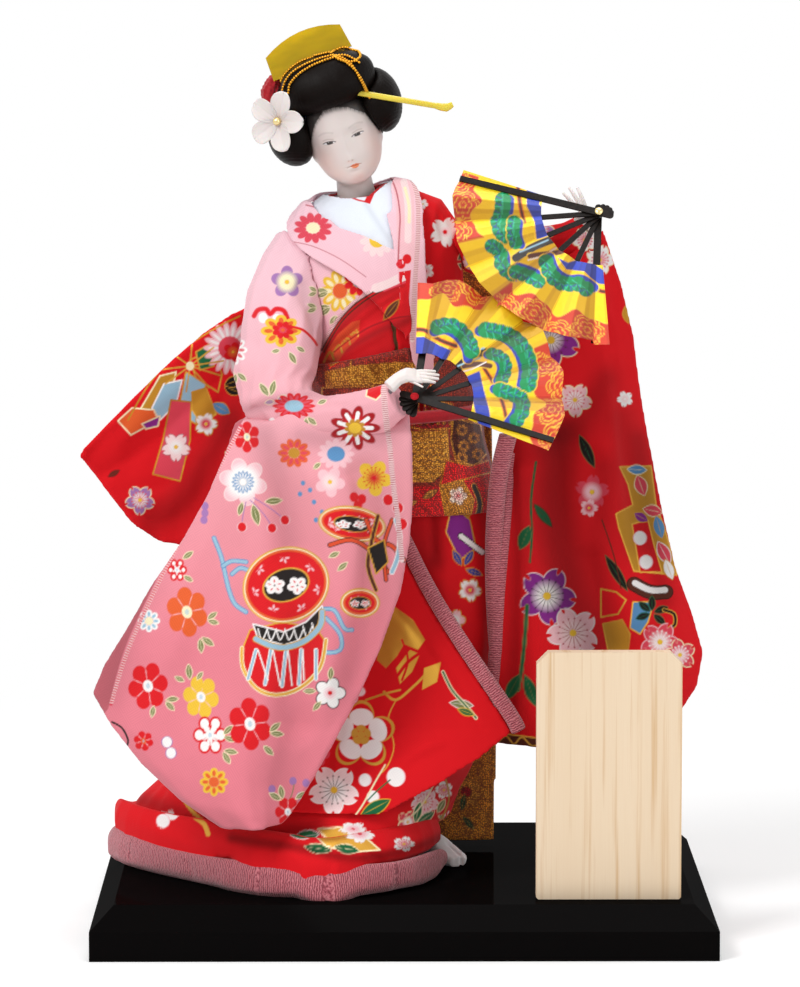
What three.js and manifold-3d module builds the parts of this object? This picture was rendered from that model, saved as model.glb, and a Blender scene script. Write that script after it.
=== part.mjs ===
// A standing Japanese doll in layered kimono on a lacquered stand, with two folding fans.
// Millimetres, +Z up, the doll faces -Y. The origin is the middle of the stand's underside.
// Left and right in the names are the doll's own: its right hand is on the -X side.
import * as THREE from "three";
import { mergeVertices } from "three/addons/utils/BufferGeometryUtils.js";
import Module from "manifold-3d";

const wasm = await Module();
wasm.setup();

// Stand
const STAND_WIDTH = 300;
const STAND_DEPTH = 240;
const STAND_FACE = 14.2;
const STAND_BEVEL_RUN = 11.3;
const STAND_BEVEL_RISE = 11.1;
const STAND_HEIGHT = STAND_FACE + STAND_BEVEL_RISE;

// Name board with the block that keeps it upright
const BOARD_WIDTH = 69.5;
const BOARD_HEIGHT = 119.5;
const BOARD_THICKNESS = 9;
const BOARD_CORNER_CUT = 5.5;
const BOARD_FOOT_CUT = 1;
const BOARD_X = 98;
const BOARD_FRONT_Y = -98;
const STAY_WIDTH = 40;
const STAY_DEPTH = 20;
const STAY_HEIGHT = 24;
const STAY_TOP_DEPTH = 4;

// Clearances
const GAP = 0.3;
const LAYER_GAP = 0.5;

// Legs, feet and pegs
const PEG_RADIUS = 3.5;
const PEG_IN_STAND = 14;
const PEG_IN_BODY = 30;
const BODY_FLOOR = 72;
const FOOT_LENGTH = 42;
const FOOT_WIDTH = 15;
const FOOT_HEIGHT = 14;
const FOOT_LEFT_AT = [14, 8];
const FOOT_LEFT_TURN = 30;
const FOOT_RIGHT_AT = [-14, -4];
const FOOT_RIGHT_TURN = -14;

// Skirt, hem and front flap
const SKIRT_WALL = 2.4;
const SKIRT_TOP = 212;
const SKIRT_FOLDS = 9;
const SKIRT_FOLD_DEPTH = 2.6;
const HEM_PINK_RADIUS = 6.4;
const HEM_RED_RADIUS = 7.2;
const HEM_RED_INSET = 4.5;
const FLAP_THICKNESS = 2.6;
const PIPING_RADIUS = 3.9;

// Sash (obi) round the waist
const OBI_BOTTOM = 178;
const OBI_TOP = 258;
const OBI_TOP_SLOPE = 0.22;
const OBI_THICKNESS = 3.4;
const SASH_RADIUS = 3.2;
const SASH_HEIGHT = 226;
const KNOT_WIDTH = 96;
const KNOT_HEIGHT = 52;
const KNOT_DEPTH = 21;
const KNOT_MIDDLE = 278;
const KNOT_Y = 40;
const TAIL_WIDTH = 54;
const TAIL_THICKNESS = 3;
const TAIL_BOTTOM = 3;
const TAIL_BACK_Y = 42.5;

// Bodice and collars, as layers outside the stuffed body
const BODICE_THICKNESS = 1.6;
const COLLAR_THICKNESS = 1.3;
const COLLAR_GAP = 0.85;

// Sleeves
const SLEEVE_THICKNESS = 6;
const SLEEVE_FOLD_DEPTH = 2.4;
const EDGE_PIPING_RADIUS = 3;
const ARM_WIRE_RADIUS = 1.1;

// Head, neck and wig
const NECK_RADIUS = 8.8;
const NECK_TILT = 9;
const NECK_DOWEL_RADIUS = 2.6;
const NECK_DOWEL_IN_BODY = 26;
const NECK_DOWEL_IN_HEAD = 18;
const HEAD_HALF_WIDTH = 17.6;
const HEAD_TILT = 18.4;
const HEAD_NOD = 5;
const COMB_WIDTH = 42;
const COMB_HEIGHT = 22;
const COMB_THICKNESS = 2.2;
const COMB_TEETH = 13;
const COMB_TOOTH_LENGTH = 8;
const HAIRPIN_RADIUS = 1.6;
const HAIRPIN_OUTSIDE = 33;
const HAIRPIN_INSIDE = 24;
const GOLD_CORD_RADIUS = 0.9;
const FLOWER_RADIUS = 15;
const FLOWER_STEM_RADIUS = 0.9;
const FLOWER_STEM_LENGTH = 15;
const FLOWER_BEAD_RADIUS = 2.2;

// Folding fans
const FAN_RADIUS = 70;
const FAN_LEAF_INNER = 28;
const FAN_STICKS = 6;
const FAN_STEP = 20.6;
const FAN_STICK_THICKNESS = 0.8;
const FAN_LAYER = 1.05;
const FAN_GUARD_WIDTH = 3.6;
const FAN_RIB_WIDTH = 2.6;
const FAN_HEEL = 7.5;
const FAN_LEAF_THICKNESS = 0.4;
const FAN_PLEAT = 2.2;
const FAN_LEAF_MARGIN = 2.4;
const FAN_RIVET_RADIUS = 1;
const FAN_RIVET_HEAD = 1.9;

const DEG = Math.PI / 180;
const v3 = (x, y, z) => new THREE.Vector3(x, y, z);
const points = (rows) => rows.map(([x, y, z]) => v3(x, y, z));
const lerp = THREE.MathUtils.lerp;

// Finishes
const finish = (color, roughness, metalness = 0) =>
  new THREE.MeshStandardMaterial({ color, roughness, metalness });
const lacquer = () => finish(0x0a0908, 0.12);
const bareWood = () => finish(0xe2c79c, 0.7);
const straw = () => finish(0xc9ad72, 0.95);
const pinkCloth = () => finish(0xf09aa4, 0.75);
const redCloth = () => finish(0xcc1a1c, 0.7);
const crepe = () => finish(0xc2606c, 0.9);
const brocade = () => finish(0x8a4a20, 0.55, 0.2);
const whiteCloth = () => finish(0xf2eff2, 0.85);
const doll = () => finish(0xf1ece8, 0.45);
const silkHair = () => finish(0x17110d, 0.35);
const amber = () => finish(0xd9b23a, 0.25);
const gold = () => finish(0xc7952e, 0.35, 0.8);
const petalCloth = () => finish(0xefeae4, 0.6);
const fanStick = () => finish(0x1c1816, 0.35);
const fanLeaf = () => finish(0xd8a92c, 0.4, 0.4);
const steel = () => finish(0x8d9094, 0.4, 0.9);

// A closed surface from an index list, turned inside out if it faces inwards
function closedSurface(vertices, faces) {
  let volume = 0;
  for (const [a, b, c] of faces) {
    volume += vertices[a].dot(new THREE.Vector3().crossVectors(vertices[b], vertices[c]));
  }
  const index = faces.flatMap(([a, b, c]) => (volume < 0 ? [a, c, b] : [a, b, c]));
  const geometry = new THREE.BufferGeometry();
  geometry.setAttribute("position", new THREE.Float32BufferAttribute(
    vertices.flatMap((p) => [p.x, p.y, p.z]), 3));
  geometry.setIndex(index);
  return geometry;
}

// Skin over closed rings of equal point counts, with end caps or joined end to end
function skin(rings, joined = false) {
  const count = rings[0].length;
  const vertices = rings.flat();
  const faces = [];
  const spans = joined ? rings.length : rings.length - 1;
  for (let i = 0; i < spans; i++) {
    const here = i * count;
    const next = ((i + 1) % rings.length) * count;
    for (let j = 0; j < count; j++) {
      const k = (j + 1) % count;
      faces.push([here + j, here + k, next + k], [here + j, next + k, next + j]);
    }
  }
  if (!joined) {
    for (const [start, turned] of [[0, true], [(rings.length - 1) * count, false]]) {
      const middle = vertices.length;
      const centre = v3(0, 0, 0);
      for (let j = 0; j < count; j++) centre.add(vertices[start + j]);
      vertices.push(centre.divideScalar(count));
      for (let j = 0; j < count; j++) {
        const k = (j + 1) % count;
        faces.push(turned ? [middle, start + k, start + j] : [middle, start + j, start + k]);
      }
    }
  }
  return closedSurface(vertices, faces);
}

// Cloth between a front and a back grid of points, closed round its rim
function clothSolid(front, back) {
  const rows = front.length;
  const columns = front[0].length;
  const vertices = [...front.flat(), ...back.flat()];
  const at = (side, i, j) => (side * rows + i) * columns + j;
  const faces = [];
  for (let i = 0; i < rows - 1; i++) {
    for (let j = 0; j < columns - 1; j++) {
      faces.push([at(0, i, j), at(0, i + 1, j), at(0, i + 1, j + 1)]);
      faces.push([at(0, i, j), at(0, i + 1, j + 1), at(0, i, j + 1)]);
      faces.push([at(1, i, j), at(1, i + 1, j + 1), at(1, i + 1, j)]);
      faces.push([at(1, i, j), at(1, i, j + 1), at(1, i + 1, j + 1)]);
    }
  }
  const rim = [];
  for (let j = 0; j < columns; j++) rim.push([0, j]);
  for (let i = 1; i < rows; i++) rim.push([i, columns - 1]);
  for (let j = columns - 2; j >= 0; j--) rim.push([rows - 1, j]);
  for (let i = rows - 2; i > 0; i--) rim.push([i, 0]);
  rim.forEach(([i, j], n) => {
    const [k, l] = rim[(n + 1) % rim.length];
    faces.push([at(0, i, j), at(0, k, l), at(1, k, l)], [at(0, i, j), at(1, k, l), at(1, i, j)]);
  });
  return closedSurface(vertices, faces);
}

// Joins and cuts
function toSolid(geometry) {
  const bare = geometry.clone();
  bare.deleteAttribute("normal");
  bare.deleteAttribute("uv");
  const merged = mergeVertices(bare, 1e-4);
  return new wasm.Manifold(new wasm.Mesh({
    numProp: 3,
    vertProperties: new Float32Array(merged.attributes.position.array),
    triVerts: new Uint32Array(merged.index.array),
  }));
}
function toGeometry(solid) {
  const mesh = solid.getMesh();
  const geometry = new THREE.BufferGeometry();
  geometry.setAttribute("position", new THREE.BufferAttribute(mesh.vertProperties, 3));
  geometry.setIndex(new THREE.BufferAttribute(mesh.triVerts, 1));
  return geometry;
}
const cut = (geometry, ...tools) =>
  toGeometry(tools.reduce((left, tool) => left.subtract(toSolid(tool)), toSolid(geometry)));
const join = (geometry, ...others) =>
  toGeometry(others.reduce((left, other) => left.add(toSolid(other)), toSolid(geometry)));

// The largest single piece of a cut solid, without the slivers that a cut can leave
function largest(geometry) {
  const pieces = toSolid(geometry).decompose();
  pieces.sort((a, b) => b.volume() - a.volume());
  return toGeometry(pieces[0]);
}

// Tube of an oval section along a smooth path. Radii are [width, depth] pairs at the path's points.
function tube(path, radii, steps, sides, grow = 0, depthAxis = v3(0, 1, 0)) {
  const curve = new THREE.CatmullRomCurve3(path, false, "centripetal");
  const rings = [];
  for (let i = 0; i <= steps; i++) {
    const t = i / steps;
    const place = t * (radii.length - 1);
    const low = Math.min(Math.floor(place), radii.length - 2);
    const share = place - low;
    const width = lerp(radii[low][0], radii[low + 1][0], share) + grow;
    const depth = lerp(radii[low][1], radii[low + 1][1], share) + grow;
    const along = curve.getTangent(t);
    const side = depthAxis.clone().addScaledVector(along, -depthAxis.dot(along)).normalize();
    const up = new THREE.Vector3().crossVectors(side, along);
    const centre = curve.getPoint(t);
    const ring = [];
    for (let j = 0; j < sides; j++) {
      const turn = (j / sides) * 2 * Math.PI;
      ring.push(centre.clone()
        .addScaledVector(up, width * Math.cos(turn))
        .addScaledVector(side, depth * Math.sin(turn)));
    }
    rings.push(ring);
  }
  return skin(rings);
}
const evenTube = (path, radius, steps, sides, grow = 0, depthAxis) =>
  tube(path, [[radius, radius], [radius, radius]], steps, sides, grow, depthAxis);

// Straight round rod between two points
function rod(from, to, radius, sides = 16) {
  const length = from.distanceTo(to);
  const geometry = new THREE.CylinderGeometry(radius, radius, length, sides);
  const turn = new THREE.Quaternion().setFromUnitVectors(
    v3(0, 1, 0), to.clone().sub(from).normalize());
  geometry.applyQuaternion(turn);
  const middle = from.clone().add(to).multiplyScalar(0.5);
  return geometry.translate(middle.x, middle.y, middle.z);
}

function ellipsoid(centre, [rx, ry, rz], grow = 0, around = 18, high = 12) {
  const geometry = new THREE.SphereGeometry(1, around, high);
  geometry.rotateX(Math.PI / 2);
  geometry.scale(rx + grow, ry + grow, rz + grow);
  return geometry.translate(centre.x, centre.y, centre.z);
}

const parts = new THREE.Group();
const figure = new THREE.Group();
figure.position.z = STAND_HEIGHT;
parts.add(figure);
function add(group, name, geometry, material) {
  const mesh = new THREE.Mesh(geometry, material);
  mesh.name = name;
  group.add(mesh);
  return mesh;
}

// Pegs that hold the doll on the stand: each runs from the stand through a foot into the body
const footPlace = { left: FOOT_LEFT_AT, right: FOOT_RIGHT_AT };
const pegRod = (side, radius, from, to) => {
  const [x, y] = footPlace[side];
  return rod(v3(x, y, from), v3(x, y, to), radius, 12);
};

// Stand: a plate with a bevelled top edge and two peg holes
function standPlate() {
  const rectangle = (width, depth, z) => points([
    [-width / 2, -depth / 2, z], [width / 2, -depth / 2, z],
    [width / 2, depth / 2, z], [-width / 2, depth / 2, z]]);
  const plate = skin([
    rectangle(STAND_WIDTH, STAND_DEPTH, 0),
    rectangle(STAND_WIDTH, STAND_DEPTH, STAND_FACE),
    rectangle(STAND_WIDTH - 2 * STAND_BEVEL_RUN, STAND_DEPTH - 2 * STAND_BEVEL_RUN, STAND_HEIGHT)]);
  const holes = ["left", "right"].map((side) =>
    pegRod(side, PEG_RADIUS + GAP, STAND_HEIGHT - PEG_IN_STAND - GAP, STAND_HEIGHT + 5));
  return cut(plate, ...holes);
}
add(parts, "stand_base", standPlate(), lacquer());

// Name board: a thin plank with clipped top corners, standing free on the stand
function boardPlank() {
  const half = BOARD_WIDTH / 2;
  const outline = new THREE.Shape([
    [-half + BOARD_FOOT_CUT, 0], [half - BOARD_FOOT_CUT, 0], [half, BOARD_FOOT_CUT],
    [half, BOARD_HEIGHT - BOARD_CORNER_CUT], [half - BOARD_CORNER_CUT, BOARD_HEIGHT],
    [-half + BOARD_CORNER_CUT, BOARD_HEIGHT], [-half, BOARD_HEIGHT - BOARD_CORNER_CUT],
    [-half, BOARD_FOOT_CUT]].map(([x, y]) => new THREE.Vector2(x, y)));
  const plank = new THREE.ExtrudeGeometry(outline, { depth: BOARD_THICKNESS, bevelEnabled: false });
  return plank.rotateX(Math.PI / 2).translate(0, BOARD_THICKNESS, 0);
}
function boardStay() {
  const outline = new THREE.Shape([
    [0, 0], [STAY_DEPTH, 0], [STAY_DEPTH, STAY_HEIGHT / 4],
    [STAY_TOP_DEPTH, STAY_HEIGHT], [0, STAY_HEIGHT]].map(([x, y]) => new THREE.Vector2(x, y)));
  const block = new THREE.ExtrudeGeometry(outline, { depth: STAY_WIDTH, bevelEnabled: false });
  return block.rotateX(Math.PI / 2).rotateZ(Math.PI / 2).translate(-STAY_WIDTH / 2, 0, 0);
}
const board = new THREE.Group();
board.position.set(BOARD_X, BOARD_FRONT_Y, STAND_HEIGHT + GAP);
parts.add(board);
add(board, "name_board", boardPlank(), bareWood());
const stay = add(board, "name_board_stay", boardStay(), bareWood());
stay.position.y = BOARD_THICKNESS + GAP;

// Shape of the body under the clothes: height, middle x and y, half width, half depth
const TORSO = [
  [203, 0, 0, 33, 27], [230, -2, 0, 34, 28], [265, -8, 0, 37, 28], [293, -13, 0, 41, 26],
  [313, -16, 1, 42, 22], [325, -19, 2, 33, 17], [331, -21, 2, 20, 13], [334, -22, 2, 12.5, 11.5]];
const SHOULDER_TILT = 0.2;
const SHOULDER_FROM = 285;
const SHOULDER_FULL = 322;
const torsoCurves = [1, 2, 3, 4].map((column) => new THREE.CatmullRomCurve3(
  TORSO.map((row, i) => v3(i, row[column], row[0])), false, "centripetal"));
const torsoHeight = (t) => torsoCurves[0].getPoint(t).z;
function torsoPoint(turn, t) {
  const [cx, cy, rx, ry] = torsoCurves.map((curve) => curve.getPoint(t).y);
  const z = torsoHeight(t);
  const x = rx * Math.sin(turn);
  const lift = SHOULDER_TILT * x * THREE.MathUtils.smoothstep(z, SHOULDER_FROM, SHOULDER_FULL);
  return v3(cx + x, cy - ry * Math.cos(turn), z + lift);
}
// Point of the torso moved out along the surface's own normal
function torsoOut(turn, t, offset) {
  const low = Math.max(t - 0.01, 0);
  const high = Math.min(t + 0.01, 1);
  const around = torsoPoint(turn + 0.05, t).sub(torsoPoint(turn - 0.05, t));
  const upward = torsoPoint(turn, high).sub(torsoPoint(turn, low));
  const normal = new THREE.Vector3().crossVectors(around, upward).normalize();
  return torsoPoint(turn, t).addScaledVector(normal, offset);
}
// The t of the torso's curves at a height
function torsoAt(height) {
  let low = 0;
  let high = 1;
  for (let i = 0; i < 30; i++) {
    const middle = (low + high) / 2;
    if (torsoHeight(middle) < height) low = middle;
    else high = middle;
  }
  return (low + high) / 2;
}
const TORSO_SIDES = 22;
const torsoRing = (t, offset) => Array.from({ length: TORSO_SIDES }, (_, j) =>
  torsoOut((j / TORSO_SIDES) * 2 * Math.PI, t, offset));
const torsoForm = (offset, from = 0, to = 1, rings = 9) =>
  skin(Array.from({ length: rings }, (_, i) => torsoRing(lerp(from, to, i / (rings - 1)), offset)));

// Stuffed body: hips and straw torso in one, with holes for the pegs, the neck and the arm wires
const CORE_INSET = -1.6;
const CORE_TOP = torsoAt(326);
const ellipseRing = (z, cx, cy, rx, ry, count) => Array.from({ length: count }, (_, j) => {
  const turn = (j / count) * 2 * Math.PI;
  return v3(cx + rx * Math.sin(turn), cy - ry * Math.cos(turn), z);
});
const neckFoot = v3(-22.3, 2, 330);
const neckUp = v3(-Math.sin(NECK_TILT * DEG), -0.06, Math.cos(NECK_TILT * DEG)).normalize();
const along = (start, direction, distance) => start.clone().addScaledVector(direction, distance);
const neckDowelFrom = along(neckFoot, neckUp, -NECK_DOWEL_IN_BODY);
const neckDowelTo = along(neckFoot, neckUp, NECK_DOWEL_IN_HEAD);

// Arms: the path of each sleeve's arm part, which the wire inside follows
const ARM_RIGHT = points([[-45, 1, 306], [-55, -8, 286], [-60, -24, 260], [-59, -42, 233],
  [-40, -62, 226], [-18, -76, 232], [-3, -84, 240]]);
const ARM_RIGHT_RADII = [[19, 17], [21, 18], [20, 18], [17, 16], [14, 13], [12, 11], [9, 8]];
const ARM_LEFT = points([[27, 3, 319], [47, 5, 307], [66, 1, 302], [82, -5, 308], [92, -11, 317]]);
const ARM_LEFT_RADII = [[19, 17], [18, 16], [16, 14], [13, 12], [9, 8]];
const WIRE_RIGHT = [v3(-16, 1, 300), ...ARM_RIGHT.slice(1, 6), v3(-10, -84, 239),
  v3(-3.5, -89.8, 248.8)];
const WIRE_LEFT = [v3(-6, 1, 306), ...ARM_LEFT.slice(1), v3(95, -14, 321)];
const wire = (path, grow) => evenTube(path, ARM_WIRE_RADIUS, 12, 6, grow);

function stuffedBody() {
  const lower = [[BODY_FLOOR, 0, -1, 32, 24], [115, 2, -1, 36, 28], [160, 3, 0, 37, 29]]
    .map(([z, cx, cy, rx, ry]) => ellipseRing(z, cx, cy, rx, ry, TORSO_SIDES));
  const upper = Array.from({ length: 6 }, (_, i) => torsoRing(lerp(0, CORE_TOP, i / 5), CORE_INSET));
  const body = skin([...lower, ...upper]);
  const pegHoles = ["left", "right"].map((side) =>
    pegRod(side, PEG_RADIUS + GAP, BODY_FLOOR - 5, BODY_FLOOR + PEG_IN_BODY + GAP));
  const neckHole = rod(along(neckDowelFrom, neckUp, -GAP), along(neckFoot, neckUp, 20),
    NECK_DOWEL_RADIUS + GAP, 16);
  return cut(body, ...pegHoles, neckHole, wire(WIRE_RIGHT, GAP), wire(WIRE_LEFT, GAP));
}
add(figure, "stuffed_body", stuffedBody(), straw());

// Feet in split-toe socks, with the pegs through their heels
function foot(side, turn) {
  const [x, y] = footPlace[side];
  const rows = [[0.16, 0.62, 0.8], [0, 0.86, 1], [0.3, 0.9, 0.86], [0.6, 1, 0.62],
    [0.84, 0.98, 0.46], [0.96, 0.62, 0.36]];
  const heel = FOOT_LENGTH * 0.16;
  const rings = rows.map(([share, width, height], i) => {
    const forward = i === 0 ? heel * 0.9 : heel * 0.55 - share * FOOT_LENGTH;
    const halfWidth = (width * FOOT_WIDTH) / 2;
    const top = height * FOOT_HEIGHT;
    return Array.from({ length: 12 }, (_, j) => {
      const angle = ((j + 0.5) / 12) * 2 * Math.PI;
      const rise = Math.max(0, top * (0.5 - 0.62 * Math.cos(angle)));
      return v3(halfWidth * Math.sin(angle), forward, Math.min(rise, top));
    });
  });
  const sock = skin(rings);
  const cleft = new THREE.BoxGeometry(1, FOOT_LENGTH * 0.2, FOOT_HEIGHT);
  const inner = side === "left" ? -1 : 1;
  cleft.translate(inner * FOOT_WIDTH * 0.14, heel * 0.55 - FOOT_LENGTH * 0.95, FOOT_HEIGHT * 0.55);
  const shaped = cut(sock, cleft);
  shaped.rotateZ(turn * DEG);
  shaped.translate(x, y, GAP);
  return cut(shaped, pegRod(side, PEG_RADIUS + GAP, -5, FOOT_HEIGHT + 8));
}
add(figure, "foot_left", foot("left", FOOT_LEFT_TURN), whiteCloth());
add(figure, "foot_right", foot("right", FOOT_RIGHT_TURN), whiteCloth());
for (const side of ["left", "right"]) {
  add(figure, `leg_peg_${side}`,
    pegRod(side, PEG_RADIUS, -PEG_IN_STAND, BODY_FLOOR + PEG_IN_BODY), bareWood());
}

// Hem outline in plan, from the right front corner round the front, the train and the back
const HEM = [[19, -33], [-7, -78], [-37, -94], [-68, -83], [-103, -49], [-131, -15], [-142, 9],
  [-139, 28], [-112, 33], [-60, 33], [-8, 31], [20, 20], [30, 2]];
const hemCurve = new THREE.CatmullRomCurve3(HEM.map(([x, y]) => v3(x, y, 0)), true, "centripetal");
const HEM_OPEN_END = 0.84;

// Outline moved inwards in plan by a distance for each point
function insetRing(ring, distance) {
  return ring.map((point, j) => {
    const before = ring[(j + ring.length - 1) % ring.length];
    const after = ring[(j + 1) % ring.length];
    const direction = after.clone().sub(before).setZ(0).normalize();
    const shift = typeof distance === "number" ? distance : distance(j);
    return v3(point.x + direction.y * shift, point.y - direction.x * shift, point.z);
  });
}
// Padded rolls lie on each other along the hem, open where the front edges of the skirt part
function hemRoll(radius, height, inset) {
  const sides = 8;
  const steps = 29;
  const flat = Array.from({ length: steps + 1 }, (_, i) =>
    hemCurve.getPointAt((i / steps) * HEM_OPEN_END).setZ(height));
  const rings = flat.map((centre, i) => {
    const before = flat[Math.max(i - 1, 0)];
    const after = flat[Math.min(i + 1, steps)];
    const direction = after.clone().sub(before).normalize();
    const inward = v3(direction.y, -direction.x, 0);
    const end = Math.min(i, steps - i);
    const swell = end === 0 ? 0.55 : end === 1 ? 0.9 : 1;
    return Array.from({ length: sides }, (_, j) => {
      const turn = ((j + 0.5) / sides) * 2 * Math.PI;
      return centre.clone()
        .addScaledVector(inward, inset + radius * swell * Math.cos(turn))
        .add(v3(0, 0, radius * swell * Math.sin(turn)));
    });
  });
  return skin(rings);
}
const flatTop = Math.cos(Math.PI / 8);
const pinkHeight = HEM_PINK_RADIUS * flatTop + GAP;
const redHeight = pinkHeight + (HEM_PINK_RADIUS + HEM_RED_RADIUS) * flatTop + GAP;
add(figure, "hem_roll_pink", hemRoll(HEM_PINK_RADIUS, pinkHeight, 0), crepe());
add(figure, "hem_roll_red", hemRoll(HEM_RED_RADIUS, redHeight, HEM_RED_INSET), redCloth());

// Skirt: the hem outline drawn up into ovals round the legs and hips, with folds that fade out
const SKIRT_SIDES = 32;
const SKIRT_RINGS = 9;
const SKIRT_START = redHeight + HEM_RED_RADIUS * flatTop + GAP;
const SKIRT_OVALS = [[60, -32, -16, 70, 47], [85, -8, -8, 52, 42], [125, 0, -3, 48, 38],
  [165, 3, -1, 46, 35.5], [SKIRT_TOP - 12, 0, 0, 39, 32], [SKIRT_TOP, -1, 0, 36, 30]];
const hemRing = insetRing(Array.from({ length: SKIRT_SIDES }, (_, j) =>
  hemCurve.getPointAt(j / SKIRT_SIDES).setZ(SKIRT_START)), HEM_RED_INSET + 1);
const ovalRing = ([z, cx, cy, rx, ry]) => Array.from({ length: SKIRT_SIDES }, (_, j) => {
  const turn = -(j / SKIRT_SIDES) * 2 * Math.PI;
  return v3(cx + rx * Math.cos(turn), cy + ry * Math.sin(turn), z);
});
const skirtStations = [hemRing, ...SKIRT_OVALS.map(ovalRing)];
const skirtLines = Array.from({ length: SKIRT_SIDES }, (_, j) =>
  new THREE.CatmullRomCurve3(skirtStations.map((ring) => ring[j]), false, "centripetal"));
function skirtRing(t, offset) {
  const fade = (1 - t) ** 1.5 * Math.min(1, t * 6);
  const fold = (j) => Math.cos((SKIRT_FOLDS * j * 2 * Math.PI) / SKIRT_SIDES + 4 * t);
  return insetRing(skirtLines.map((line) => line.getPoint(t)),
    (j) => -offset - SKIRT_FOLD_DEPTH * fade * fold(j));
}
function skirtForm(offset, wall) {
  const outer = [];
  const inner = [];
  for (let i = 0; i <= SKIRT_RINGS; i++) {
    outer.push(skirtRing(i / SKIRT_RINGS, offset));
    inner.push(skirtRing(i / SKIRT_RINGS, offset - wall));
  }
  return wall > 0 ? skin([...outer, ...inner.reverse()], true) : skin(outer);
}
add(figure, "skirt", skirtForm(0, SKIRT_WALL), redCloth());
const skirtSpace = skirtForm(GAP, 0);

// Cloth from its left and right edges: lists of points from top to bottom, seen from the front.
// bow pushes the middle towards the front, folds run down the cloth.
function hangingCloth({ left, right, rows, columns, thickness, bow, folds, foldDepth, lean = 0 }) {
  const leftEdge = new THREE.CatmullRomCurve3(points(left), false, "centripetal");
  const rightEdge = new THREE.CatmullRomCurve3(points(right), false, "centripetal");
  const front = [];
  const back = [];
  for (let i = 0; i < rows; i++) {
    const t = i / (rows - 1);
    const from = leftEdge.getPoint(t);
    const to = rightEdge.getPoint(t);
    const frontRow = [];
    const backRow = [];
    for (let j = 0; j < columns; j++) {
      const u = j / (columns - 1);
      const crown = Math.sin(Math.PI * u);
      const wave = foldDepth * Math.sin(Math.PI * (2 * folds * u + lean * t)) * (0.25 + 0.75 * t);
      const middle = from.clone().lerp(to, u);
      middle.y -= bow * crown + wave * Math.min(1, 5 * u, 5 * (1 - u));
      const edge = Math.min(1, 0.45 + 0.55 * Math.sqrt(Math.min(1, 6 * Math.min(u, 1 - u))));
      const rim = i === 0 || i === rows - 1 ? 0.6 : 1;
      const half = (thickness * edge * rim) / 2;
      frontRow.push(middle.clone().add(v3(0, -half, 0)));
      backRow.push(middle.clone().add(v3(0, half, 0)));
    }
    front.push(frontRow);
    back.push(backRow);
  }
  return clothSolid(front, back);
}

// Edge roll of the front flap
const FLAP_EDGE = [[-2, -41, 172], [13, -50, 143], [32, -57, 113], [53, -60, 82], [56, -60, 76]];
const flapPiping = (grow) => evenTube(points(FLAP_EDGE), PIPING_RADIUS, 14, 8, grow);
add(figure, "flap_piping", cut(flapPiping(0), skirtSpace), crepe());

// Front flap: the upper layer of the skirt, which lifts off it at the right front corner
const flap = hangingCloth({
  left: [[-36, -24, 176], [-46, -24, 145], [-56, -28, 112], [-72, -40, 82], [-84, -56, 58], [-78, -72, 40]],
  right: [[-4, -40, 174], [12, -50, 143], [31, -57, 112], [54, -60, 79], [30, -66, 59], [-10, -78, 38]],
  rows: 9, columns: 8, thickness: FLAP_THICKNESS, bow: 5.5, folds: 1.5, foldDepth: 1.2, lean: 0.5 });
add(figure, "skirt_flap",
  largest(cut(flap, skirtSpace, flapPiping(GAP))), redCloth());

// Sheets that lie on the torso between two offsets. place gives the turn and t for u across, v up.
function torsoSheet(place, inner, outer, rows, columns) {
  const grid = (offset) => Array.from({ length: rows }, (_, i) =>
    Array.from({ length: columns }, (_, j) => {
      const [turn, t] = place(j / (columns - 1), i / (rows - 1));
      return torsoOut(turn * DEG, THREE.MathUtils.clamp(t, 0, 0.995), offset);
    }));
  return clothSolid(grid(outer), grid(inner));
}
const BODICE_OUT = GAP + BODICE_THICKNESS;
const COLLAR_IN = BODICE_OUT + COLLAR_GAP;
const COLLAR_OUT = COLLAR_IN + COLLAR_THICKNESS;
const RED_IN = COLLAR_IN - GAP - COLLAR_THICKNESS;
const BAND_IN = COLLAR_OUT + COLLAR_GAP;
const BAND_OUT = BAND_IN + COLLAR_THICKNESS;

// Bodice halves, open in a V at the throat
const BODICE_BOTTOM = torsoAt(SKIRT_TOP + 1);
const BODICE_NECK = 0.92;
const THROAT_TURN = 6;
const THROAT = torsoAt(304);
function bodiceTop(turn) {
  const share = Math.min(1, Math.abs(turn - THROAT_TURN) / 62);
  return lerp(THROAT, BODICE_NECK, share ** 0.8);
}
const bodiceHalf = ([from, to], grow = 0) => torsoSheet((u, v) => {
  const turn = lerp(from - grow * 3, to + grow * 3, u);
  return [turn, lerp(BODICE_BOTTOM, bodiceTop(turn) + grow * 0.02, v)];
}, GAP - grow, BODICE_OUT + grow, 8, 13);
const BODICE_RIGHT = [-179, THROAT_TURN - 1];
const BODICE_LEFT = [THROAT_TURN + 1, 179];
add(figure, "bodice_right", cut(bodiceHalf(BODICE_RIGHT), wire(WIRE_RIGHT, GAP)), pinkCloth());
add(figure, "bodice_left", cut(bodiceHalf(BODICE_LEFT), wire(WIRE_LEFT, GAP)), redCloth());

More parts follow.
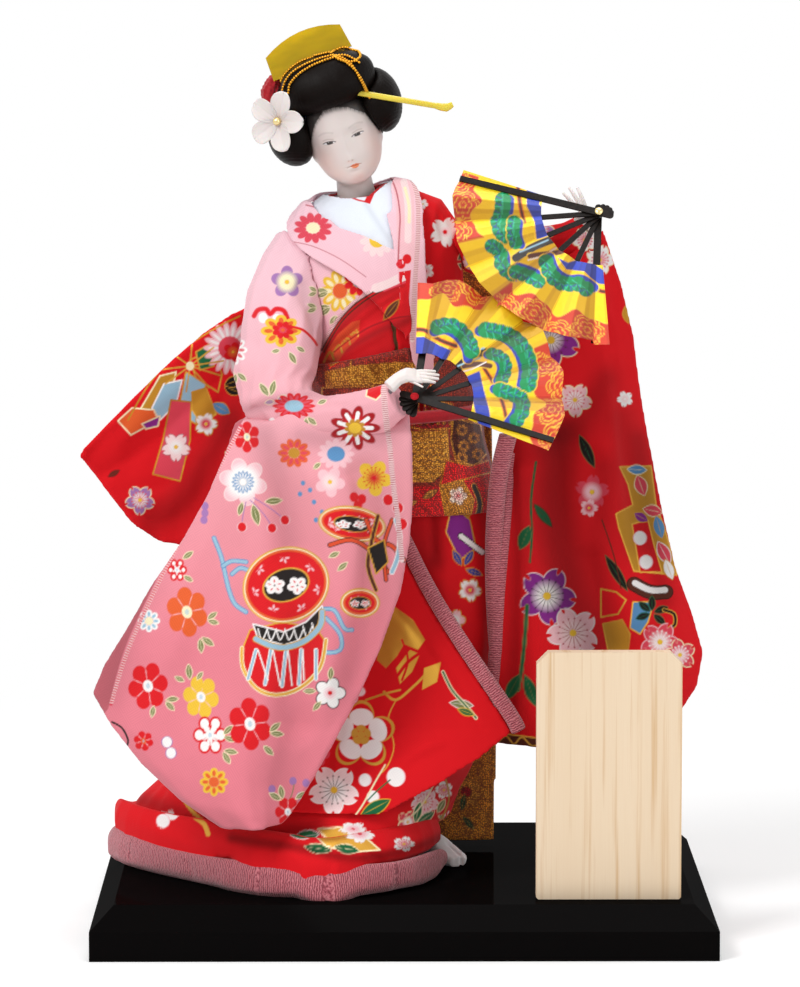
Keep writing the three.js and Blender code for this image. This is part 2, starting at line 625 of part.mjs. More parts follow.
// Collars: bands between an inner and an outer edge, from one end round the neck to the other.
// Each row is a turn and the torso's t there.
const COLLAR_EDGE_GROWTH = 0.12;
const edgeCurve = (edge) => new THREE.CatmullRomCurve3(
  edge.map(([turn, t]) => v3(turn, t, 0)), false, "centripetal");
function collar({ inner, outer }, from, to, rows, columns, grow = 0) {
  const innerCurve = edgeCurve(inner);
  const outerCurve = edgeCurve(outer);
  const margin = grow * COLLAR_EDGE_GROWTH;
  return torsoSheet((u, v) => {
    const shift = u === 0 ? -grow : u === 1 ? grow : 0;
    const [low, high] = [outerCurve, innerCurve].map((curve) =>
      curve.getPoint(u).addScaledVector(curve.getTangent(u), shift));
    const share = lerp(-margin, 1 + margin, v);
    return [lerp(high.x, low.x, share), lerp(high.y, low.y, share)];
  }, from - grow, to + grow, rows, columns);
}
const WHITE_COLLAR = {
  inner: [[14, 0.83], [-15, 0.87], [-45, 0.93], [-100, 0.95], [-180, 0.95], [-250, 0.95],
    [-304, 0.94], [-328, 0.9], [-344.5, 0.835]],
  outer: [[14, 0.5], [-15, 0.56], [-45, 0.7], [-100, 0.82], [-180, 0.85], [-250, 0.82],
    [-304, 0.78], [-328, 0.54], [-344.5, 0.49]],
};
const RED_COLLAR = {
  inner: [[12, 0.865], [-20, 0.905], [-52, 0.965], [-100, 0.985], [-180, 0.985], [-250, 0.985],
    [-306, 0.985], [-330, 0.94], [-346, 0.875]],
  outer: [[12, 0.82], [-20, 0.87], [-52, 0.945], [-100, 0.965], [-180, 0.965], [-250, 0.965],
    [-306, 0.945], [-330, 0.87], [-346, 0.82]],
};
const PINK_RIGHT = {
  inner: [[-174, 0.93], [-105, 0.9], [-66, 0.82], [-30, 0.67], [2, 0.55], [20, 0.47]],
  outer: [[-174, 0.84], [-105, 0.78], [-70, 0.66], [-36, 0.5], [-6, 0.38], [12, 0.28]],
};
const PINK_LEFT = {
  inner: [[15, 0.22], [15, 0.36], [15, 0.5], [20, 0.66], [34, 0.8], [60, 0.9], [105, 0.93],
    [174, 0.93]],
  outer: [[32, 0.22], [32.5, 0.36], [33.5, 0.5], [42, 0.64], [56, 0.74], [74, 0.8], [105, 0.83],
    [174, 0.84]],
};
add(figure, "collar_white", collar(WHITE_COLLAR, COLLAR_IN, COLLAR_OUT, 5, 22), whiteCloth());
add(figure, "collar_red", collar(RED_COLLAR, RED_IN, RED_IN + COLLAR_THICKNESS, 2, 22), redCloth());
const pinkLeftCollar = (grow) => collar(PINK_LEFT, BAND_IN, BAND_OUT, 3, 18, grow);
const pinkRightCollar = (grow) => collar(PINK_RIGHT, BAND_IN, BAND_OUT, 3, 18, grow);
add(figure, "collar_pink_left", pinkLeftCollar(0), pinkCloth());
add(figure, "collar_pink_right",
  largest(cut(pinkRightCollar(0), pinkLeftCollar(GAP))), pinkCloth());

// Sash (obi) wound round the waist over skirt and bodice, with a rolled cord and a knot behind
const OBI_OVALS = [[OBI_BOTTOM, 2, -0.5, 43.5, 36], [192, 1, 0, 42, 35], [212, -1, 0, 38.5, 32.5],
  [235, -3, 0, 37.5, 31.5], [OBI_TOP, -8, 0, 40, 31.5]];
function obiForm(grow) {
  return skin(OBI_OVALS.map(([z, cx, cy, rx, ry], i) => {
    const last = i === OBI_OVALS.length - 1;
    const end = i === 0 ? -grow : last ? grow : 0;
    return ellipseRing(z, cx, cy, rx + OBI_THICKNESS + grow, ry + OBI_THICKNESS + grow, 24)
      .map((point) => point.add(v3(0, 0, end + (last ? OBI_TOP_SLOPE * (point.x - cx) : 0))));
  }));
}
const BODICE_CLEARANCE = 0.8;
const bodiceSpace = torsoForm(BODICE_OUT + BODICE_CLEARANCE, 0, 1, 8);
const bodiceSpaces = [bodiceSpace, bodiceHalf(BODICE_RIGHT, GAP), bodiceHalf(BODICE_LEFT, GAP)];
const COLLAR_CLEARANCE = 0.7;
const collarSpaces = [pinkLeftCollar(COLLAR_CLEARANCE), pinkRightCollar(COLLAR_CLEARANCE)];
const obiSpace = obiForm(GAP);
function ovalRoll(z, cx, cy, rx, ry, radius, slope, grow = 0) {
  const steps = 24;
  const rings = Array.from({ length: steps }, (_, i) => {
    const turn = (i / steps) * 2 * Math.PI;
    const out = v3(Math.sin(turn), -Math.cos(turn), 0);
    const centre = v3(cx + rx * out.x, cy + ry * out.y, z + slope * rx * out.x);
    return Array.from({ length: 8 }, (_, j) => {
      const around = (j / 8) * 2 * Math.PI;
      return centre.clone()
        .addScaledVector(out, (radius + grow) * Math.cos(around))
        .add(v3(0, 0, (radius + grow) * Math.sin(around)));
    });
  });
  return skin(rings, true);
}
const sash = (grow) => ovalRoll(SASH_HEIGHT, -2.2, 0, 38.2 + OBI_THICKNESS + SASH_RADIUS + GAP,
  32 + OBI_THICKNESS + SASH_RADIUS + GAP, SASH_RADIUS, 0.06, grow);
const knotForm = (grow) => tube(
  points([[-KNOT_WIDTH / 2 - 1, KNOT_Y - 2, KNOT_MIDDLE - 3], [-20, KNOT_Y, KNOT_MIDDLE + 3],
    [18, KNOT_Y, KNOT_MIDDLE + 3], [KNOT_WIDTH / 2 - 1, KNOT_Y - 2, KNOT_MIDDLE - 1]]),
  [[KNOT_HEIGHT * 0.36, KNOT_DEPTH * 0.36], [KNOT_HEIGHT * 0.48, KNOT_DEPTH * 0.5],
    [KNOT_HEIGHT * 0.5, KNOT_DEPTH * 0.5], [KNOT_HEIGHT * 0.48, KNOT_DEPTH * 0.5],
    [KNOT_HEIGHT * 0.36, KNOT_DEPTH * 0.36]], 10, 14, grow);
add(figure, "obi", largest(cut(obiForm(0), skirtSpace, bodiceSpace, ...collarSpaces)), brocade());
add(figure, "obi_sash", sash(0), redCloth());
add(figure, "obi_knot", largest(cut(knotForm(0), bodiceSpace, obiSpace, sash(GAP))), brocade());
const TAIL_TOP = KNOT_MIDDLE - KNOT_HEIGHT / 4;
function obiTail(middle, front, thickness) {
  const half = TAIL_WIDTH / 2;
  return hangingCloth({
    left: [[middle - half + 4, front, TAIL_TOP], [middle - half, front, 170],
      [middle - half - 1, front, 80], [middle - half, front, TAIL_BOTTOM]],
    right: [[middle + half - 4, front, TAIL_TOP], [middle + half, front, 170],
      [middle + half + 1, front, 80], [middle + half, front, TAIL_BOTTOM]],
    rows: 10, columns: 9, thickness, bow: 0, folds: 1, foldDepth: 0.7, lean: 1 });
}
const TAIL_STEP = TAIL_THICKNESS + 2 * 0.7 + GAP;
add(figure, "obi_tail_left",
  largest(cut(obiTail(20, TAIL_BACK_Y, TAIL_THICKNESS), knotForm(GAP), sash(GAP))), brocade());
add(figure, "obi_tail_right",
  largest(cut(obiTail(-22, TAIL_BACK_Y + TAIL_STEP, TAIL_THICKNESS), knotForm(GAP))), brocade());

// Folding fans. A fan's own frame has X to the right, Y up the fan and Z towards the viewer,
// with the rivet at its origin. Stick 0 is the front guard and the last stick the back guard.
const FANS = {
  low: { rivet: [5, -88, 241], lean: 40, first: -20.6, fixed: 0 },
  high: { rivet: [95, -30, 326], lean: 34, first: 164, fixed: FAN_STICKS - 1 },
};
function placeFan(geometry, { rivet, lean }) {
  geometry.rotateX((90 - lean) * DEG);
  return geometry.translate(...rivet);
}
const stickAngle = (fan, k) => fan.first + FAN_STEP * k;
const stickLayer = (k) => -FAN_LAYER * k;
function stick(fan, k) {
  const guard = k === 0 || k === FAN_STICKS - 1;
  const end = guard ? FAN_RADIUS : FAN_RADIUS - 4;
  const root = (guard ? FAN_GUARD_WIDTH : FAN_RIB_WIDTH) / 2;
  const tip = guard ? root * 0.8 : root * 0.45;
  const outline = new THREE.Shape();
  outline.moveTo(0, -root);
  outline.lineTo(FAN_LEAF_INNER, -root);
  outline.lineTo(end, -tip);
  outline.lineTo(end, tip);
  outline.lineTo(FAN_LEAF_INNER, root);
  outline.lineTo(0, root);
  outline.lineTo(-FAN_HEEL + root, root);
  outline.absarc(-FAN_HEEL + root, 0, root, Math.PI / 2, 1.5 * Math.PI, false);
  const hole = new THREE.Path().absarc(0, 0, FAN_RIVET_RADIUS + 0.2, 0, 2 * Math.PI, true);
  if (k !== fan.fixed) outline.holes.push(hole);
  const blade = new THREE.ExtrudeGeometry(outline,
    { depth: FAN_STICK_THICKNESS, bevelEnabled: false, curveSegments: 4 });
  blade.translate(0, 0, -FAN_STICK_THICKNESS / 2);
  blade.rotateZ(stickAngle(fan, k) * DEG);
  return blade.translate(0, 0, stickLayer(k));
}
// Rivet through all sticks, in one piece with the guard that the hand holds
function rivet() {
  const front = FAN_STICK_THICKNESS / 2 + FAN_LAYER - FAN_STICK_THICKNESS;
  const back = stickLayer(FAN_STICKS - 1) - front;
  const head = (z) => v3(0, 0, z);
  return [rod(head(front + 0.6), head(back - 0.6), FAN_RIVET_RADIUS, 8),
    rod(head(front), head(front + 0.7), FAN_RIVET_HEAD, 8),
    rod(head(back), head(back - 0.7), FAN_RIVET_HEAD, 8)];
}
// Pleated leaf: valleys lie on the sticks, ridges between them stand towards the viewer.
// Its first strip runs flat behind the front guard.
function fanLeafForm(fan) {
  const lift = FAN_STICK_THICKNESS / 2 + GAP + FAN_LEAF_THICKNESS / 2;
  const folds = [[stickAngle(fan, 0) - FAN_LEAF_MARGIN, -lift, 0],
    [stickAngle(fan, 0) + FAN_LEAF_MARGIN * 2, -lift, 0]];
  for (let k = 1; k < FAN_STICKS; k++) {
    const before = k === 1 ? -lift : stickLayer(k - 1) + lift;
    const height = stickLayer(k) + lift;
    folds.push([stickAngle(fan, k - 0.45), (before + height) / 2, FAN_PLEAT]);
    folds.push([stickAngle(fan, k), height, 0]);
  }
  const grid = (side) => [FAN_RADIUS, FAN_LEAF_INNER].map((radius) =>
    folds.map(([angle, height, pleat]) => v3(
      radius * Math.cos(angle * DEG), radius * Math.sin(angle * DEG),
      height + (pleat * radius) / FAN_RADIUS + (side * FAN_LEAF_THICKNESS) / 2)));
  return clothSolid(grid(1), grid(-1));
}
for (const [name, fan] of Object.entries(FANS)) {
  for (let k = 0; k < FAN_STICKS; k++) {
    const blade = k === fan.fixed ? join(stick(fan, k), ...rivet()) : stick(fan, k);
    const label = k === 0 ? "guard_front" : k === FAN_STICKS - 1 ? "guard_back" : `rib_${k}`;
    add(figure, `fan_${name}_${label}`, placeFan(blade, fan), fanStick());
  }
  add(figure, `fan_${name}_leaf`, placeFan(fanLeafForm(fan), fan), fanLeaf());
}

// Hands. The right hand lies on the front guard of the low fan, the left one is behind the high fan.
// Points are in the fan's frame: across, up the fan and towards the viewer.
function handForm(fan, { palm, fingerRoots, fingerTips, thumb }, grow = 0) {
  const steps = grow > 0 ? 2 : 3;
  const palmShape = tube(points(palm), [[3.4, 2.9], [3, 2.4], [5.4, 2.1]], 5, 10, grow, v3(0, 0, 1));
  const fingers = fingerTips.map((tip, i) => {
    const from = v3(...fingerRoots[i]);
    const to = v3(...tip);
    const middle = from.clone().lerp(to, 0.5).add(v3(0, 0, 0.9));
    return tube([from, middle, to], [[1.35, 1.3], [1.2, 1.1], [0.7, 0.7]], steps, 6, grow);
  });
  const thumbShape = tube(points(thumb), [[1.7, 1.6], [1.4, 1.3], [0.8, 0.8]], steps, 6, grow);
  return placeFan(join(palmShape, ...fingers, thumbShape), fan);
}
const HAND_RIGHT = {
  palm: [[-12, 2, 6], [-7, 6.5, 7.2], [3, 11, 5.4]],
  fingerRoots: [[0, 14.4, 5.4], [1, 12.4, 5.4], [1.4, 10.2, 5.2], [1.2, 8, 5]],
  fingerTips: [[12.5, 16.4, 4.4], [14.4, 13.8, 4], [14.2, 11, 3.8], [12.4, 8.4, 3.6]],
  thumb: [[-3, 7, 5.4], [4, 2.4, 3.6], [10.5, -3.4, 1.5]],
};
const HAND_LEFT = {
  palm: [[-2.5, 2.5, -20], [-4, 3, -14], [-9, 6, -10]],
  fingerRoots: [[-6, 8.6, -9.6], [-8, 8.4, -9.4], [-10, 7.4, -9.4], [-12, 5.6, -9.4]],
  fingerTips: [[-10, 17.4, -5], [-14, 17, -4.6], [-17, 14, -4.8], [-19, 10.4, -5.8]],
  thumb: [[-3, 3, -12], [-2, -2, -9.6], [-1, -7, -6.9]],
};
// The space that a fan's sticks need at rest and while they fold
function fanSpace(fan) {
  const front = FAN_STICK_THICKNESS / 2 + GAP;
  const depth = front - stickLayer(FAN_STICKS - 1) + FAN_STICK_THICKNESS / 2 + GAP;
  const heel = new THREE.CylinderGeometry(FAN_HEEL + 1, FAN_HEEL + 1, depth, 20);
  heel.rotateX(Math.PI / 2).translate(0, 0, front - depth / 2);
  const behind = stickLayer(FAN_STICKS - 1) - 1.6 - GAP;
  const heads = new THREE.CylinderGeometry(FAN_RIVET_HEAD + GAP, FAN_RIVET_HEAD + GAP,
    front + 1.4 - behind, 12);
  heads.rotateX(Math.PI / 2).translate(0, 0, (front + 1.4 + behind) / 2);
  const sector = new THREE.Shape();
  sector.moveTo(0, 0);
  sector.absarc(0, 0, FAN_RADIUS + 1, (stickAngle(fan, 0) - 5) * DEG,
    (stickAngle(fan, FAN_STICKS - 1) + 5) * DEG, false);
  const sweep = new THREE.ExtrudeGeometry(sector, { depth, bevelEnabled: false, curveSegments: 10 });
  sweep.translate(0, 0, front - depth);
  return placeFan(join(heel, sweep, heads), fan);
}
const handRight = cut(handForm(FANS.low, HAND_RIGHT), fanSpace(FANS.low), wire(WIRE_RIGHT, GAP));
const handLeft = cut(handForm(FANS.high, HAND_LEFT), fanSpace(FANS.high), wire(WIRE_LEFT, GAP));
add(figure, "hand_right", largest(handRight), doll());
add(figure, "hand_left", largest(handLeft), doll());
add(figure, "arm_wire_right", wire(WIRE_RIGHT, 0), steel());
add(figure, "arm_wire_left", wire(WIRE_LEFT, 0), steel());

// Arm parts of the sleeves, then the parts that hang from them
const armRight = (grow) => tube(ARM_RIGHT, ARM_RIGHT_RADII, 10, 12, grow);
const armLeft = (grow) => tube(ARM_LEFT, ARM_LEFT_RADII, 7, 12, grow);
const handRightSpace = handForm(FANS.low, HAND_RIGHT, GAP);
const handLeftSpace = handForm(FANS.high, HAND_LEFT, GAP);
const torsoSpaces = [...bodiceSpaces, obiSpace, ...collarSpaces];
add(figure, "sleeve_right_arm", largest(cut(armRight(0), ...torsoSpaces,
  wire(WIRE_RIGHT, GAP), handRightSpace, fanSpace(FANS.low))), pinkCloth());
add(figure, "sleeve_left_arm", largest(cut(armLeft(0), ...torsoSpaces, knotForm(GAP),
  wire(WIRE_LEFT, GAP), handLeftSpace)), redCloth());

const hangRight = hangingCloth({
  left: [[-79, -50, 234], [-88, -56, 204], [-103, -60, 175], [-122, -63, 146], [-139, -66, 117],
    [-150, -68, 98], [-138, -76, 78], [-115, -84, 53], [-88, -89, 34]],
  right: [[2, -80, 238], [4, -82, 206], [3, -82, 177], [-3, -84, 144], [-17, -86, 108],
    [-33, -89, 77], [-45, -90, 56], [-54, -91, 42], [-59, -91, 36]],
  rows: 12, columns: 10, thickness: SLEEVE_THICKNESS, bow: 10, folds: 1.5,
  foldDepth: SLEEVE_FOLD_DEPTH, lean: 0.6 });
add(figure, "sleeve_right_hang",
  largest(cut(hangRight, armRight(GAP), handRightSpace)), pinkCloth());

const LEFT_EDGE = [[44, -10, 278], [53, -18, 236], [56, -24, 208], [54, -27, 174], [51, -29, 139],
  [49, -31, 105], [46, -31, 80], [45, -31, 66]];
const edgePiping = (grow) => evenTube(
  points(LEFT_EDGE.slice(2, 7)).map((p) => p.add(v3(-4, -1, 0))), EDGE_PIPING_RADIUS, 10, 8, grow);
const hangLeft = hangingCloth({
  left: LEFT_EDGE,
  right: [[98, -10, 316], [111, -6, 275], [117, -4, 235], [125, -1, 190], [137, 1, 140],
    [149, 2, 108], [143, 0, 82], [118, -8, 58]],
  rows: 12, columns: 9, thickness: SLEEVE_THICKNESS, bow: 8, folds: 1.5,
  foldDepth: SLEEVE_FOLD_DEPTH, lean: -0.5 });
const pipingSpaces = [edgePiping(GAP), flapPiping(GAP)];
add(figure, "sleeve_left_piping",
  largest(cut(edgePiping(0), skirtSpace, obiSpace, flapPiping(GAP))), crepe());
add(figure, "sleeve_left_hang", largest(cut(hangLeft, armLeft(GAP), bodiceSpace, obiSpace,
  skirtSpace, handLeftSpace, ...pipingSpaces)), redCloth());

// Sleeve of the outer kimono, slipped off the right arm and hanging behind it
const hangBehind = hangingCloth({
  left: [[-34, 21, 286], [-70, 19, 279], [-88, 19, 271], [-111, 21, 253], [-138, 23, 227],
    [-162, 25, 202]],
  right: [[-34, 21, 238], [-70, 17, 221], [-86, 19, 190], [-101, 21, 165], [-114, 23, 156],
    [-136, 24, 168]],
  rows: 9, columns: 7, thickness: SLEEVE_THICKNESS, bow: -5, folds: 1.5,
  foldDepth: SLEEVE_FOLD_DEPTH, lean: 0.8 });
add(figure, "sleeve_right_outer", largest(cut(hangBehind, ...torsoSpaces, armRight(GAP),
  knotForm(GAP), sash(GAP))), redCloth());

// Head and everything on it, in the head's own frame: Z up the face, origin between the eyes
// in the middle of the head's depth
const HEAD_AT = [-28.5, -2, 361.5];
const headPlace = new THREE.Matrix4().compose(v3(...HEAD_AT),
  new THREE.Quaternion().setFromEuler(new THREE.Euler(HEAD_NOD * DEG, -HEAD_TILT * DEG, 0, "YXZ")),
  v3(1, 1, 1));
const onHead = (geometry) => geometry.applyMatrix4(headPlace);
// Rows: height, half width as a share, front depth, back depth
const HEAD_ROWS = [[-22.2, 0.25, 15, -8], [-19.8, 0.54, 17, 0], [-15, 0.8, 18, 6],
  [-8, 0.96, 18.3, 12], [0, 1, 17.8, 17], [8, 1, 17.4, 19], [15, 0.92, 16, 18.5], [21, 0.71, 12, 14.5], [25.5, 0.36, 6, 8]];
function skull(grow) {
  return skin(HEAD_ROWS.map(([z, share, front, back], i) => {
    const end = i === 0 ? -grow : i === HEAD_ROWS.length - 1 ? grow : 0;
    return Array.from({ length: 16 }, (_, j) => {
      const turn = (j / 16) * 2 * Math.PI;
      const half = share * HEAD_HALF_WIDTH + grow;
      const middle = (back - front) / 2;
      const depth = (back + front) / 2 + grow;
      return v3(half * Math.sin(turn), middle - depth * Math.cos(turn), z + end);
    });
  }));
}
function headForm(grow) {
  const nose = ellipsoid(v3(0, -17.4, -9), [1.7, 2.6, 3], grow, 8, 6);
  const ears = [-1, 1].map((side) =>
    ellipsoid(v3(side * HEAD_HALF_WIDTH * 0.97, 1, -4), [1.6, 3, 4.4], grow, 8, 6));
  const head = onHead(join(skull(grow), nose, ...ears));
  const neckPath = [neckFoot, along(neckFoot, neckUp, 10), along(neckFoot, neckUp, 24)];
  return join(head, tube(neckPath,
    [[NECK_RADIUS * 1.2, NECK_RADIUS * 1.1], [NECK_RADIUS, NECK_RADIUS], [NECK_RADIUS, NECK_RADIUS]],
    3, 12, grow));
}
const dowel = (grow) => rod(along(neckDowelFrom, neckUp, grow > 0 ? 6 : 0),
  along(neckDowelTo, neckUp, grow), NECK_DOWEL_RADIUS + grow, 12);
add(figure, "head", cut(headForm(0), dowel(GAP)), doll());
add(figure, "neck_dowel", dowel(0), bareWood());

// Wig: front roll, two side wings, nape and topknot, each cut back by what it lies on
const WIG = {
  front: [[0, -3, 26], [25, 19, 12.5]],
  side_right: [[-24, 3, 8], [12.5, 17, 15]],
  side_left: [[20, 3, 12], [13, 17, 17]],
  nape: [[0, 18, 8], [24, 16, 23]],
  knot: [[2, 16, 37], [15, 10, 9.5]],
};
const wigForm = (name, grow = 0) => {
  const [centre, radii] = WIG[name];
  return onHead(ellipsoid(v3(...centre), radii, grow, 13, 8));
};
const headSpace = headForm(LAYER_GAP);

// Comb with teeth, pushed down into the wig behind the front roll
const COMB_AT = v3(-3.5, 5, 38.5);
const COMB_TURN = 6;
const COMB_LEAN = 14;
const combPlace = new THREE.Matrix4().compose(COMB_AT, new THREE.Quaternion().setFromEuler(
  new THREE.Euler(-COMB_LEAN * DEG, -COMB_TURN * DEG, 0, "YXZ")), v3(1, 1, 1));
function combForm() {
  const half = COMB_WIDTH / 2;
  const outline = new THREE.Shape();
  outline.moveTo(-half, 0);
  for (let i = 0; i < COMB_TEETH; i++) {
    const pitch = (COMB_WIDTH - 6) / COMB_TEETH;
    const left = -half + 3 + i * pitch;
    outline.lineTo(left, 0);
    outline.lineTo(left + pitch * 0.12, -COMB_TOOTH_LENGTH);
    outline.lineTo(left + pitch * 0.5, -COMB_TOOTH_LENGTH);
    outline.lineTo(left + pitch * 0.62, 0);
  }
  outline.lineTo(half, 0);
  outline.lineTo(half - 1, COMB_HEIGHT * 0.55);
  outline.quadraticCurveTo(0, COMB_HEIGHT, -half + 1, COMB_HEIGHT * 0.55);
  const plate = new THREE.ExtrudeGeometry(outline,
    { depth: COMB_THICKNESS, bevelEnabled: false, curveSegments: 8 });
  plate.translate(0, 0, -COMB_THICKNESS / 2).rotateX(Math.PI / 2);
  return onHead(plate.applyMatrix4(combPlace));
}
function combSlot() {
  const slot = new THREE.BoxGeometry(COMB_WIDTH + 2 * GAP, COMB_THICKNESS + 2 * GAP,
    COMB_TOOTH_LENGTH + COMB_HEIGHT);
  slot.translate(0, 0, (COMB_HEIGHT - COMB_TOOTH_LENGTH) / 2 - GAP);
  return onHead(slot.applyMatrix4(combPlace));
}
// Hairpin: a flat stick through the wig that ends outside in an upturned scoop
const PIN_AT = v3(19, -13, 17);
const PIN_WAY = v3(0.88, -0.04, -0.465).normalize();
function pinForm(grow) {
  const inner = along(PIN_AT, PIN_WAY, -HAIRPIN_INSIDE);
  const outer = along(PIN_AT, PIN_WAY, HAIRPIN_OUTSIDE);
  const body = tube([inner, outer], [[HAIRPIN_RADIUS * 0.9, HAIRPIN_RADIUS * 0.7],
    [HAIRPIN_RADIUS * 0.9, HAIRPIN_RADIUS * 0.7]], 2, 8, grow);
  if (grow > 0) return onHead(body);
  const scoop = tube([along(outer, PIN_WAY, -1), along(outer, PIN_WAY, 4),
    along(outer, PIN_WAY, 8).add(v3(0, 0, 2.4))],
    [[HAIRPIN_RADIUS, HAIRPIN_RADIUS * 0.7], [HAIRPIN_RADIUS * 1.3, HAIRPIN_RADIUS * 0.6],
      [HAIRPIN_RADIUS * 0.8, HAIRPIN_RADIUS * 0.5]], 4, 8);
  return onHead(join(body, scoop));
}
// Five-petal flower on a stem, with a bead in the middle
const FLOWER_AT = v3(-27.6, -20, 20);
const FLOWER_WAY = v3(-0.45, -0.85, 0.2).normalize();
const flowerTurn = new THREE.Quaternion().setFromUnitVectors(v3(0, 0, 1), FLOWER_WAY);
const placeFlower = (geometry) =>
  onHead(geometry.applyQuaternion(flowerTurn).translate(FLOWER_AT.x, FLOWER_AT.y, FLOWER_AT.z));
function flowerForm() {
  const petal = (k) => {
    const shape = new THREE.Shape();
    shape.moveTo(1, -1.2);
    shape.bezierCurveTo(5, -8.5, FLOWER_RADIUS, -8, FLOWER_RADIUS, 0);
    shape.bezierCurveTo(FLOWER_RADIUS, 8, 5, 8.5, 1, 1.2);
    const blade = new THREE.ExtrudeGeometry(shape,
      { depth: 1, bevelEnabled: false, curveSegments: 3 });
    return blade.rotateY(-0.16).rotateZ((k * 72 + 30) * DEG).translate(0, 0, k * 0.05);
  };
  const bead = ellipsoid(v3(0, 0, 1.8), [FLOWER_BEAD_RADIUS, FLOWER_BEAD_RADIUS, 1.8], 0, 7, 5);
  const stem = rod(v3(0, 0, 1), v3(0, 0, -FLOWER_STEM_LENGTH), FLOWER_STEM_RADIUS, 6);
  return placeFlower(join(petal(0), petal(1), petal(2), petal(3), petal(4), bead, stem));
}
const stemHole = () => placeFlower(
  rod(v3(0, 0, 3), v3(0, 0, -FLOWER_STEM_LENGTH - GAP), FLOWER_STEM_RADIUS + GAP, 8));
// Gold cord lying on the front roll along the foot of the comb, with its ends down on both sides
const CORD_ON_ROLL = [[-62, 10], [-50, 38], [-28, 60], [0, 70], [22, 66], [40, 48], [52, 24], [58, 0]];
const cord = (grow) => {
  const [centre, radii] = WIG.front;
  const lift = GOLD_CORD_RADIUS + GAP + 0.5;
  const path = CORD_ON_ROLL.map(([side, up]) => v3(
    centre[0] + (radii[0] + lift) * Math.sin(side * DEG) * Math.cos(up * DEG),
    centre[1] - (radii[1] + lift) * Math.cos(side * DEG) * Math.cos(up * DEG),
    centre[2] + (radii[2] + lift) * Math.sin(up * DEG)));
  return onHead(evenTube(path, GOLD_CORD_RADIUS, 20, 6, grow));
};
// Red crepe wound at the foot of the topknot
const crepeRoll = (grow) => onHead(tube(points([[-31, 6, 24], [-27, 10, 33], [-18, 14, 38]]),
  [[4, 4], [5, 5], [3.6, 4]], 5, 8, grow));
const fittings = [combSlot(), pinForm(GAP), stemHole()];
const wig = (name, ...others) => largest(cut(wigForm(name), headSpace, ...fittings,
  ...others.map((other) => wigForm(other, GAP))));
add(figure, "hair_front", wig("front"), silkHair());
add(figure, "hair_side_right", wig("side_right", "front"), silkHair());
add(figure, "hair_side_left", wig("side_left", "front"), silkHair());
add(figure, "hair_nape", wig("nape", "front", "side_right", "side_left"), silkHair());
add(figure, "hair_knot", wig("knot", "front", "side_right", "side_left", "nape"), silkHair());
const wigSpaces = Object.keys(WIG).map((name) => wigForm(name, GAP));
add(figure, "comb", combForm(), amber());
add(figure, "hairpin", pinForm(0), amber());
add(figure, "hair_flower", flowerForm(), petalCloth());
add(figure, "gold_cord", largest(cut(cord(0), ...wigSpaces, ...fittings)), gold());
add(figure, "hair_crepe", largest(cut(crepeRoll(0), headSpace, ...fittings,
  ...wigSpaces, cord(GAP))), redCloth());

export { parts as default };
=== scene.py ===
import logging
import math
from dataclasses import dataclass
from enum import Enum
from typing import Callable, Sequence, Union

import bmesh
import bpy
import numpy as np
from mathutils import Matrix, Vector
from mathutils.bvhtree import BVHTree


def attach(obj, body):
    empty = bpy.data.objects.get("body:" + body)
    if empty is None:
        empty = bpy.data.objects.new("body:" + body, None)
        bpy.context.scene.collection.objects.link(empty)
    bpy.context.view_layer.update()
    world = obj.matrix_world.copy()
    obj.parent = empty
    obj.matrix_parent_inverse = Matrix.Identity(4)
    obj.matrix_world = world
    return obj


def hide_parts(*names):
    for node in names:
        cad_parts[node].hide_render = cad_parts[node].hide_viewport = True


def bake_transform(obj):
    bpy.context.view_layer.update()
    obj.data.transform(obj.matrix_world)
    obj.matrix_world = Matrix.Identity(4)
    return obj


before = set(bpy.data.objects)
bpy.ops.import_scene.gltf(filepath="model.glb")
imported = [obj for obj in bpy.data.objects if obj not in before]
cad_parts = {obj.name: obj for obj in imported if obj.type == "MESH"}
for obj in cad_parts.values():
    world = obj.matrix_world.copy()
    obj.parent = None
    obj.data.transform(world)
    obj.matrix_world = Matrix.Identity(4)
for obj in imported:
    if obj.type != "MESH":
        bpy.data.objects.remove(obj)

logging.basicConfig(level=logging.INFO, format="%(message)s")
log = logging.getLogger("doll")

MM = 0.001
POINT = 0.48  # millimetres that a picture point covers at the doll
STAND_HEIGHT = 25.3  # millimetres from the floor to the stand's top
SOFT_EDGE = 0.9  # picture points over which the edge of a print fades
THIN_EDGE = 0.8
EDGE_ON = 0.22  # how squarely a point has to face the view to take print
PRINT_CHANGE = 0.07  # change of dye along an edge that asks for finer faces
MERGE = 0.004  # millimetres within which the CAD mesh's points are one
TAKE_BACK = 0.52  # share of a smoothing step that is taken back outwards
FAR = 1e9
TINY = 1e-9

Point = tuple[float, float]
Path = Sequence[Point]
Place = tuple[float, float, float]
Colour = tuple[float, float, float]
Socket = bpy.types.NodeSocket
Value = Union[bpy.types.NodeSocket, float, Colour]


def srgb(code: str) -> Colour:
    """Turns a hex colour into the linear values that a shader takes.

    Args:
        code: Six hex digits, red first.

    Returns:
        Linear red, green and blue.
    """
    parts = [int(code[i:i + 2], 16) / 255 for i in (0, 2, 4)]
    return tuple(c / 12.92 if c <= 0.04045 else ((c + 0.055) / 1.055) ** 2.4 for c in parts)


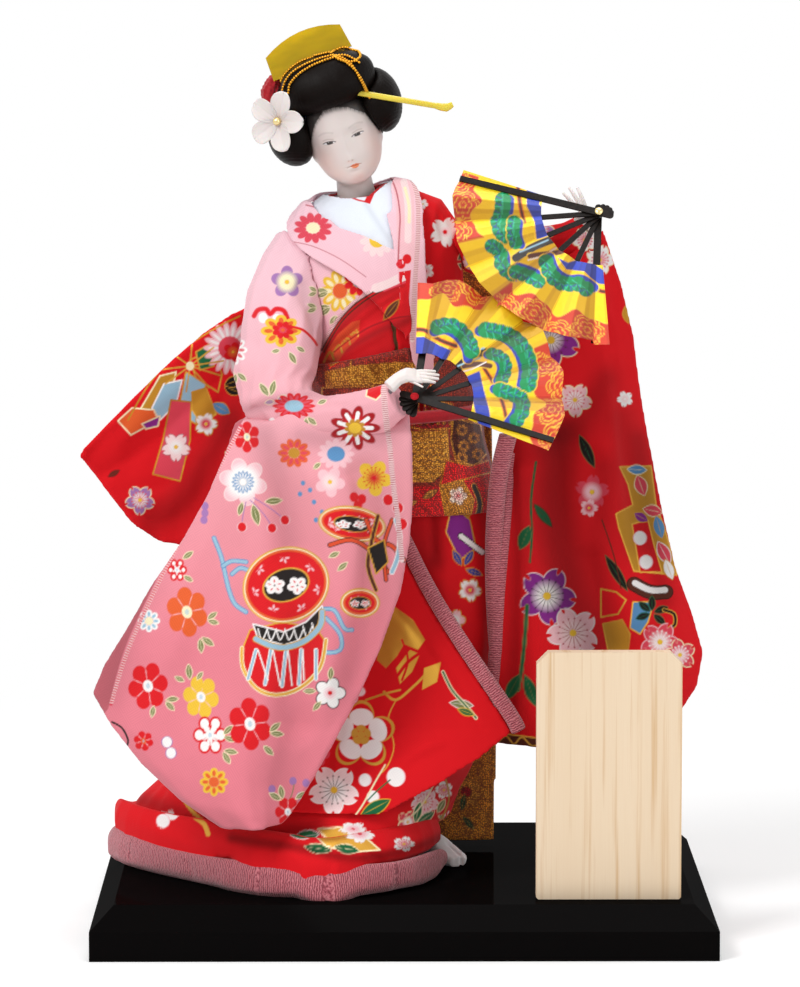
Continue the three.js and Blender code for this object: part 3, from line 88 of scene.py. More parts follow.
class Ink(Enum):
    """Dyes and threads of the prints, and the grounds of the cloths."""

    PINK = "F59FA9"
    PALE_PINK = "F9C4CB"
    SHELL_PINK = "FBDDDD"
    RED = "E0131D"
    DEEP_RED = "A80E18"
    ROSE = "E2485A"
    OLD_ROSE = "C2616C"
    ORANGE = "E8622E"
    YELLOW = "F2C43A"
    CREAM = "FBEFC4"
    WHITE = "FBF6F4"
    SNOW = "F1F7FF"
    PURPLE = "8C2C8E"
    LILAC = "A878B4"
    BLUE = "5E93C4"
    SKY = "9CC3D8"
    NAVY = "38479E"
    COBALT = "3545AC"
    LEAF = "7F8450"
    GREEN = "1E6A40"
    PINE = "0B8A4C"
    MINT = "35B58A"
    BLACK = "1A1210"
    BROWN = "5A2A1C"
    RUST = "9A2E16"
    GOLD = "D9A441"
    OCHRE = "C98F2C"
    FOIL = "F2C61A"
    VERMILION = "E4502C"
    CLOUD_RED = "CF3A22"

    def linear(self) -> Colour:
        """Gives the ink's linear colour."""
        return srgb(self.value)


def linear(colour: Ink | Colour) -> Colour:
    """Gives the linear values of an ink, or of a colour as it is."""
    return colour.linear() if isinstance(colour, Ink) else colour


# The picture's viewpoint


@dataclass(frozen=True)
class Viewpoint:
    """The place that the picture was taken from, in millimetres and radians."""

    place: Place = (-17.0, -2368.0, 478.0)
    yaw: float = -0.0066
    pitch: float = 0.1125
    focal: float = 4811.0
    width: int = 800
    height: int = 987

    def axes(self) -> tuple[np.ndarray, np.ndarray, np.ndarray]:
        """Gives the view's right, up and forward directions.

        Returns:
            Three unit vectors.
        """
        level = np.array([-math.sin(self.yaw), math.cos(self.yaw), 0.0])
        right = np.array([math.cos(self.yaw), math.sin(self.yaw), 0.0])
        down = np.array([0.0, 0.0, -1.0])
        forward = math.cos(self.pitch) * level + math.sin(self.pitch) * down
        up = math.sin(self.pitch) * level - math.cos(self.pitch) * down
        return right, up, forward

    def project(self, points: np.ndarray) -> np.ndarray:
        """Sends points in millimetres to the picture.

        Args:
            points: Rows of x, y and z.

        Returns:
            Rows of the point across and down the picture.
        """
        right, up, forward = self.axes()
        off = points - np.array(self.place)
        depth = off @ forward
        return np.stack([self.width / 2 + self.focal * (off @ right) / depth,
                         self.height / 2 - self.focal * (off @ up) / depth], axis=-1)

    def ray(self, across: float, down: float) -> tuple[Vector, Vector]:
        """Gives the ray through a point of the picture, in metres.

        Args:
            across: Points from the picture's left edge.
            down: Points from the picture's top edge.

        Returns:
            Where the ray starts and its direction.
        """
        right, up, forward = self.axes()
        way = (forward + right * (across - self.width / 2) / self.focal
               - up * (down - self.height / 2) / self.focal)
        return Vector(self.place) * MM, Vector(way).normalized()

    def spot(self, across: float, down: float, back: float) -> np.ndarray:
        """Gives the place in millimetres where a picture point's ray meets a plane of one Y."""
        start, way = self.ray(across, down)
        return (np.array(start) + np.array(way) * (back * MM - start.y) / way.y) / MM

    def camera(self) -> bpy.types.Object:
        """Makes the camera and sets it as the scene's.

        Returns:
            The camera.
        """
        data = bpy.data.cameras.new("viewpoint")
        data.sensor_fit = "AUTO"
        data.sensor_width = 36.0
        data.lens = self.focal * data.sensor_width / self.height
        data.clip_start, data.clip_end = 0.05, 20.0
        camera = bpy.data.objects.new("viewpoint", data)
        camera.location = Vector(self.place) * MM
        camera.rotation_euler = (math.pi / 2 - self.pitch, 0.0, self.yaw)
        bpy.context.scene.collection.objects.link(camera)
        bpy.context.scene.camera = camera
        return camera


VIEW = Viewpoint()


# Distances to drawn shapes, in the unit of the points given: below zero inside a shape.


def turned(q: np.ndarray, at: Point, turn: float) -> tuple[np.ndarray, np.ndarray]:
    """Gives points along and across a way that turns anticlockwise in the picture, from a place.

    Args:
        q: Places of the points, as rows.
        at: Where it starts.
        turn: Degrees of the turn.

    Returns:
        How far each point lies along the way and across it.
    """
    c, s = math.cos(math.radians(turn)), math.sin(math.radians(turn))
    x, y = q[:, 0] - at[0], q[:, 1] - at[1]
    return x * c - y * s, x * s + y * c


def oval(q: np.ndarray, at: Point, wide: float, high: float, turn: float = 0.0) -> np.ndarray:
    """Distance to an oval.

    Args:
        q: Points as rows.
        at: Middle of the oval.
        wide: Half its width.
        high: Half its height.
        turn: Degrees that it turns, anticlockwise in the picture.

    Returns:
        One distance for each point.
    """
    along, across = turned(q, at, turn)
    return (np.hypot(along / wide, across / high) - 1) * min(wide, high)


def stroke(q: np.ndarray, line: Path, half: float) -> np.ndarray:
    """Distance to a line of some width.

    Args:
        q: Points as rows.
        line: Corners of the line.
        half: Half its width.

    Returns:
        One distance for each point.
    """
    best = np.full(len(q), FAR)
    for (ax, ay), (bx, by) in zip(line, line[1:]):
        dx, dy = bx - ax, by - ay
        share = np.clip(((q[:, 0] - ax) * dx + (q[:, 1] - ay) * dy) / (dx * dx + dy * dy + TINY), 0, 1)
        best = np.minimum(best, np.hypot(q[:, 0] - ax - share * dx, q[:, 1] - ay - share * dy))
    return best - half


def patch(q: np.ndarray, outline: Path) -> np.ndarray:
    """Distance to a filled outline.

    Args:
        q: Points as rows.
        outline: Corners of the outline.

    Returns:
        One distance for each point.
    """
    closed = [*outline, outline[0]]
    edge = stroke(q, closed, 0.0)
    inside = np.zeros(len(q), bool)
    for (ax, ay), (bx, by) in zip(closed, closed[1:]):
        crosses = (ay > q[:, 1]) != (by > q[:, 1])
        inside ^= crosses & (q[:, 0] < (bx - ax) * (q[:, 1] - ay) / ((by - ay) or TINY) + ax)
    return np.where(inside, -edge, edge)


def petal_ring(q: np.ndarray, at: Point, count: int, reach: float, long: float, wide: float,
               turn: float = 0.0, squash: float = 1.0) -> np.ndarray:
    """Distance to oval petals set in a ring.

    Args:
        q: Points as rows.
        at: Middle of the flower.
        count: Number of petals.
        reach: Distance from the middle to the middle of a petal.
        long: Half a petal's length.
        wide: Half a petal's width.
        turn: Degrees that the flower turns.
        squash: Height of the flower as a share of its width.

    Returns:
        One distance for each point.
    """
    x, y = q[:, 0] - at[0], (q[:, 1] - at[1]) / squash
    step = 2 * math.pi / count
    angle = (np.arctan2(y, x) - math.radians(turn) + step / 2) % step - step / 2
    far = np.hypot(x, y)
    along, across = far * np.cos(angle) - reach, far * np.sin(angle)
    return (np.hypot(along / long, across / wide) - 1) * min(long, wide)


def leaf_shape(q: np.ndarray, at: Point, long: float, wide: float, turn: float) -> np.ndarray:
    """Distance to a leaf with two pointed ends.

    Args:
        q: Points as rows.
        at: Middle of the leaf.
        long: Half its length.
        wide: Half its width.
        turn: Degrees that it turns.

    Returns:
        One distance for each point.
    """
    along, across = turned(q, at, turn)
    return np.abs(across) - wide * (1 - (along / long) ** 2)


def smooth_line(path: Path, steps: int = 4) -> list[Point]:
    """Rounds a line of points with a curve through them.

    Args:
        path: Points to pass through.
        steps: Pieces between two points.

    Returns:
        The points of the rounded line.
    """
    if len(path) < 3:
        return list(path)
    rows = np.array([path[0], *path, path[-1]], float)
    out = []
    for k in range(1, len(rows) - 2):
        a, b, c, d = rows[k - 1:k + 3]
        for t in np.linspace(0, 1, steps, endpoint=False):
            out.append(tuple(0.5 * (2 * b + (c - a) * t + (2 * a - 5 * b + 4 * c - d) * t * t
                                    + (3 * b - a - 3 * c + d) * t ** 3)))
    return out + [tuple(rows[-2])]


class Sheet:
    """A cloth's printed side: its points in the picture and the colour that lies on each, print with
    painted light and shade where given.
    """

    def __init__(self, points: np.ndarray, facing: np.ndarray, ground: Ink | Colour,
                 painted_light: Sequence[tuple[float, str]] = ()) -> None:
        """Starts with the ground.

        Args:
            points: Points in millimetres.
            facing: How squarely each point faces the viewpoint or turns its back to it.
            ground: Colour of the ground.
            painted_light: Heights in the picture and colours of a ground that goes from one to the next:
                painted light, paler higher up.
        """
        self.spots = VIEW.project(points)
        self.facing = facing
        self.dye = np.tile(np.array([*linear(ground), 0.0]), (len(points), 1))
        # Painted light: the ground is paler higher up and deeper lower down.
        if painted_light:
            colours = np.array([srgb(code) for _, code in painted_light])
            for k in range(3):
                self.dye[:, k] = np.interp(self.spots[:, 1], [at for at, _ in painted_light], colours[:, k])

    def near(self, at: Point, reach: float, around: bool = False) -> np.ndarray:
        """Finds the points that take print near a spot.

        Args:
            at: The spot.
            reach: How far from it they may lie, across or down.
            around: Whether points that are seen edge-on take print too.

        Returns:
            The points' indices.
        """
        close = np.abs(self.spots - np.array(at)).max(axis=1) < reach
        return np.flatnonzero(close & ((self.facing > EDGE_ON) | around))

    def beside(self, path: Path, margin: float, around: bool = False) -> np.ndarray:
        """Finds the points that take print within a margin of a line, as near does."""
        middle = np.array(path).mean(axis=0)
        return self.near(tuple(middle), np.abs(np.array(path) - middle).max() + margin, around)

    def blend(self, rows: np.ndarray, share: np.ndarray, colour: Ink | Colour, gold: float = 0.0) -> None:
        """Mixes a share of dye into that of some points.

        Args:
            rows: Indices of the points.
            share: Share for each of them.
            colour: An ink or a linear colour.
            gold: 1 for metal thread or foil, 0 for dye.
        """
        share = share[:, None]
        self.dye[rows] = self.dye[rows] * (1 - share) + np.array([*linear(colour), gold]) * share

    def lay(self, rows: np.ndarray, distance: np.ndarray, colour: Ink | Colour, gold: float = 0.0,
            soft: float = SOFT_EDGE, strength: float = 1.0) -> None:
        """Lays dye where a distance is below zero.

        Args:
            rows: Indices of the points that the distances are for.
            distance: Distances to the shape, in picture points.
            colour: An ink or a linear colour.
            gold: 1 for metal thread or foil, 0 for dye.
            soft: Width of the edge, in picture points.
            strength: Share of the dye that takes.
        """
        self.blend(rows, np.clip(0.5 - distance / soft, 0, 1) * strength, colour, gold)


# Printed figures, and painted shade in folds. Places and sizes are in picture points.


class Motif:
    """Something printed on a cloth, or shade painted on it."""

    def draw(self, sheet: Sheet) -> None:
        """Prints it on a sheet."""
        raise NotImplementedError


@dataclass(frozen=True)
class Figure(Motif):
    """A printed figure at a place in the picture."""

    x: float
    y: float
    size: float

    @property
    def at(self) -> Point:
        """Gives the figure's place."""
        return self.x, self.y

    def draw(self, sheet: Sheet) -> None:
        """Prints the figure on the points near it.

        Args:
            sheet: The sheet to print on.
        """
        rows = sheet.near(self.at, self.size * 1.7 + 3)
        if len(rows):
            self.print_on(sheet, rows, sheet.spots[rows])

    def print_on(self, sheet: Sheet, rows: np.ndarray, q: np.ndarray) -> None:
        """Prints the figure on given points."""
        raise NotImplementedError


@dataclass(frozen=True)
class Daisy(Figure):
    """A flower of narrow, separate petals round an oval middle."""

    turn: float
    petals: int
    colour: Ink
    heart: Ink
    tip: Ink | None = None
    squash: float = 1.0
    heart_share: float = 0.36

    def print_on(self, sheet: Sheet, rows: np.ndarray, q: np.ndarray) -> None:
        """Prints petals, their light tips and the middle.

        Args:
            sheet: The sheet to print on.
            rows: Indices of the points.
            q: Places of the points, as rows.
        """
        r, width, pose = self.size, 2.3 * self.size / self.petals, (self.turn, self.squash)
        sheet.lay(rows, petal_ring(q, self.at, self.petals, r * 0.68, r * 0.34, width, *pose), self.colour)
        if self.tip:
            tips = petal_ring(q, self.at, self.petals, r * 0.62, r * 0.22, width * 0.45, *pose)
            sheet.lay(rows, tips, self.tip)
        middle = r * self.heart_share
        sheet.lay(rows, oval(q, self.at, middle, middle * self.squash), self.heart)


@dataclass(frozen=True)
class Plum(Figure):
    """A blossom of round petals with a rim, a lighter inside and stamens."""

    turn: float
    colour: Ink
    inside: Ink
    rim: Ink | None = None
    stamens: Ink | None = None
    heart: Ink = Ink.YELLOW
    notch: float = 1.0
    fade: float = 0.45
    petals: int = 5
    squash: float = 1.0

    def outline(self, q: np.ndarray, grow: float = 0.0) -> np.ndarray:
        """Distance to the blossom's outline.

        Args:
            q: Places of the points, as rows.
            grow: How far the outline lies outside the petals.

        Returns:
            One distance for each point.
        """
        r, pose = self.size, (self.turn, self.squash)
        width = 0.64 * r * math.sin(math.pi / self.petals)
        body = petal_ring(q, self.at, self.petals, r * 0.57, r * 0.45 + grow, width + grow, *pose)
        if self.notch:
            cut = petal_ring(q, self.at, self.petals, r * 1.04, r * 0.18 * self.notch, r * 0.08, *pose)
            body = np.maximum(body, -cut)
        return body

    def print_on(self, sheet: Sheet, rows: np.ndarray, q: np.ndarray) -> None:
        """Prints the rim, the petals with their fading colour, the stamens and the middle.

        Args:
            sheet: The sheet to print on.
            rows: Indices of the points.
            q: Places of the points, as rows.
        """
        r = self.size
        if self.rim:
            sheet.lay(rows, self.outline(q, 1.0), self.rim)
        body = self.outline(q)
        sheet.lay(rows, body, self.colour)
        far = np.hypot(q[:, 0] - self.x, (q[:, 1] - self.y) / self.squash) / r
        glow = np.clip((self.fade + 0.2 - far) / 0.35, 0, 1)
        sheet.blend(rows, np.clip(0.5 - body / SOFT_EDGE, 0, 1) * glow, self.inside)
        if self.stamens:
            count, pose = self.petals * 3, (self.turn + 6, self.squash)
            threads = petal_ring(q, self.at, count, r * 0.3, r * 0.26, 0.45, *pose)
            knobs = petal_ring(q, self.at, count, r * 0.58, 0.9, 0.9, *pose)
            sheet.lay(rows, threads, self.stamens, soft=0.7, strength=0.75)
            sheet.lay(rows, knobs, self.stamens, strength=0.8)
        sheet.lay(rows, oval(q, self.at, r * 0.14, r * 0.14 * self.squash), self.heart)


@dataclass(frozen=True)
class Camellia(Figure):
    """A full blossom of crowded petals, taller than wide, with a pale middle."""

    turn: float
    colour: Ink
    inside: Ink = Ink.WHITE
    outlined: bool = False
    squash: float = 1.2

    def print_on(self, sheet: Sheet, rows: np.ndarray, q: np.ndarray) -> None:
        """Prints the crowded petals, the veins between them and the middle.

        Args:
            sheet: The sheet to print on.
            rows: Indices of the points.
            q: Places of the points, as rows.
        """
        at, r = self.at, self.size
        outer = petal_ring(q, at, 6, r * 0.64, r * 0.36, r * 0.36, self.turn, self.squash)
        inner = petal_ring(q, at, 5, r * 0.34, r * 0.34, r * 0.27, self.turn + 20, self.squash)
        body = np.minimum(outer, inner)
        sheet.lay(rows, body, self.colour)
        if self.outlined:
            sheet.lay(rows, body + 1.9, Ink.WHITE)
        veins = petal_ring(q, at, 6, r * 0.6, r * 0.3, 0.5, self.turn + 30, self.squash)
        tint = self.colour if self.outlined else Ink.PALE_PINK
        sheet.lay(rows, np.maximum(veins, body + 0.6), tint, soft=THIN_EDGE, strength=0.75)
        sheet.lay(rows, oval(q, at, r * 0.24, r * 0.3, 15), self.inside)
        sheet.lay(rows, oval(q, at, r * 0.1, r * 0.14), Ink.SKY, strength=0.6)


@dataclass(frozen=True)
class Leaves(Figure):
    """One or more pointed leaves that spread from a place."""

    turns: tuple[float, ...]
    colour: Ink = Ink.LEAF
    rim: Ink = Ink.CREAM
    slim: float = 0.3

    def print_on(self, sheet: Sheet, rows: np.ndarray, q: np.ndarray) -> None:
        """Prints each leaf with its light rim and its vein.

        Args:
            sheet: The sheet to print on.
            rows: Indices of the points.
            q: Places of the points, as rows.
        """
        half = self.size / 2
        for turn in self.turns:
            way, far = math.radians(turn), half * 1.3
            at = (self.x + far * math.cos(way), self.y - far * math.sin(way))
            shape = leaf_shape(q, at, half, self.size * self.slim / 2 + 0.8, turn)
            sheet.lay(rows, shape - 0.5, self.rim, soft=THIN_EDGE, strength=0.8)
            sheet.lay(rows, shape + 0.5, self.colour, soft=THIN_EDGE)
            vein = leaf_shape(q, at, half * 0.8, 0.4, turn)
            sheet.lay(rows, vein, self.rim, soft=THIN_EDGE, strength=0.6)


@dataclass(frozen=True)
class Drum(Figure):
    """A hand drum seen from above one skin: a gold ring, a red skin, blossoms and a dark middle."""

    turn: float
    high: float

    def print_on(self, sheet: Sheet, rows: np.ndarray, q: np.ndarray) -> None:
        """Prints the rings from the outside inwards.

        Args:
            sheet: The sheet to print on.
            rows: Indices of the points.
            q: Places of the points, as rows.
        """
        at, wide, high, turn = self.at, self.size, self.high, self.turn
        for inset, colour, gold in ((0.0, Ink.GOLD, 0.8), (1.6, Ink.CREAM, 0.0), (2.8, Ink.ORANGE, 0.0),
                                    (5.2, Ink.RED, 0.0)):
            sheet.lay(rows, oval(q, at, wide - inset, high - inset, turn), colour, gold)
        for k in range(7):
            way = math.radians(turn + 24 + k * 51.4)
            spot = (self.x + (wide - 11) * math.cos(way), self.y - (high - 11) * math.sin(way))
            buds = petal_ring(q, spot, 5, 3.2, 2.1, 1.1, 90 - math.degrees(way))
            half = (q[:, 0] - spot[0]) * math.cos(way) - (q[:, 1] - spot[1]) * math.sin(way) - 0.8
            sheet.lay(rows, np.maximum(buds, half), Ink.PALE_PINK)
        sheet.lay(rows, oval(q, at, wide * 0.55, high * 0.44, turn), Ink.GOLD, 0.8)
        sheet.lay(rows, oval(q, at, wide * 0.51, high * 0.4, turn), Ink.BLACK)
        inside = oval(q, at, wide * 0.5, high * 0.39, turn)
        for side in (-1, 1):
            spot, pose = (self.x + side * wide * 0.26, self.y + 0.5), (20 * side, high / wide)
            bloom = petal_ring(q, spot, 5, wide * 0.13, wide * 0.11, wide * 0.1, *pose)
            sheet.lay(rows, np.maximum(bloom, inside), Ink.WHITE)
            sheet.lay(rows, petal_ring(q, spot, 5, wide * 0.12, 1.6, 0.7, *pose), Ink.RED)


@dataclass(frozen=True)
class Dots(Motif):
    """Round berries or buds at given places."""

    spots: Path
    size: float
    colour: Ink
    rim: Ink | None = None

    def draw(self, sheet: Sheet) -> None:
        """Prints the dots.

        Args:
            sheet: The sheet to print on.
        """
        for at in self.spots:
            rows = sheet.near(at, self.size * 2 + 3)
            q = sheet.spots[rows]
            if self.rim:
                sheet.lay(rows, oval(q, at, self.size + 1, self.size + 1), self.rim)
            sheet.lay(rows, oval(q, at, self.size, self.size * 1.12), self.colour)


@dataclass(frozen=True)
class Line(Motif):
    """A cord, stem or outline along given points, rounded at its corners."""

    path: Path
    width: float
    colour: Ink
    rim: Ink | None = None
    gold: float = 0.0
    around: bool = False

    def draw(self, sheet: Sheet) -> None:
        """Prints the rim and the line on it.

        Args:
            sheet: The sheet to print on.
        """
        rows = sheet.beside(self.path, self.width * 2 + 3, self.around)
        if not len(rows):
            return
        distance = stroke(sheet.spots[rows], smooth_line(self.path), self.width / 2)
        if self.rim:
            sheet.lay(rows, distance - 0.9, self.rim, soft=THIN_EDGE)
        sheet.lay(rows, distance, self.colour, self.gold, THIN_EDGE)


@dataclass(frozen=True)
class Stitches(Motif):
    """A border of short stitches across a line."""

    path: Path
    length: float
    pitch: float
    colour: Ink = Ink.OLD_ROSE
    ground: Ink = Ink.SHELL_PINK

    def draw(self, sheet: Sheet) -> None:
        """Prints the border's ground and the stitches on it.

        Args:
            sheet: The sheet to print on.
        """
        Line(self.path, self.length, self.ground, around=True).draw(sheet)
        line = np.array(smooth_line(self.path, 6))
        steps = np.hypot(*np.diff(line, axis=0).T)
        gone = np.concatenate([[0.0], np.cumsum(steps)])
        for at in np.arange(self.pitch / 2, gone[-1], self.pitch):
            k = min(int(np.searchsorted(gone, at)), len(line) - 1)
            way = (line[k] - line[k - 1]) / max(steps[k - 1], 1e-6)
            spot = line[k - 1] + way * (at - gone[k - 1])
            off = np.array([-way[1], way[0]]) * self.length * 0.42
            ends = (tuple(spot - off), tuple(spot + off))
            Line(ends, self.pitch * 0.42, self.colour, around=True).draw(sheet)


@dataclass(frozen=True)
class Field(Motif):
    """A filled outline."""

    outline: Path
    colour: Ink
    rim: Ink | None = None
    gold: float = 0.0
    gold_rim: float = 1.0
    around: bool = False

    def draw(self, sheet: Sheet) -> None:
        """Prints the rim and the filling.

        Args:
            sheet: The sheet to print on.
        """
        rows = sheet.beside(self.outline, 5, self.around)
        if not len(rows):
            return
        distance = patch(sheet.spots[rows], self.outline)
        if self.rim:
            sheet.lay(rows, distance - 0.8, self.rim, self.gold_rim, THIN_EDGE)
            distance = distance + 0.7
        sheet.lay(rows, distance, self.colour, self.gold, THIN_EDGE)


@dataclass(frozen=True)
class Shade(Motif):
    """Painted shade in the hollow of a fold, to a reach in points and a strength in hundredths."""

    path: Path
    reach: float
    percent: float

    def draw(self, sheet: Sheet) -> None:
        """Darkens the colour on both sides of the line: painted shade.

        Args:
            sheet: The sheet to print on.
        """
        rows = sheet.beside(self.path, self.reach * 1.6, True)
        far = stroke(sheet.spots[rows], smooth_line(self.path), 0.0) / self.reach
        # Painted shade: the colour is darkened most on the line and less further off.
        sheet.dye[rows, :3] *= (1 - self.percent / 100 * np.exp(-far * far))[:, None]


@dataclass(frozen=True)
class Pine(Motif):
    """A pine's cloud of needles: green lobes along a line, blue under them, with light needles."""

    path: Path
    size: float
    turn: float

    def draw(self, sheet: Sheet) -> None:
        """Prints the lobes, the blue that shows inside them and the needles.

        Args:
            sheet: The sheet to print on.
        """
        rows = sheet.beside(self.path, self.size + 3)
        if not len(rows):
            return
        lobes, q = smooth_line(self.path, 5), sheet.spots[rows]
        r, way = self.size, math.radians(self.turn)
        off = np.array([math.cos(way), -math.sin(way)]) * r * 0.75
        green = np.minimum.reduce([oval(q, at, r, r) for at in lobes[::3]])
        blue = stroke(q, [tuple(np.array(at) + off) for at in lobes], r * 0.62)
        sheet.lay(rows, np.minimum(green, blue) - 1.1, Ink.YELLOW, 0.3)
        sheet.lay(rows, blue, Ink.COBALT)
        sheet.lay(rows, green, Ink.PINE)
        for x, y in lobes[::3]:
            for k in range(7):
                turn = way + math.pi + 0.5 * (k - 3)
                ends = [(x + far * math.cos(turn), y - far * math.sin(turn)) for far in (0.2 * r, 0.92 * r)]
                sheet.lay(rows, stroke(q, ends, 0.5), (Ink.MINT, Ink.GREEN, Ink.NAVY)[k % 3])


# Mesh work


def link(obj: bpy.types.Object) -> bpy.types.Object:
    """Puts an object into the scene."""
    bpy.context.scene.collection.objects.link(obj)
    return obj


def new_object(name: str, bm: bmesh.types.BMesh, smooth: bool = True) -> bpy.types.Object:
    """Makes an object of a bmesh and frees it.

    Args:
        name: Name of the object and its mesh.
        bm: The shape, in metres.
        smooth: Whether its faces are shaded smooth.

    Returns:
        The new object.
    """
    mesh = bpy.data.meshes.new(name)
    bm.to_mesh(mesh)
    bm.free()
    mesh.polygons.foreach_set("use_smooth", [smooth] * len(mesh.polygons))
    return link(bpy.data.objects.new(name, mesh))


def points_of(mesh: bpy.types.Mesh) -> np.ndarray:
    """Gives a mesh's points in millimetres, as rows.

    Args:
        mesh: The mesh.

    Returns:
        Rows of x, y and z.
    """
    flat = np.empty(len(mesh.vertices) * 3)
    mesh.vertices.foreach_get("co", flat)
    return flat.reshape(-1, 3) / MM


def place_points(mesh: bpy.types.Mesh, points: np.ndarray) -> None:
    """Moves a mesh's points to rows given in millimetres."""
    mesh.vertices.foreach_set("co", (points * MM).ravel())
    mesh.update()


def normals_of(mesh: bpy.types.Mesh) -> np.ndarray:
    """Gives the outward direction at each of a mesh's points.

    Args:
        mesh: The mesh.

    Returns:
        Rows of unit vectors.
    """
    flat = np.empty(len(mesh.vertices) * 3)
    mesh.vertex_normals.foreach_get("vector", flat)
    return flat.reshape(-1, 3)


def relax(mesh: bpy.types.Mesh, rounds: int, back: float = TAKE_BACK) -> None:
    """Smooths the facets out of a mesh and keeps its size.

    Args:
        mesh: The mesh, of even small faces.
        rounds: How often it is smoothed.
        back: How much of each step is taken back outwards, 0 for none.
    """
    points = points_of(mesh)
    a, b = edges_of(mesh)
    count = len(points)
    shared = np.maximum(np.bincount(a, minlength=count) + np.bincount(b, minlength=count), 1)
    for _ in range(rounds):
        for share in (0.5, -back):
            mean = np.stack([np.bincount(a, points[b, k], count) + np.bincount(b, points[a, k], count)
                             for k in range(3)], axis=-1) / shared[:, None]
            points += share * (mean - points)
    place_points(mesh, points)


def form_of(node: str, label: str, voxel: float, rounds: int, back: float = TAKE_BACK,
            slack: float = 0.0) -> bpy.types.Object:
    """Makes a fine, even and smooth mesh of a CAD node's form.

    Args:
        node: The CAD node.
        label: Name of the new object.
        voxel: Size of its faces, in millimetres.
        rounds: How often it is smoothed.
        back: How much of each smoothing step is taken back.
        slack: How much thicker a thin edge is made, so that the even faces close round it.

    Returns:
        The new object, at the origin.
    """
    bm = bmesh.new()
    bm.from_mesh(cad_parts[node].data)
    bmesh.ops.remove_doubles(bm, verts=bm.verts, dist=MERGE * MM)
    bmesh.ops.recalc_face_normals(bm, faces=bm.faces)
    bm.normal_update()
    for vert, normal in [(vert, vert.normal.copy()) for vert in bm.verts]:
        vert.co += normal * slack * MM
    obj = new_object(label, bm)
    remesh = obj.modifiers.new("even faces", "REMESH")
    remesh.mode = "VOXEL"
    remesh.voxel_size = voxel * MM
    remesh.use_smooth_shade = True
    settle(obj)
    relax(obj.data, rounds, back)
    return obj


def settle(obj: bpy.types.Object) -> None:
    """Applies an object's modifiers to its mesh.

    Args:
        obj: The object.
    """
    graph = bpy.context.evaluated_depsgraph_get()
    mesh = bpy.data.meshes.new_from_object(obj.evaluated_get(graph))
    mesh.name = obj.name
    obj.modifiers.clear()
    obj.data = mesh


def edges_of(mesh: bpy.types.Mesh) -> tuple[np.ndarray, np.ndarray]:
    """Gives the first and the second point of each of a mesh's edges.

    Args:
        mesh: The mesh.

    Returns:
        The indices of the first and of the second points.
    """
    ends = np.empty(len(mesh.edges) * 2, np.int32)
    mesh.edges.foreach_get("vertices", ends)
    return ends[0::2], ends[1::2]


def refine(obj: bpy.types.Object, chosen: np.ndarray, cuts: int = 1) -> None:
    """Splits the faces of a mesh between chosen points.

    Args:
        obj: The object.
        chosen: Says for each point whether finer faces go there.
        cuts: Cuts across each edge.
    """
    bm = bmesh.new()
    bm.from_mesh(obj.data)
    bm.verts.ensure_lookup_table()
    edges = [e for e in bm.edges if chosen[e.verts[0].index] and chosen[e.verts[1].index]]
    bmesh.ops.subdivide_edges(bm, edges=edges, cuts=cuts, use_grid_fill=True, smooth=0.0)
    bm.to_mesh(obj.data)
    bm.free()
    obj.data.polygons.foreach_set("use_smooth", [True] * len(obj.data.polygons))


def write_number(mesh: bpy.types.Mesh, name: str, values: np.ndarray) -> None:
    """Stores a number at each point of a mesh under a name."""
    layer = mesh.attributes.new(name, "FLOAT", "POINT")
    layer.data.foreach_set("value", values.astype(np.float32))


def write_colour(mesh: bpy.types.Mesh, name: str, values: np.ndarray) -> None:
    """Stores a colour with its alpha at each point of a mesh under a name."""
    layer = mesh.attributes.new(name, "FLOAT_COLOR", "POINT")
    layer.data.foreach_set("color", values.astype(np.float32).ravel())


@dataclass(frozen=True)
class Fold:
    """A crease or ridge that runs along points of the picture, on the side that faces it."""

    path: Path
    width: float
    depth: float

    def push(self, spots: np.ndarray, facing: np.ndarray) -> np.ndarray:
        """Gives how far each point moves inwards, in millimetres.

        Args:
            spots: The points' places in the picture.
            facing: How squarely each point faces the viewer.

        Returns:
            One depth for each point.
        """
        line = smooth_line(self.path)
        far = stroke(spots, line, 0.0) * POINT
        ends = np.minimum(*(np.hypot(*(spots - np.array(end)).T) * POINT for end in (line[0], line[-1])))
        taper = np.clip(ends / (2.2 * self.width), 0, 1)
        deep = self.depth * np.exp(-(far / self.width) ** 2) * (0.25 + 0.75 * taper)
        return deep * np.clip(facing * 1.6, 0, 1)


def crease(mesh: bpy.types.Mesh, folds: Sequence[Fold]) -> None:
    """Presses folds into a mesh along its own outward directions.

    Args:
        mesh: The mesh.
        folds: The folds to press.
    """
    if not folds:
        return
    points, normals = points_of(mesh), normals_of(mesh)
    forward = VIEW.axes()[2]
    spots, facing = VIEW.project(points), -(normals @ forward)
    total = sum(fold.push(spots, facing) for fold in folds)
    place_points(mesh, points - normals * total[:, None])


@dataclass(frozen=True)
class Pull:
    """A soft move of the cloth beside a line of the picture: right, down and away, in picture points."""

    path: Path
    reach: float
    move: Place

    def shift(self, spots: np.ndarray) -> np.ndarray:
        """Gives the move of each point, in millimetres.

        Args:
            spots: The points' places in the picture.

        Returns:
            One move for each point, as rows.
        """
        right, up, forward = VIEW.axes()
        near = np.clip(1 - stroke(spots, smooth_line(self.path), 0.0) / self.reach, 0, 1)
        share = near * near * (3 - 2 * near)
        way = self.move[0] * right - self.move[1] * up + self.move[2] * forward
        return share[:, None] * way[None, :] * POINT


def pull(mesh: bpy.types.Mesh, pulls: Sequence[Pull]) -> None:
    """Moves the cloth beside lines of the picture.

    Args:
        mesh: The mesh.
        pulls: The moves to make.
    """
    if pulls:
        points = points_of(mesh)
        spots = VIEW.project(points)
        place_points(mesh, points + sum(one.shift(spots) for one in pulls))


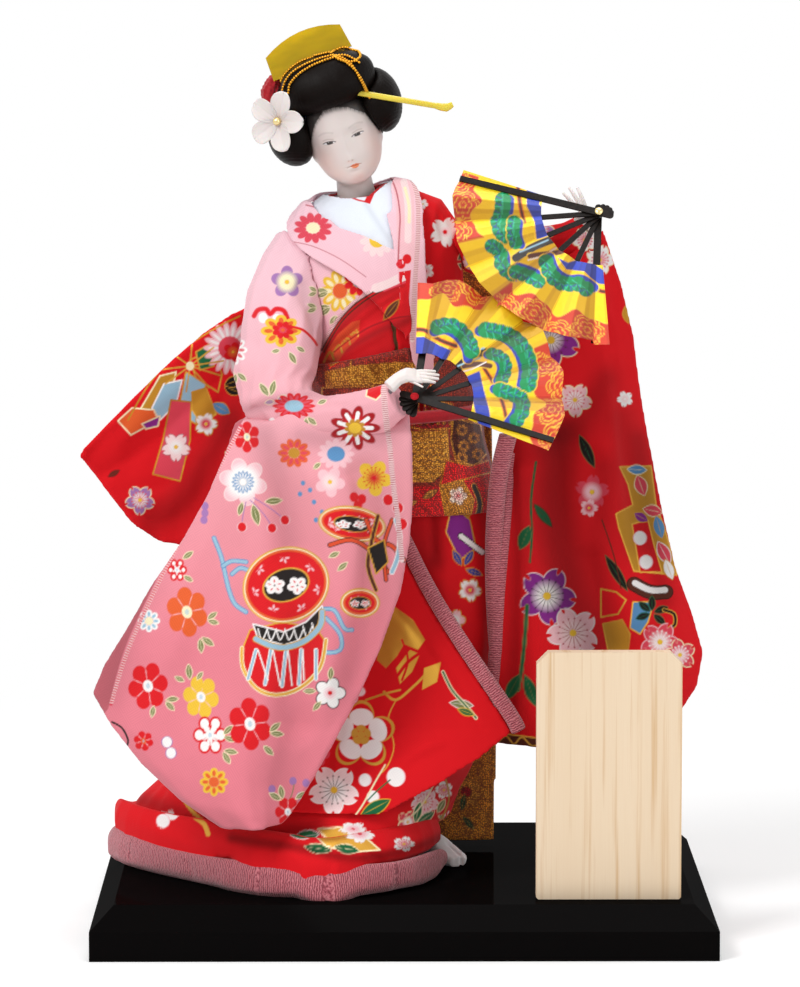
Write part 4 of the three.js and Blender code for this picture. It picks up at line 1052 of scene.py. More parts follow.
def tube_along(bm: bmesh.types.BMesh, path: Sequence[Vector], radius: float, sides: int) -> None:
    """Adds a closed tube along points to a bmesh.

    Args:
        bm: The bmesh.
        path: Points of the tube's middle, in metres.
        radius: Its radius, in metres.
        sides: Its sides.
    """
    loops = []
    up = Vector((0.0, 0.0, 1.0))
    for k, point in enumerate(path):
        way = (path[min(k + 1, len(path) - 1)] - path[max(k - 1, 0)]).normalized()
        across = way.cross(up)
        across = across.normalized() if across.length > 1e-4 else Vector((1.0, 0.0, 0.0))
        made = bmesh.ops.create_circle(bm, segments=sides, radius=radius)
        other = way.cross(across).normalized()
        spin = Matrix((across, other, way)).transposed().to_4x4()
        bmesh.ops.transform(bm, matrix=Matrix.Translation(point) @ spin, verts=made["verts"])
        loops.append(made["verts"])
    for near, far in zip(loops, loops[1:]):
        for k in range(sides):
            bm.faces.new((near[k], near[(k + 1) % sides], far[(k + 1) % sides], far[k]))
    bm.faces.new(list(reversed(loops[0])))
    bm.faces.new(loops[-1])
    bmesh.ops.recalc_face_normals(bm, faces=bm.faces)


# Finishes


class Tree:
    """A node tree, with short calls for the nodes that the finishes and the studio use."""

    def __init__(self, tree: bpy.types.NodeTree) -> None:
        """Takes the tree to add nodes to."""
        self.tree = tree

    def feed(self, socket: Socket, value: Value) -> None:
        """Links an output to an input, or sets the input's own value.

        Args:
            socket: The input of a node.
            value: The output or value.
        """
        if isinstance(value, bpy.types.NodeSocket):
            self.tree.links.new(value, socket)
        else:
            socket.default_value = (*value, 1.0) if socket.type == "RGBA" else value

    def add(self, kind: str, operation: str = "", **values: Value) -> bpy.types.Node:
        """Adds a node.

        Args:
            kind: Its type, without the words that all types share.
            operation: What it works out, for a node with a choice.
            values: What goes into its inputs, by name with underscores for blanks.

        Returns:
            The new node.
        """
        node = self.tree.nodes.new("ShaderNode" + kind)
        if operation:
            node.operation = operation
        for name, value in values.items():
            self.feed(node.inputs[name.replace("_", " ")], value)
        return node

    def math(self, kind: str, a: Value, b: Value = 0.0) -> Socket:
        """Adds a sum of two outputs or numbers and gives its value.

        Args:
            kind: How the two go together.
            a: The first output or value.
            b: The second one.

        Returns:
            The node's output.
        """
        node = self.add("Math", kind)
        self.feed(node.inputs[0], a)
        self.feed(node.inputs[1], b)
        return node.outputs[0]

    def times(self, a: Value, b: Value) -> Socket:
        """Multiplies two outputs or numbers."""
        return self.math("MULTIPLY", a, b)

    def plus(self, a: Value, b: Value) -> Socket:
        """Adds two outputs or numbers."""
        return self.math("ADD", a, b)

    def less(self, a: Value, b: Value) -> Socket:
        """Takes the second output or number from the first."""
        return self.math("SUBTRACT", a, b)

    def either(self, share: Socket, first: bpy.types.Node, second: bpy.types.Node) -> Socket:
        """Mixes two shaders, the second one by a share.

        Args:
            share: Share of the second one.
            first: The first shader.
            second: The second shader.

        Returns:
            The mixed shader's output.
        """
        node = self.add("MixShader", Fac=share)
        self.feed(node.inputs[1], first.outputs[0])
        self.feed(node.inputs[2], second.outputs[0])
        return node.outputs[0]


class Recipe(Tree):
    """A material with one principled shader, and the nodes that its finish is made of."""

    def __init__(self, name: str, colour: Colour, roughness: float, **values: Value) -> None:
        """Starts the material.

        Args:
            name: Name of the material.
            colour: Linear base colour.
            roughness: Roughness of the surface.
            values: Other values of the shader by socket name, with underscores for blanks.
        """
        self.material = bpy.data.materials.new(name)
        self.material.use_nodes = True
        super().__init__(self.material.node_tree)
        self.shader = self.tree.nodes["Principled BSDF"]
        for socket, value in {"Base_Color": colour, "Roughness": roughness, **values}.items():
            self.feed(self.shader.inputs[socket.replace("_", " ")], value)
        self.coords = self.add("TexCoord")

    def place(self, scale: Place = (1, 1, 1), turn: Place = (0, 0, 0)) -> Socket:
        """Gives the piece's own coordinates, turned in degrees and then scaled.

        Args:
            scale: Scale of the coordinates.
            turn: Degrees of the turn.

        Returns:
            The coordinates.
        """
        angles = tuple(math.radians(t) for t in turn)
        spun = self.add("Mapping", Vector=self.coords.outputs["Object"], Rotation=angles)
        return self.add("Mapping", Vector=spun.outputs[0], Scale=scale).outputs[0]

    def noise(self, vector: Socket, scale: float, detail: float = 2.0, rough: float = 0.5) -> Socket:
        """Adds noise and gives its value."""
        return self.add("TexNoise", Vector=vector, Scale=scale, Detail=detail,
                        Roughness=rough).outputs["Fac"]

    def cells(self, vector: Socket, scale: float, random: float) -> Socket:
        """Adds cells and gives the distance to their middles."""
        return self.add("TexVoronoi", Vector=vector, Scale=scale, Randomness=random).outputs["Distance"]

    def waves(self, vector: Socket, scale: float, direction: str, warp: float, warp_scale: float) -> Socket:
        """Adds straight bands and gives their value.

        Args:
            vector: The coordinates.
            scale: Scale of the coordinates.
            direction: Axis that the bands lie across.
            warp: How much the bands wander.
            warp_scale: Scale at which they wander.

        Returns:
            The bands' value.
        """
        node = self.add("TexWave", Vector=vector, Scale=scale, Distortion=warp, Detail=1.0,
                        Detail_Scale=warp_scale)
        node.wave_type = "BANDS"
        node.bands_direction = direction
        return node.outputs["Fac"]

    def ramp(self, value: Socket, stops: Sequence[tuple[float, Colour]]) -> Socket:
        """Turns a value into a colour by stops and gives the colour.

        Args:
            value: The output or value.
            stops: Place and linear colour of each stop.

        Returns:
            The colour.
        """
        node = self.add("ValToRGB", Fac=value)
        elements = node.color_ramp.elements
        while len(elements) < len(stops):
            elements.new(0.5)
        for element, (at, colour) in zip(elements, stops):
            element.position = at
            element.color = (*colour, 1.0)
        return node.outputs["Color"]

    def mix(self, share: Value, a: Value, b: Value, kind: str = "MIX") -> Socket:
        """Mixes two colours, each an output or linear values, and gives the result.

        Args:
            share: Share of the second one.
            a: The first output or value.
            b: The second one.
            kind: How the two go together.

        Returns:
            The mixed colour.
        """
        node = self.add("Mix")
        node.data_type = "RGBA"
        node.blend_type = kind
        for socket, value in zip((node.inputs["Factor"], node.inputs[6], node.inputs[7]), (share, a, b)):
            self.feed(socket, value)
        return node.outputs[2]

    def attribute(self, name: str) -> bpy.types.Node:
        """Adds a node that reads a number or colour stored on the mesh.

        Args:
            name: The name that it is stored under.

        Returns:
            The node.
        """
        node = self.add("Attribute")
        node.attribute_name = name
        return node

    def spread(self, value: Socket, low: float, high: float) -> Socket:
        """Stretches 0 to 1 over a range of numbers."""
        return self.add("MapRange", Value=value, To_Min=low, To_Max=high).outputs["Result"]

    def bump(self, height: Socket, depth: float, strength: float, **under: Socket) -> Socket:
        """Adds a bump of a depth in millimetres and gives the normal, over another Normal where given."""
        return self.add("Bump", Height=height, Distance=depth * MM, Strength=strength, **under).outputs[0]

    def wear(self, colour: Socket, normal: Socket, roughness: Socket) -> bpy.types.Material:
        """Links the finished colour, normal and roughness and gives the material.

        Args:
            colour: The finished colour.
            normal: The finished normal.
            roughness: The finished roughness.

        Returns:
            The finished material.
        """
        for socket, value in (("Base Color", colour), ("Normal", normal), ("Roughness", roughness)):
            self.feed(self.shader.inputs[socket], value)
        return self.material


@dataclass(frozen=True)
class Lacquer:
    """Black lacquer of the stand, with a faint ripple and dust."""

    colour: Colour = (0.0035, 0.003, 0.003)

    def material(self) -> bpy.types.Material:
        """Makes the material.

        Returns:
            The finished material.
        """
        r = Recipe("black lacquer", self.colour, 0.1, Specular_IOR_Level=0.0, Coat_Weight=0.018,
                   Coat_Roughness=0.05)
        ripple = r.noise(r.place(), 90, 2)
        dust = r.noise(r.place(), 1500, 3, 0.7)
        colour = r.ramp(dust, [(0.0, self.colour), (0.72, self.colour), (1.0, (0.016, 0.014, 0.013))])
        return r.wear(colour, r.bump(ripple, 0.02, 0.25), r.spread(dust, 0.05, 0.14))


@dataclass(frozen=True)
class Wood:
    """Planed softwood with fine straight grain up the board."""

    name: str
    pale: Colour = srgb("F6E2C6")
    dark: Colour = srgb("E0BE94")
    grain: float = 1.0

    def material(self) -> bpy.types.Material:
        """Makes the material.

        Returns:
            The finished material.
        """
        r = Recipe(self.name, self.pale, 0.6, Specular_IOR_Level=0.35)
        years = r.noise(r.place((260, 60, 5)), self.grain, 4, 0.6)
        fibres = r.noise(r.place((1500, 1500, 25)), 1, 3, 0.6)
        bands = r.noise(r.place((70, 40, 2)), self.grain, 2, 0.5)
        base = r.ramp(years, [(0.3, self.pale), (0.52, self.pale), (0.66, self.dark), (0.75, self.pale)])
        base = r.mix(r.spread(fibres, 0.0, 0.22), base, self.dark, "MULTIPLY")
        base = r.mix(r.spread(bands, 0.0, 0.3), base, self.dark)
        return r.wear(base, r.bump(fibres, 0.06, 0.5), r.spread(fibres, 0.5, 0.72))


@dataclass(frozen=True)
class PrintedCloth:
    """Woven silk crepe with a self-coloured woven figure and a print with gold in it, with painted light
    and shade in the stored colour.
    """

    name: str
    figure: float
    sheen: float = 0.25
    gloss: float = 0.25

    def material(self) -> bpy.types.Material:
        """Makes the material.

        Returns:
            The finished material.
        """
        r = Recipe(self.name, Ink.PINK.linear(), 0.7, Sheen_Weight=self.sheen, Sheen_Roughness=0.45,
                   Specular_IOR_Level=self.gloss)
        dye = r.attribute("print")
        slant = r.place((1, 1, 1), (0, 32, 0))
        pick = r.add("Mix", Factor=r.add("TexChecker", Vector=slant, Scale=150.0).outputs["Fac"])
        for socket, direction in ((2, "X"), (3, "Z")):
            r.feed(pick.inputs[socket], r.waves(slant, 300, direction, 0.8, 2))
        woven = pick.outputs[0]
        pebbles = r.noise(r.place(), 2300, 3, 0.65)
        broad = r.noise(r.place(), 30, 2, 0.5)
        tone = r.plus(r.times(woven, 0.07 * self.figure), r.times(broad, 0.12))
        shade = r.plus(tone, 0.92 - 0.035 * self.figure)
        grey = r.add("CombineColor", Red=shade, Green=shade, Blue=shade)
        colour = r.mix(1.0, dye.outputs["Color"], grey.outputs["Color"], "MULTIPLY")
        normal = r.bump(pebbles, 0.1, 0.55, Normal=r.bump(woven, 0.025 * self.figure, 0.5))
        r.feed(r.shader.inputs["Metallic"], r.times(dye.outputs["Alpha"], 0.85))
        glint = r.less(0.72, r.times(dye.outputs["Alpha"], 0.34))
        roughness = r.plus(glint, r.times(pebbles, 0.12))
        return r.wear(colour, normal, roughness)


@dataclass(frozen=True)
class RibbedCrepe:
    """Old rose crepe whose crimps run across the roll that it covers."""

    # Colours of the crimps' crests and hollows: lit and shaded copies of the crepe, painted light and
    # shade.
    pale: Colour = srgb("DC8890")
    deep: Colour = srgb("7E2E3A")
    pitch: float = 1.15

    def material(self) -> bpy.types.Material:
        """Makes the material. The piece stores how far along the roll each point is.

        Returns:
            The finished material.
        """
        r = Recipe("old rose crepe", self.pale, 0.8, Sheen_Weight=0.4, Sheen_Roughness=0.5,
                   Specular_IOR_Level=0.25)
        along = r.attribute("along").outputs["Fac"]
        wander = r.noise(r.place(), 700, 2, 0.5)
        phase = r.plus(r.times(along, 2 * math.pi / self.pitch), r.times(wander, 9.0))
        ribs = r.plus(r.times(r.math("SINE", phase), 0.5), 0.5)
        grit = r.noise(r.place(), 2600, 3, 0.7)
        height = r.plus(r.times(ribs, 0.65), r.times(grit, 0.5))
        # Painted light and shade: paler on the crimps' crests and darker in their hollows.
        colour = r.ramp(height, [(0.2, self.deep), (0.55, srgb("BE5E6A")), (0.95, self.pale)])
        return r.wear(colour, r.bump(height, 0.4, 0.9), r.spread(grit, 0.65, 0.9))


@dataclass(frozen=True)
class PlainCrepe:
    """Plain crepe or cotton of one colour, with its weave."""

    name: str
    colour: Colour
    # Colour of the cloth in the hollows of its weave: painted shade.
    deep: Colour
    grain: float = 1.0
    sheen: float = 0.35
    dots: float = 0.0
    printed: bool = False

    def material(self) -> bpy.types.Material:
        """Makes the material.

        Returns:
            The finished material.
        """
        r = Recipe(self.name, self.colour, 0.78, Sheen_Weight=self.sheen, Sheen_Roughness=0.5,
                   Specular_IOR_Level=0.25)
        grit = r.noise(r.place(), 2200 * self.grain, 3, 0.7)
        weave = r.times(r.waves(r.place(), 800 * self.grain, "X", 1, 3),
                       r.waves(r.place(), 800 * self.grain, "Z", 1, 3))
        height = r.plus(r.times(grit, 0.7), r.times(weave, 0.4))
        # Painted shade: darker where the bump is low, in the hollows of the weave and its grain.
        colour = r.ramp(height, [(0.1, self.deep), (0.55, self.colour)])
        if self.printed:
            colour = r.mix(1.0, colour, r.attribute("print").outputs["Color"], "MULTIPLY")
        if self.dots:
            cells = r.cells(r.place(), self.dots, random=0.25)
            height = r.less(height, r.times(cells, 0.8))
        return r.wear(colour, r.bump(height, 0.14, 0.6), r.spread(grit, 0.68, 0.88))


@dataclass(frozen=True)
class Brocade:
    """Gold-woven sash cloth: print under a raised weave of metal thread, with painted highlights on the
    thread's knots and painted shade between them.
    """

    def material(self) -> bpy.types.Material:
        """Makes the material.

        Returns:
            The finished material.
        """
        r = Recipe("gold brocade", srgb("8A4A20"), 0.5, Sheen_Weight=0.15, Specular_IOR_Level=0.4)
        dye = r.attribute("print")
        twill = r.waves(r.place((1, 1, 1), (0, 28, 0)), 620, "X", 1.2, 2)
        knots = r.cells(r.place(), 1150, random=0.6)
        figure = r.cells(r.place((1, 1, 0.8), (0, 45, 0)), 130, random=0.3)
        pattern = r.ramp(figure, [(0.0, (1.3, 1.15, 0.9)), (0.3, (1, 1, 1)), (0.42, (0.62, 0.45, 0.4)),
                                  (0.5, (1, 1, 1))])
        # Painted light: the colour is brightened at the middle of each raised knot and darkened between the
        # knots.
        spark = r.ramp(knots, [(0.0, (3.4, 3.0, 2.4)), (0.3, (1.4, 1.25, 1.1)), (0.6, (0.5, 0.35, 0.28))])
        colour = r.mix(1.0, dye.outputs["Color"], spark, "MULTIPLY")
        colour = r.mix(0.6, colour, pattern, "MULTIPLY")
        height = r.less(twill, r.times(knots, 1.2))
        r.feed(r.shader.inputs["Metallic"], r.times(dye.outputs["Alpha"], 0.9))
        rough = r.less(0.62, r.times(dye.outputs["Alpha"], 0.3))
        return r.wear(colour, r.bump(height, 0.22, 0.8), rough)


@dataclass(frozen=True)
class ShellWhite:
    """Polished shell-white coat of the head and hands, with painted features and the face's painted
    reflection and shade.
    """

    def material(self) -> bpy.types.Material:
        """Makes the material.

        Returns:
            The finished material.
        """
        r = Recipe("shell white", srgb("F1ECEA"), 0.38, Subsurface_Weight=0.06, Subsurface_Scale=0.004,
                   Specular_IOR_Level=0.4, Coat_Weight=0.12, Coat_Roughness=0.25)
        cloud = r.noise(r.place(), 160, 3, 0.6)
        paint = r.attribute("print").outputs["Color"]
        colour = r.mix(r.spread(cloud, 0.0, 0.1), paint, srgb("E7DAD6"))
        return r.wear(colour, r.bump(r.noise(r.place(), 900, 3), 0.02, 0.3), r.spread(cloud, 0.32, 0.48))


@dataclass(frozen=True)
class SilkHair:
    """Combed black silk hair, whose strands follow a number stored on the piece."""

    dark: Colour = (0.0018, 0.0011, 0.0009)
    light: Colour = (0.011, 0.006, 0.0045)

    def material(self) -> bpy.types.Material:
        """Makes the material.

        Returns:
            The finished material.
        """
        r = Recipe("silk hair", self.dark, 0.34, Specular_IOR_Level=0.07)
        across = r.attribute("across").outputs["Fac"]
        drift = r.times(r.noise(r.place(), 130, 2), 1.3)
        place = r.add("CombineXYZ", X=r.plus(across, drift)).outputs["Vector"]
        slow = r.add("VectorMath", "SCALE", Vector=place, Scale=0.35)
        strands = r.noise(place, 5.5, 3, 0.7)
        locks = r.noise(slow.outputs["Vector"], 2.4, 2, 0.6)
        colour = r.ramp(strands, [(0.35, self.dark), (0.8, self.light)])
        normal = r.bump(locks, 0.35, 0.35, Normal=r.bump(strands, 0.16, 0.75))
        return r.wear(colour, normal, r.spread(strands, 0.26, 0.5))


@dataclass(frozen=True)
class Amber:
    """Clear amber-coloured resin of the comb and hairpin."""

    name: str
    clear: Colour = srgb("DCB407")
    dense: Colour = srgb("9F8605")

    def material(self) -> bpy.types.Material:
        """Makes the material.

        Returns:
            The finished material.
        """
        r = Recipe(self.name, self.clear, 0.16, Subsurface_Weight=0.1, Subsurface_Scale=0.004,
                   Coat_Weight=0.08, Coat_Roughness=0.06, Specular_IOR_Level=0.2)
        streak = r.noise(r.place((22, 22, 60), (0, 18, 0)), 1, 3, 0.5)
        colour = r.ramp(streak, [(0.3, self.dense), (0.6, self.clear), (0.8, srgb("E2C628"))])
        return r.wear(colour, r.bump(r.noise(r.place(), 260, 2), 0.03, 0.3), r.spread(streak, 0.1, 0.24))


@dataclass(frozen=True)
class Metal:
    """Gold thread, gold beads, rivets and wire."""

    name: str
    colour: Colour
    roughness: float = 0.28
    spark: float = 0.5

    def material(self) -> bpy.types.Material:
        """Makes the material.

        Returns:
            The finished material.
        """
        r = Recipe(self.name, self.colour, self.roughness, Metallic=0.92)
        grit = r.noise(r.place(), 1700, 3, 0.7)
        dark = tuple(c * 0.45 for c in self.colour)
        colour = r.mix(r.spread(grit, 0.0, self.spark), self.colour, dark)
        rough = r.spread(grit, self.roughness * 0.7, self.roughness * 1.6)
        return r.wear(colour, r.bump(grit, 0.06, 0.5), rough)


@dataclass(frozen=True)
class PetalSatin:
    """White pressed satin of the hair flower, with veins from the middle outwards and painted shade towards
    the middle.
    """

    def material(self) -> bpy.types.Material:
        """Makes the material.

        Returns:
            The finished material.
        """
        r = Recipe("petal satin", srgb("F4F0EE"), 0.45, Sheen_Weight=0.4, Sheen_Roughness=0.35,
                   Subsurface_Weight=0.12, Subsurface_Scale=0.003)
        across = r.attribute("across").outputs["Fac"]
        veins = r.math("SINE", r.times(across, 2.6))
        weave = r.noise(r.place(), 1900, 2, 0.5)
        height = r.plus(r.times(veins, 0.25), weave)
        # Painted shade: darker towards the middle of the flower, where the petals meet.
        depth = r.attribute("depth").outputs["Fac"]
        colour = r.mix(depth, srgb("EBE2DF"), srgb("C9B6B4"))
        return r.wear(colour, r.bump(height, 0.12, 0.5), r.spread(weave, 0.36, 0.55))


@dataclass(frozen=True)
class FanLacquer:
    """Black-brown lacquered bamboo of the fan sticks."""

    def material(self) -> bpy.types.Material:
        """Makes the material.

        Returns:
            The finished material.
        """
        r = Recipe("stick lacquer", srgb("120D0B"), 0.34, Specular_IOR_Level=0.2)
        fibre = r.noise(r.place((700, 700, 700)), 1, 3, 0.6)
        colour = r.ramp(fibre, [(0.3, srgb("0C0908")), (0.75, srgb("231A16"))])
        return r.wear(colour, r.bump(fibre, 0.05, 0.4), r.spread(fibre, 0.24, 0.42))


@dataclass(frozen=True)
class LeafPaper:
    """Foiled and printed paper of the fan leaves, whose stored colour carries painted light and shade by
    pleat.
    """

    def material(self) -> bpy.types.Material:
        """Makes the material.

        Returns:
            The finished material.
        """
        r = Recipe("foiled paper", Ink.FOIL.linear(), 0.34)
        dye = r.attribute("print")
        crumple = r.noise(r.place(), 300, 3, 0.6)
        fibre = r.noise(r.place(), 2600, 2, 0.6)
        height = r.plus(crumple, r.times(fibre, 0.25))
        r.feed(r.shader.inputs["Metallic"], r.times(dye.outputs["Alpha"], 0.6))
        rough = r.less(0.46, r.times(dye.outputs["Alpha"], 0.2))
        return r.wear(dye.outputs["Color"], r.bump(height, 0.5, 0.6), rough)


@dataclass(frozen=True)
class Straw:
    """Bound rice straw and wadding of the body core."""

    def material(self) -> bpy.types.Material:
        """Makes the material.

        Returns:
            The finished material.
        """
        r = Recipe("bound straw", srgb("C9AD72"), 0.9)
        stalks = r.noise(r.place((900, 900, 30)), 1, 3, 0.7)
        colour = r.ramp(stalks, [(0.25, srgb("8A6F3E")), (0.6, srgb("CDB27A")), (0.85, srgb("E6D3A2"))])
        return r.wear(colour, r.bump(stalks, 0.7, 0.8), r.spread(stalks, 0.8, 0.95))


class Wardrobe:
    """The finishes that the pieces share, each made once."""

    def __init__(self) -> None:
        """Makes the materials."""
        self.lacquer = Lacquer().material()
        self.board = Wood("board wood").material()
        self.wood = Wood("peg wood", srgb("DDBE90"), srgb("B98F5C"), 0.6).material()
        self.pink = PrintedCloth("pink crepe", 1.0).material()
        self.red = PrintedCloth("red crepe", 0.6, sheen=0.05, gloss=0.14).material()
        self.rose = RibbedCrepe().material()
        self.white = PlainCrepe("white cotton", srgb("FFFFFF"), srgb("EEF0F8"), 1.2, 0.2).material()
        self.collar_white = PlainCrepe("white silk", srgb("FFFFFF"), srgb("EEF0F8"), 1.2, 0.2,
                                       printed=True).material()
        self.collar_red = PlainCrepe("red silk", srgb("D8202A"), srgb("9E0E18"), 1.4).material()
        self.hair_red = PlainCrepe("red dappled crepe", srgb("BC1424"), srgb("780812"), 0.8,
                                   dots=420).material()
        self.brocade = Brocade().material()
        self.shell = ShellWhite().material()
        self.hair = SilkHair().material()
        self.comb = Amber("amber comb").material()
        self.pin = Amber("amber pin", srgb("ECD650"), srgb("D2B632")).material()
        self.gold = Metal("gold thread", srgb("E0A02C")).material()
        self.pearl = Metal("gold bead", srgb("F2DCA0"), 0.16, 0.15).material()
        self.steel = Metal("arm wire", srgb("9A9DA2"), 0.35).material()
        self.petal = PetalSatin().material()
        self.stick = FanLacquer().material()
        self.paper = LeafPaper().material()
        self.straw = Straw().material()
        self.red_bead = PlainCrepe("red lacquer bead", srgb("C01420"), srgb("8A0C14"), 0.5, 0.0).material()


def dress(obj: bpy.types.Object, material: bpy.types.Material) -> bpy.types.Object:
    """Gives an object one material in place of what it has.

    Args:
        obj: The object.
        material: The finish.

    Returns:
        The object.
    """
    obj.data.materials.clear()
    obj.data.materials.append(material)
    return obj


def enter(obj: bpy.types.Object, material: bpy.types.Material, body: str,
          node: str | None = None) -> bpy.types.Object:
    """Dresses a piece, parents it to the empty of the body that it rides on and reports it.

    Args:
        obj: The piece.
        material: Its finish.
        body: The body that it rides on.
        node: The CAD node that it replaces, if any.

    Returns:
        The piece.
    """
    dress(obj, material)
    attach(obj, body)
    if node:
        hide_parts(node)
    log.info("%s: %d faces", obj.name, len(obj.data.polygons))
    return obj


def refinish(node: str, material: bpy.types.Material) -> None:
    """Gives a CAD node that stays a better material in its object's slots.

    Args:
        node: Name of the CAD node.
        material: The finish.
    """
    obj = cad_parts[node]
    if not obj.material_slots:
        obj.data.materials.append(material)
    for slot in obj.material_slots:
        slot.link = "OBJECT"
        slot.material = material
    log.info("kept %s, with %s", node, material.name)


# Cloth pieces

# Painted light on the pink ground by height in the picture: paler higher up and deeper lower down.
PINK_PAINTED_LIGHT = ((190, "FACEDA"), (300, "F7C3CD"), (390, "F2B0BA"), (480, "EE9CA6"), (640, "EA8492"),
               (820, "E67E8C"))


class Hold(Enum):
    """How a cloth is held."""

    DRAPED = "draped"
    HUNG = "hung"
    FOLDED = "folded"
    STRETCHED = "stretched"


@dataclass
class Cloth:
    """A cloth piece made from a CAD node's form, with folds, print, painted light and shade, and finish.

    Sizes of faces are in millimetres. flat is the cut's width and length in metres, or None for a
    stuffed piece; it is not used. along is the direction that crimps are counted in, or a function of the
    points.
    """

    node: str
    slot: str
    ground: Ink
    voxel: float = 1.0
    rounds: int = 30
    folds: tuple[Fold, ...] = ()
    prints: tuple[Motif, ...] = ()
    flat: tuple[float, float] | None = None
    held: Hold = Hold.DRAPED
    rests_on: tuple[str, ...] = ("stuffed_body",)
    fill: float | None = None
    along: Callable[[np.ndarray], np.ndarray] | None = None
    pulls: tuple[Pull, ...] = ()
    puff: float = 0.0
    slack: float = 0.0

    def make(self, material: bpy.types.Material) -> None:
        """Args:
            material: The finish.
        """
        obj = form_of(self.node, self.node + "_cloth", self.voxel, self.rounds, slack=self.slack)
        if self.puff:
            place_points(obj.data, points_of(obj.data) + normals_of(obj.data) * self.puff)
        pull(obj.data, self.pulls)
        crease(obj.data, self.folds)
        if self.prints:
            refine(obj, self.print_edges(obj.data))
        write_colour(obj.data, "print", self.print_and_shade(obj.data))
        if self.along:
            write_number(obj.data, "along", self.along(points_of(obj.data)))
        enter(obj, material, "doll", self.node)

    def print_edges(self, mesh: bpy.types.Mesh) -> np.ndarray:
        """Says which points, of those that face the viewer, lie where the print changes colour.

        Args:
            mesh: The mesh.

        Returns:
            Whether each point lies there.
        """
        dye = self.print_and_shade(mesh, shaded=False)
        a, b = edges_of(mesh)
        change = np.abs(dye[a] - dye[b]).max(axis=1) > PRINT_CHANGE
        near = np.zeros(len(dye), bool)
        for _ in range(2):
            near[a[change]] = near[b[change]] = True
            change = near[a] | near[b]
        return near & (normals_of(mesh) @ VIEW.axes()[2] < -0.2)

    def print_and_shade(self, mesh: bpy.types.Mesh, shaded: bool = True) -> np.ndarray:
        """Gives the printed colour of each point, with the painted shade of the folds or without, and on a
        pink ground its painted light.

        Args:
            mesh: The mesh.
            shaded: Whether the painted shade of the folds goes on too.

        Returns:
            Colour and metal share of each point, as rows.
        """
        # The pink ground gets its painted light, paler higher up and deeper lower down.
        painted_light = PINK_PAINTED_LIGHT if self.ground is Ink.PINK else ()
        facing = np.abs(normals_of(mesh) @ VIEW.axes()[2])
        sheet = Sheet(points_of(mesh), facing, self.ground, painted_light)
        for motif in self.prints:
            if shaded or not isinstance(motif, Shade):
                motif.draw(sheet)
        return sheet.dye


def line_counter(path: Sequence[Place]) -> Callable[[np.ndarray], np.ndarray]:
    """Gives a function that says how far along a line each point lies.

    Args:
        path: Corners of the line, in millimetres.

    Returns:
        A function from rows of points to distances in millimetres.
    """
    corners = np.array(path, float)
    steps = np.linalg.norm(np.diff(corners, axis=0), axis=1)
    starts = np.concatenate([[0.0], np.cumsum(steps)])

    def count(points: np.ndarray) -> np.ndarray:
        """Distance along the line for each point.

        Args:
            points: Points in millimetres.

        Returns:
            One distance for each point.
        """
        best, found = np.full(len(points), 1e9), np.zeros(len(points))
        for k, step in enumerate(steps):
            way = (corners[k + 1] - corners[k]) / step
            along = np.clip((points - corners[k]) @ way, 0, step)
            far = np.linalg.norm(points - corners[k] - along[:, None] * way, axis=1)
            nearer = far < best
            best[nearer], found[nearer] = far[nearer], (starts[k] + along)[nearer]
        return found

    return count


# The stand and its name board


@dataclass
class Stand:
    """Lacquered stand with a bare name board on a stay. The CAD solids stay and get their finishes."""

    lacquered: tuple[str, ...] = ("stand_base",)
    planed: tuple[str, ...] = ("name_board", "name_board_stay")

    def make(self, wardrobe: Wardrobe) -> None:
        """Finishes the stand and the board.

        Args:
            wardrobe: The finishes.
        """
        for node in self.lacquered:
            refinish(node, wardrobe.lacquer)
        for node in self.planed:
            refinish(node, wardrobe.board)


# The core of the figure


@dataclass
class Core:
    """Straw body, pegs, arm wires, neck dowel and the feet in their split-toed socks."""

    straw_voxel: float = 1.8
    sock_voxel: float = 0.7
    toe_cut: float = 1.1

    def make(self, wardrobe: Wardrobe) -> None:
        """Makes and finishes the pieces of the core.

        Args:
            wardrobe: The finishes.
        """
        for node in ("leg_peg_left", "leg_peg_right", "neck_dowel"):
            refinish(node, wardrobe.wood)
        for node in ("arm_wire_left", "arm_wire_right"):
            refinish(node, wardrobe.steel)
        body = form_of("stuffed_body", "stuffed_body_straw", self.straw_voxel, 20)
        enter(body, wardrobe.straw, "doll", "stuffed_body")
        for side, at, turn in (("left", (14.0, 8.0), 30.0), ("right", (-14.0, -4.0), -14.0)):
            self.sock(side, at, turn, wardrobe)

    def sock(self, side: str, at: Point, turn: float, wardrobe: Wardrobe) -> None:
        """Makes one foot in its sock, with the split beside the big toe.

        Args:
            side: left or right.
            at: Place of the ankle on the stand, in millimetres.
            turn: Degrees that the foot turns out.
            wardrobe: The finishes.
        """
        foot = form_of(f"foot_{side}", f"foot_{side}_sock", self.sock_voxel, 22)
        points = points_of(foot.data)
        c, s = math.cos(math.radians(turn)), math.sin(math.radians(turn))
        x, y = points[:, 0] - at[0], points[:, 1] - at[1]
        across, along = x * c + y * s, -x * s + y * c
        ahead = np.clip((-along - 14) / 8, 0, 1)
        split = (1.8 if side == "left" else -1.8)
        groove = self.toe_cut * ahead * np.exp(-((across - split) / 0.8) ** 2)
        if side == "left":
            back = 0.3 * np.clip(-along - 4, 0, 40)
            points = points + np.stack([-s * back, c * back, np.zeros(len(back))], axis=-1)
        place_points(foot.data, points - normals_of(foot.data) * groove[:, None])
        enter(foot, wardrobe.white, "doll", f"foot_{side}")


# Skirt, its padded hem and the front flap

HEM_LINE = ((19, -33), (-7, -78), (-37, -94), (-68, -83), (-103, -49), (-131, -15), (-142, 9), (-139, 28),
            (-110, 36), (-70, 34), (-20, 32), (8, 22), (18, -4), (19, -33))

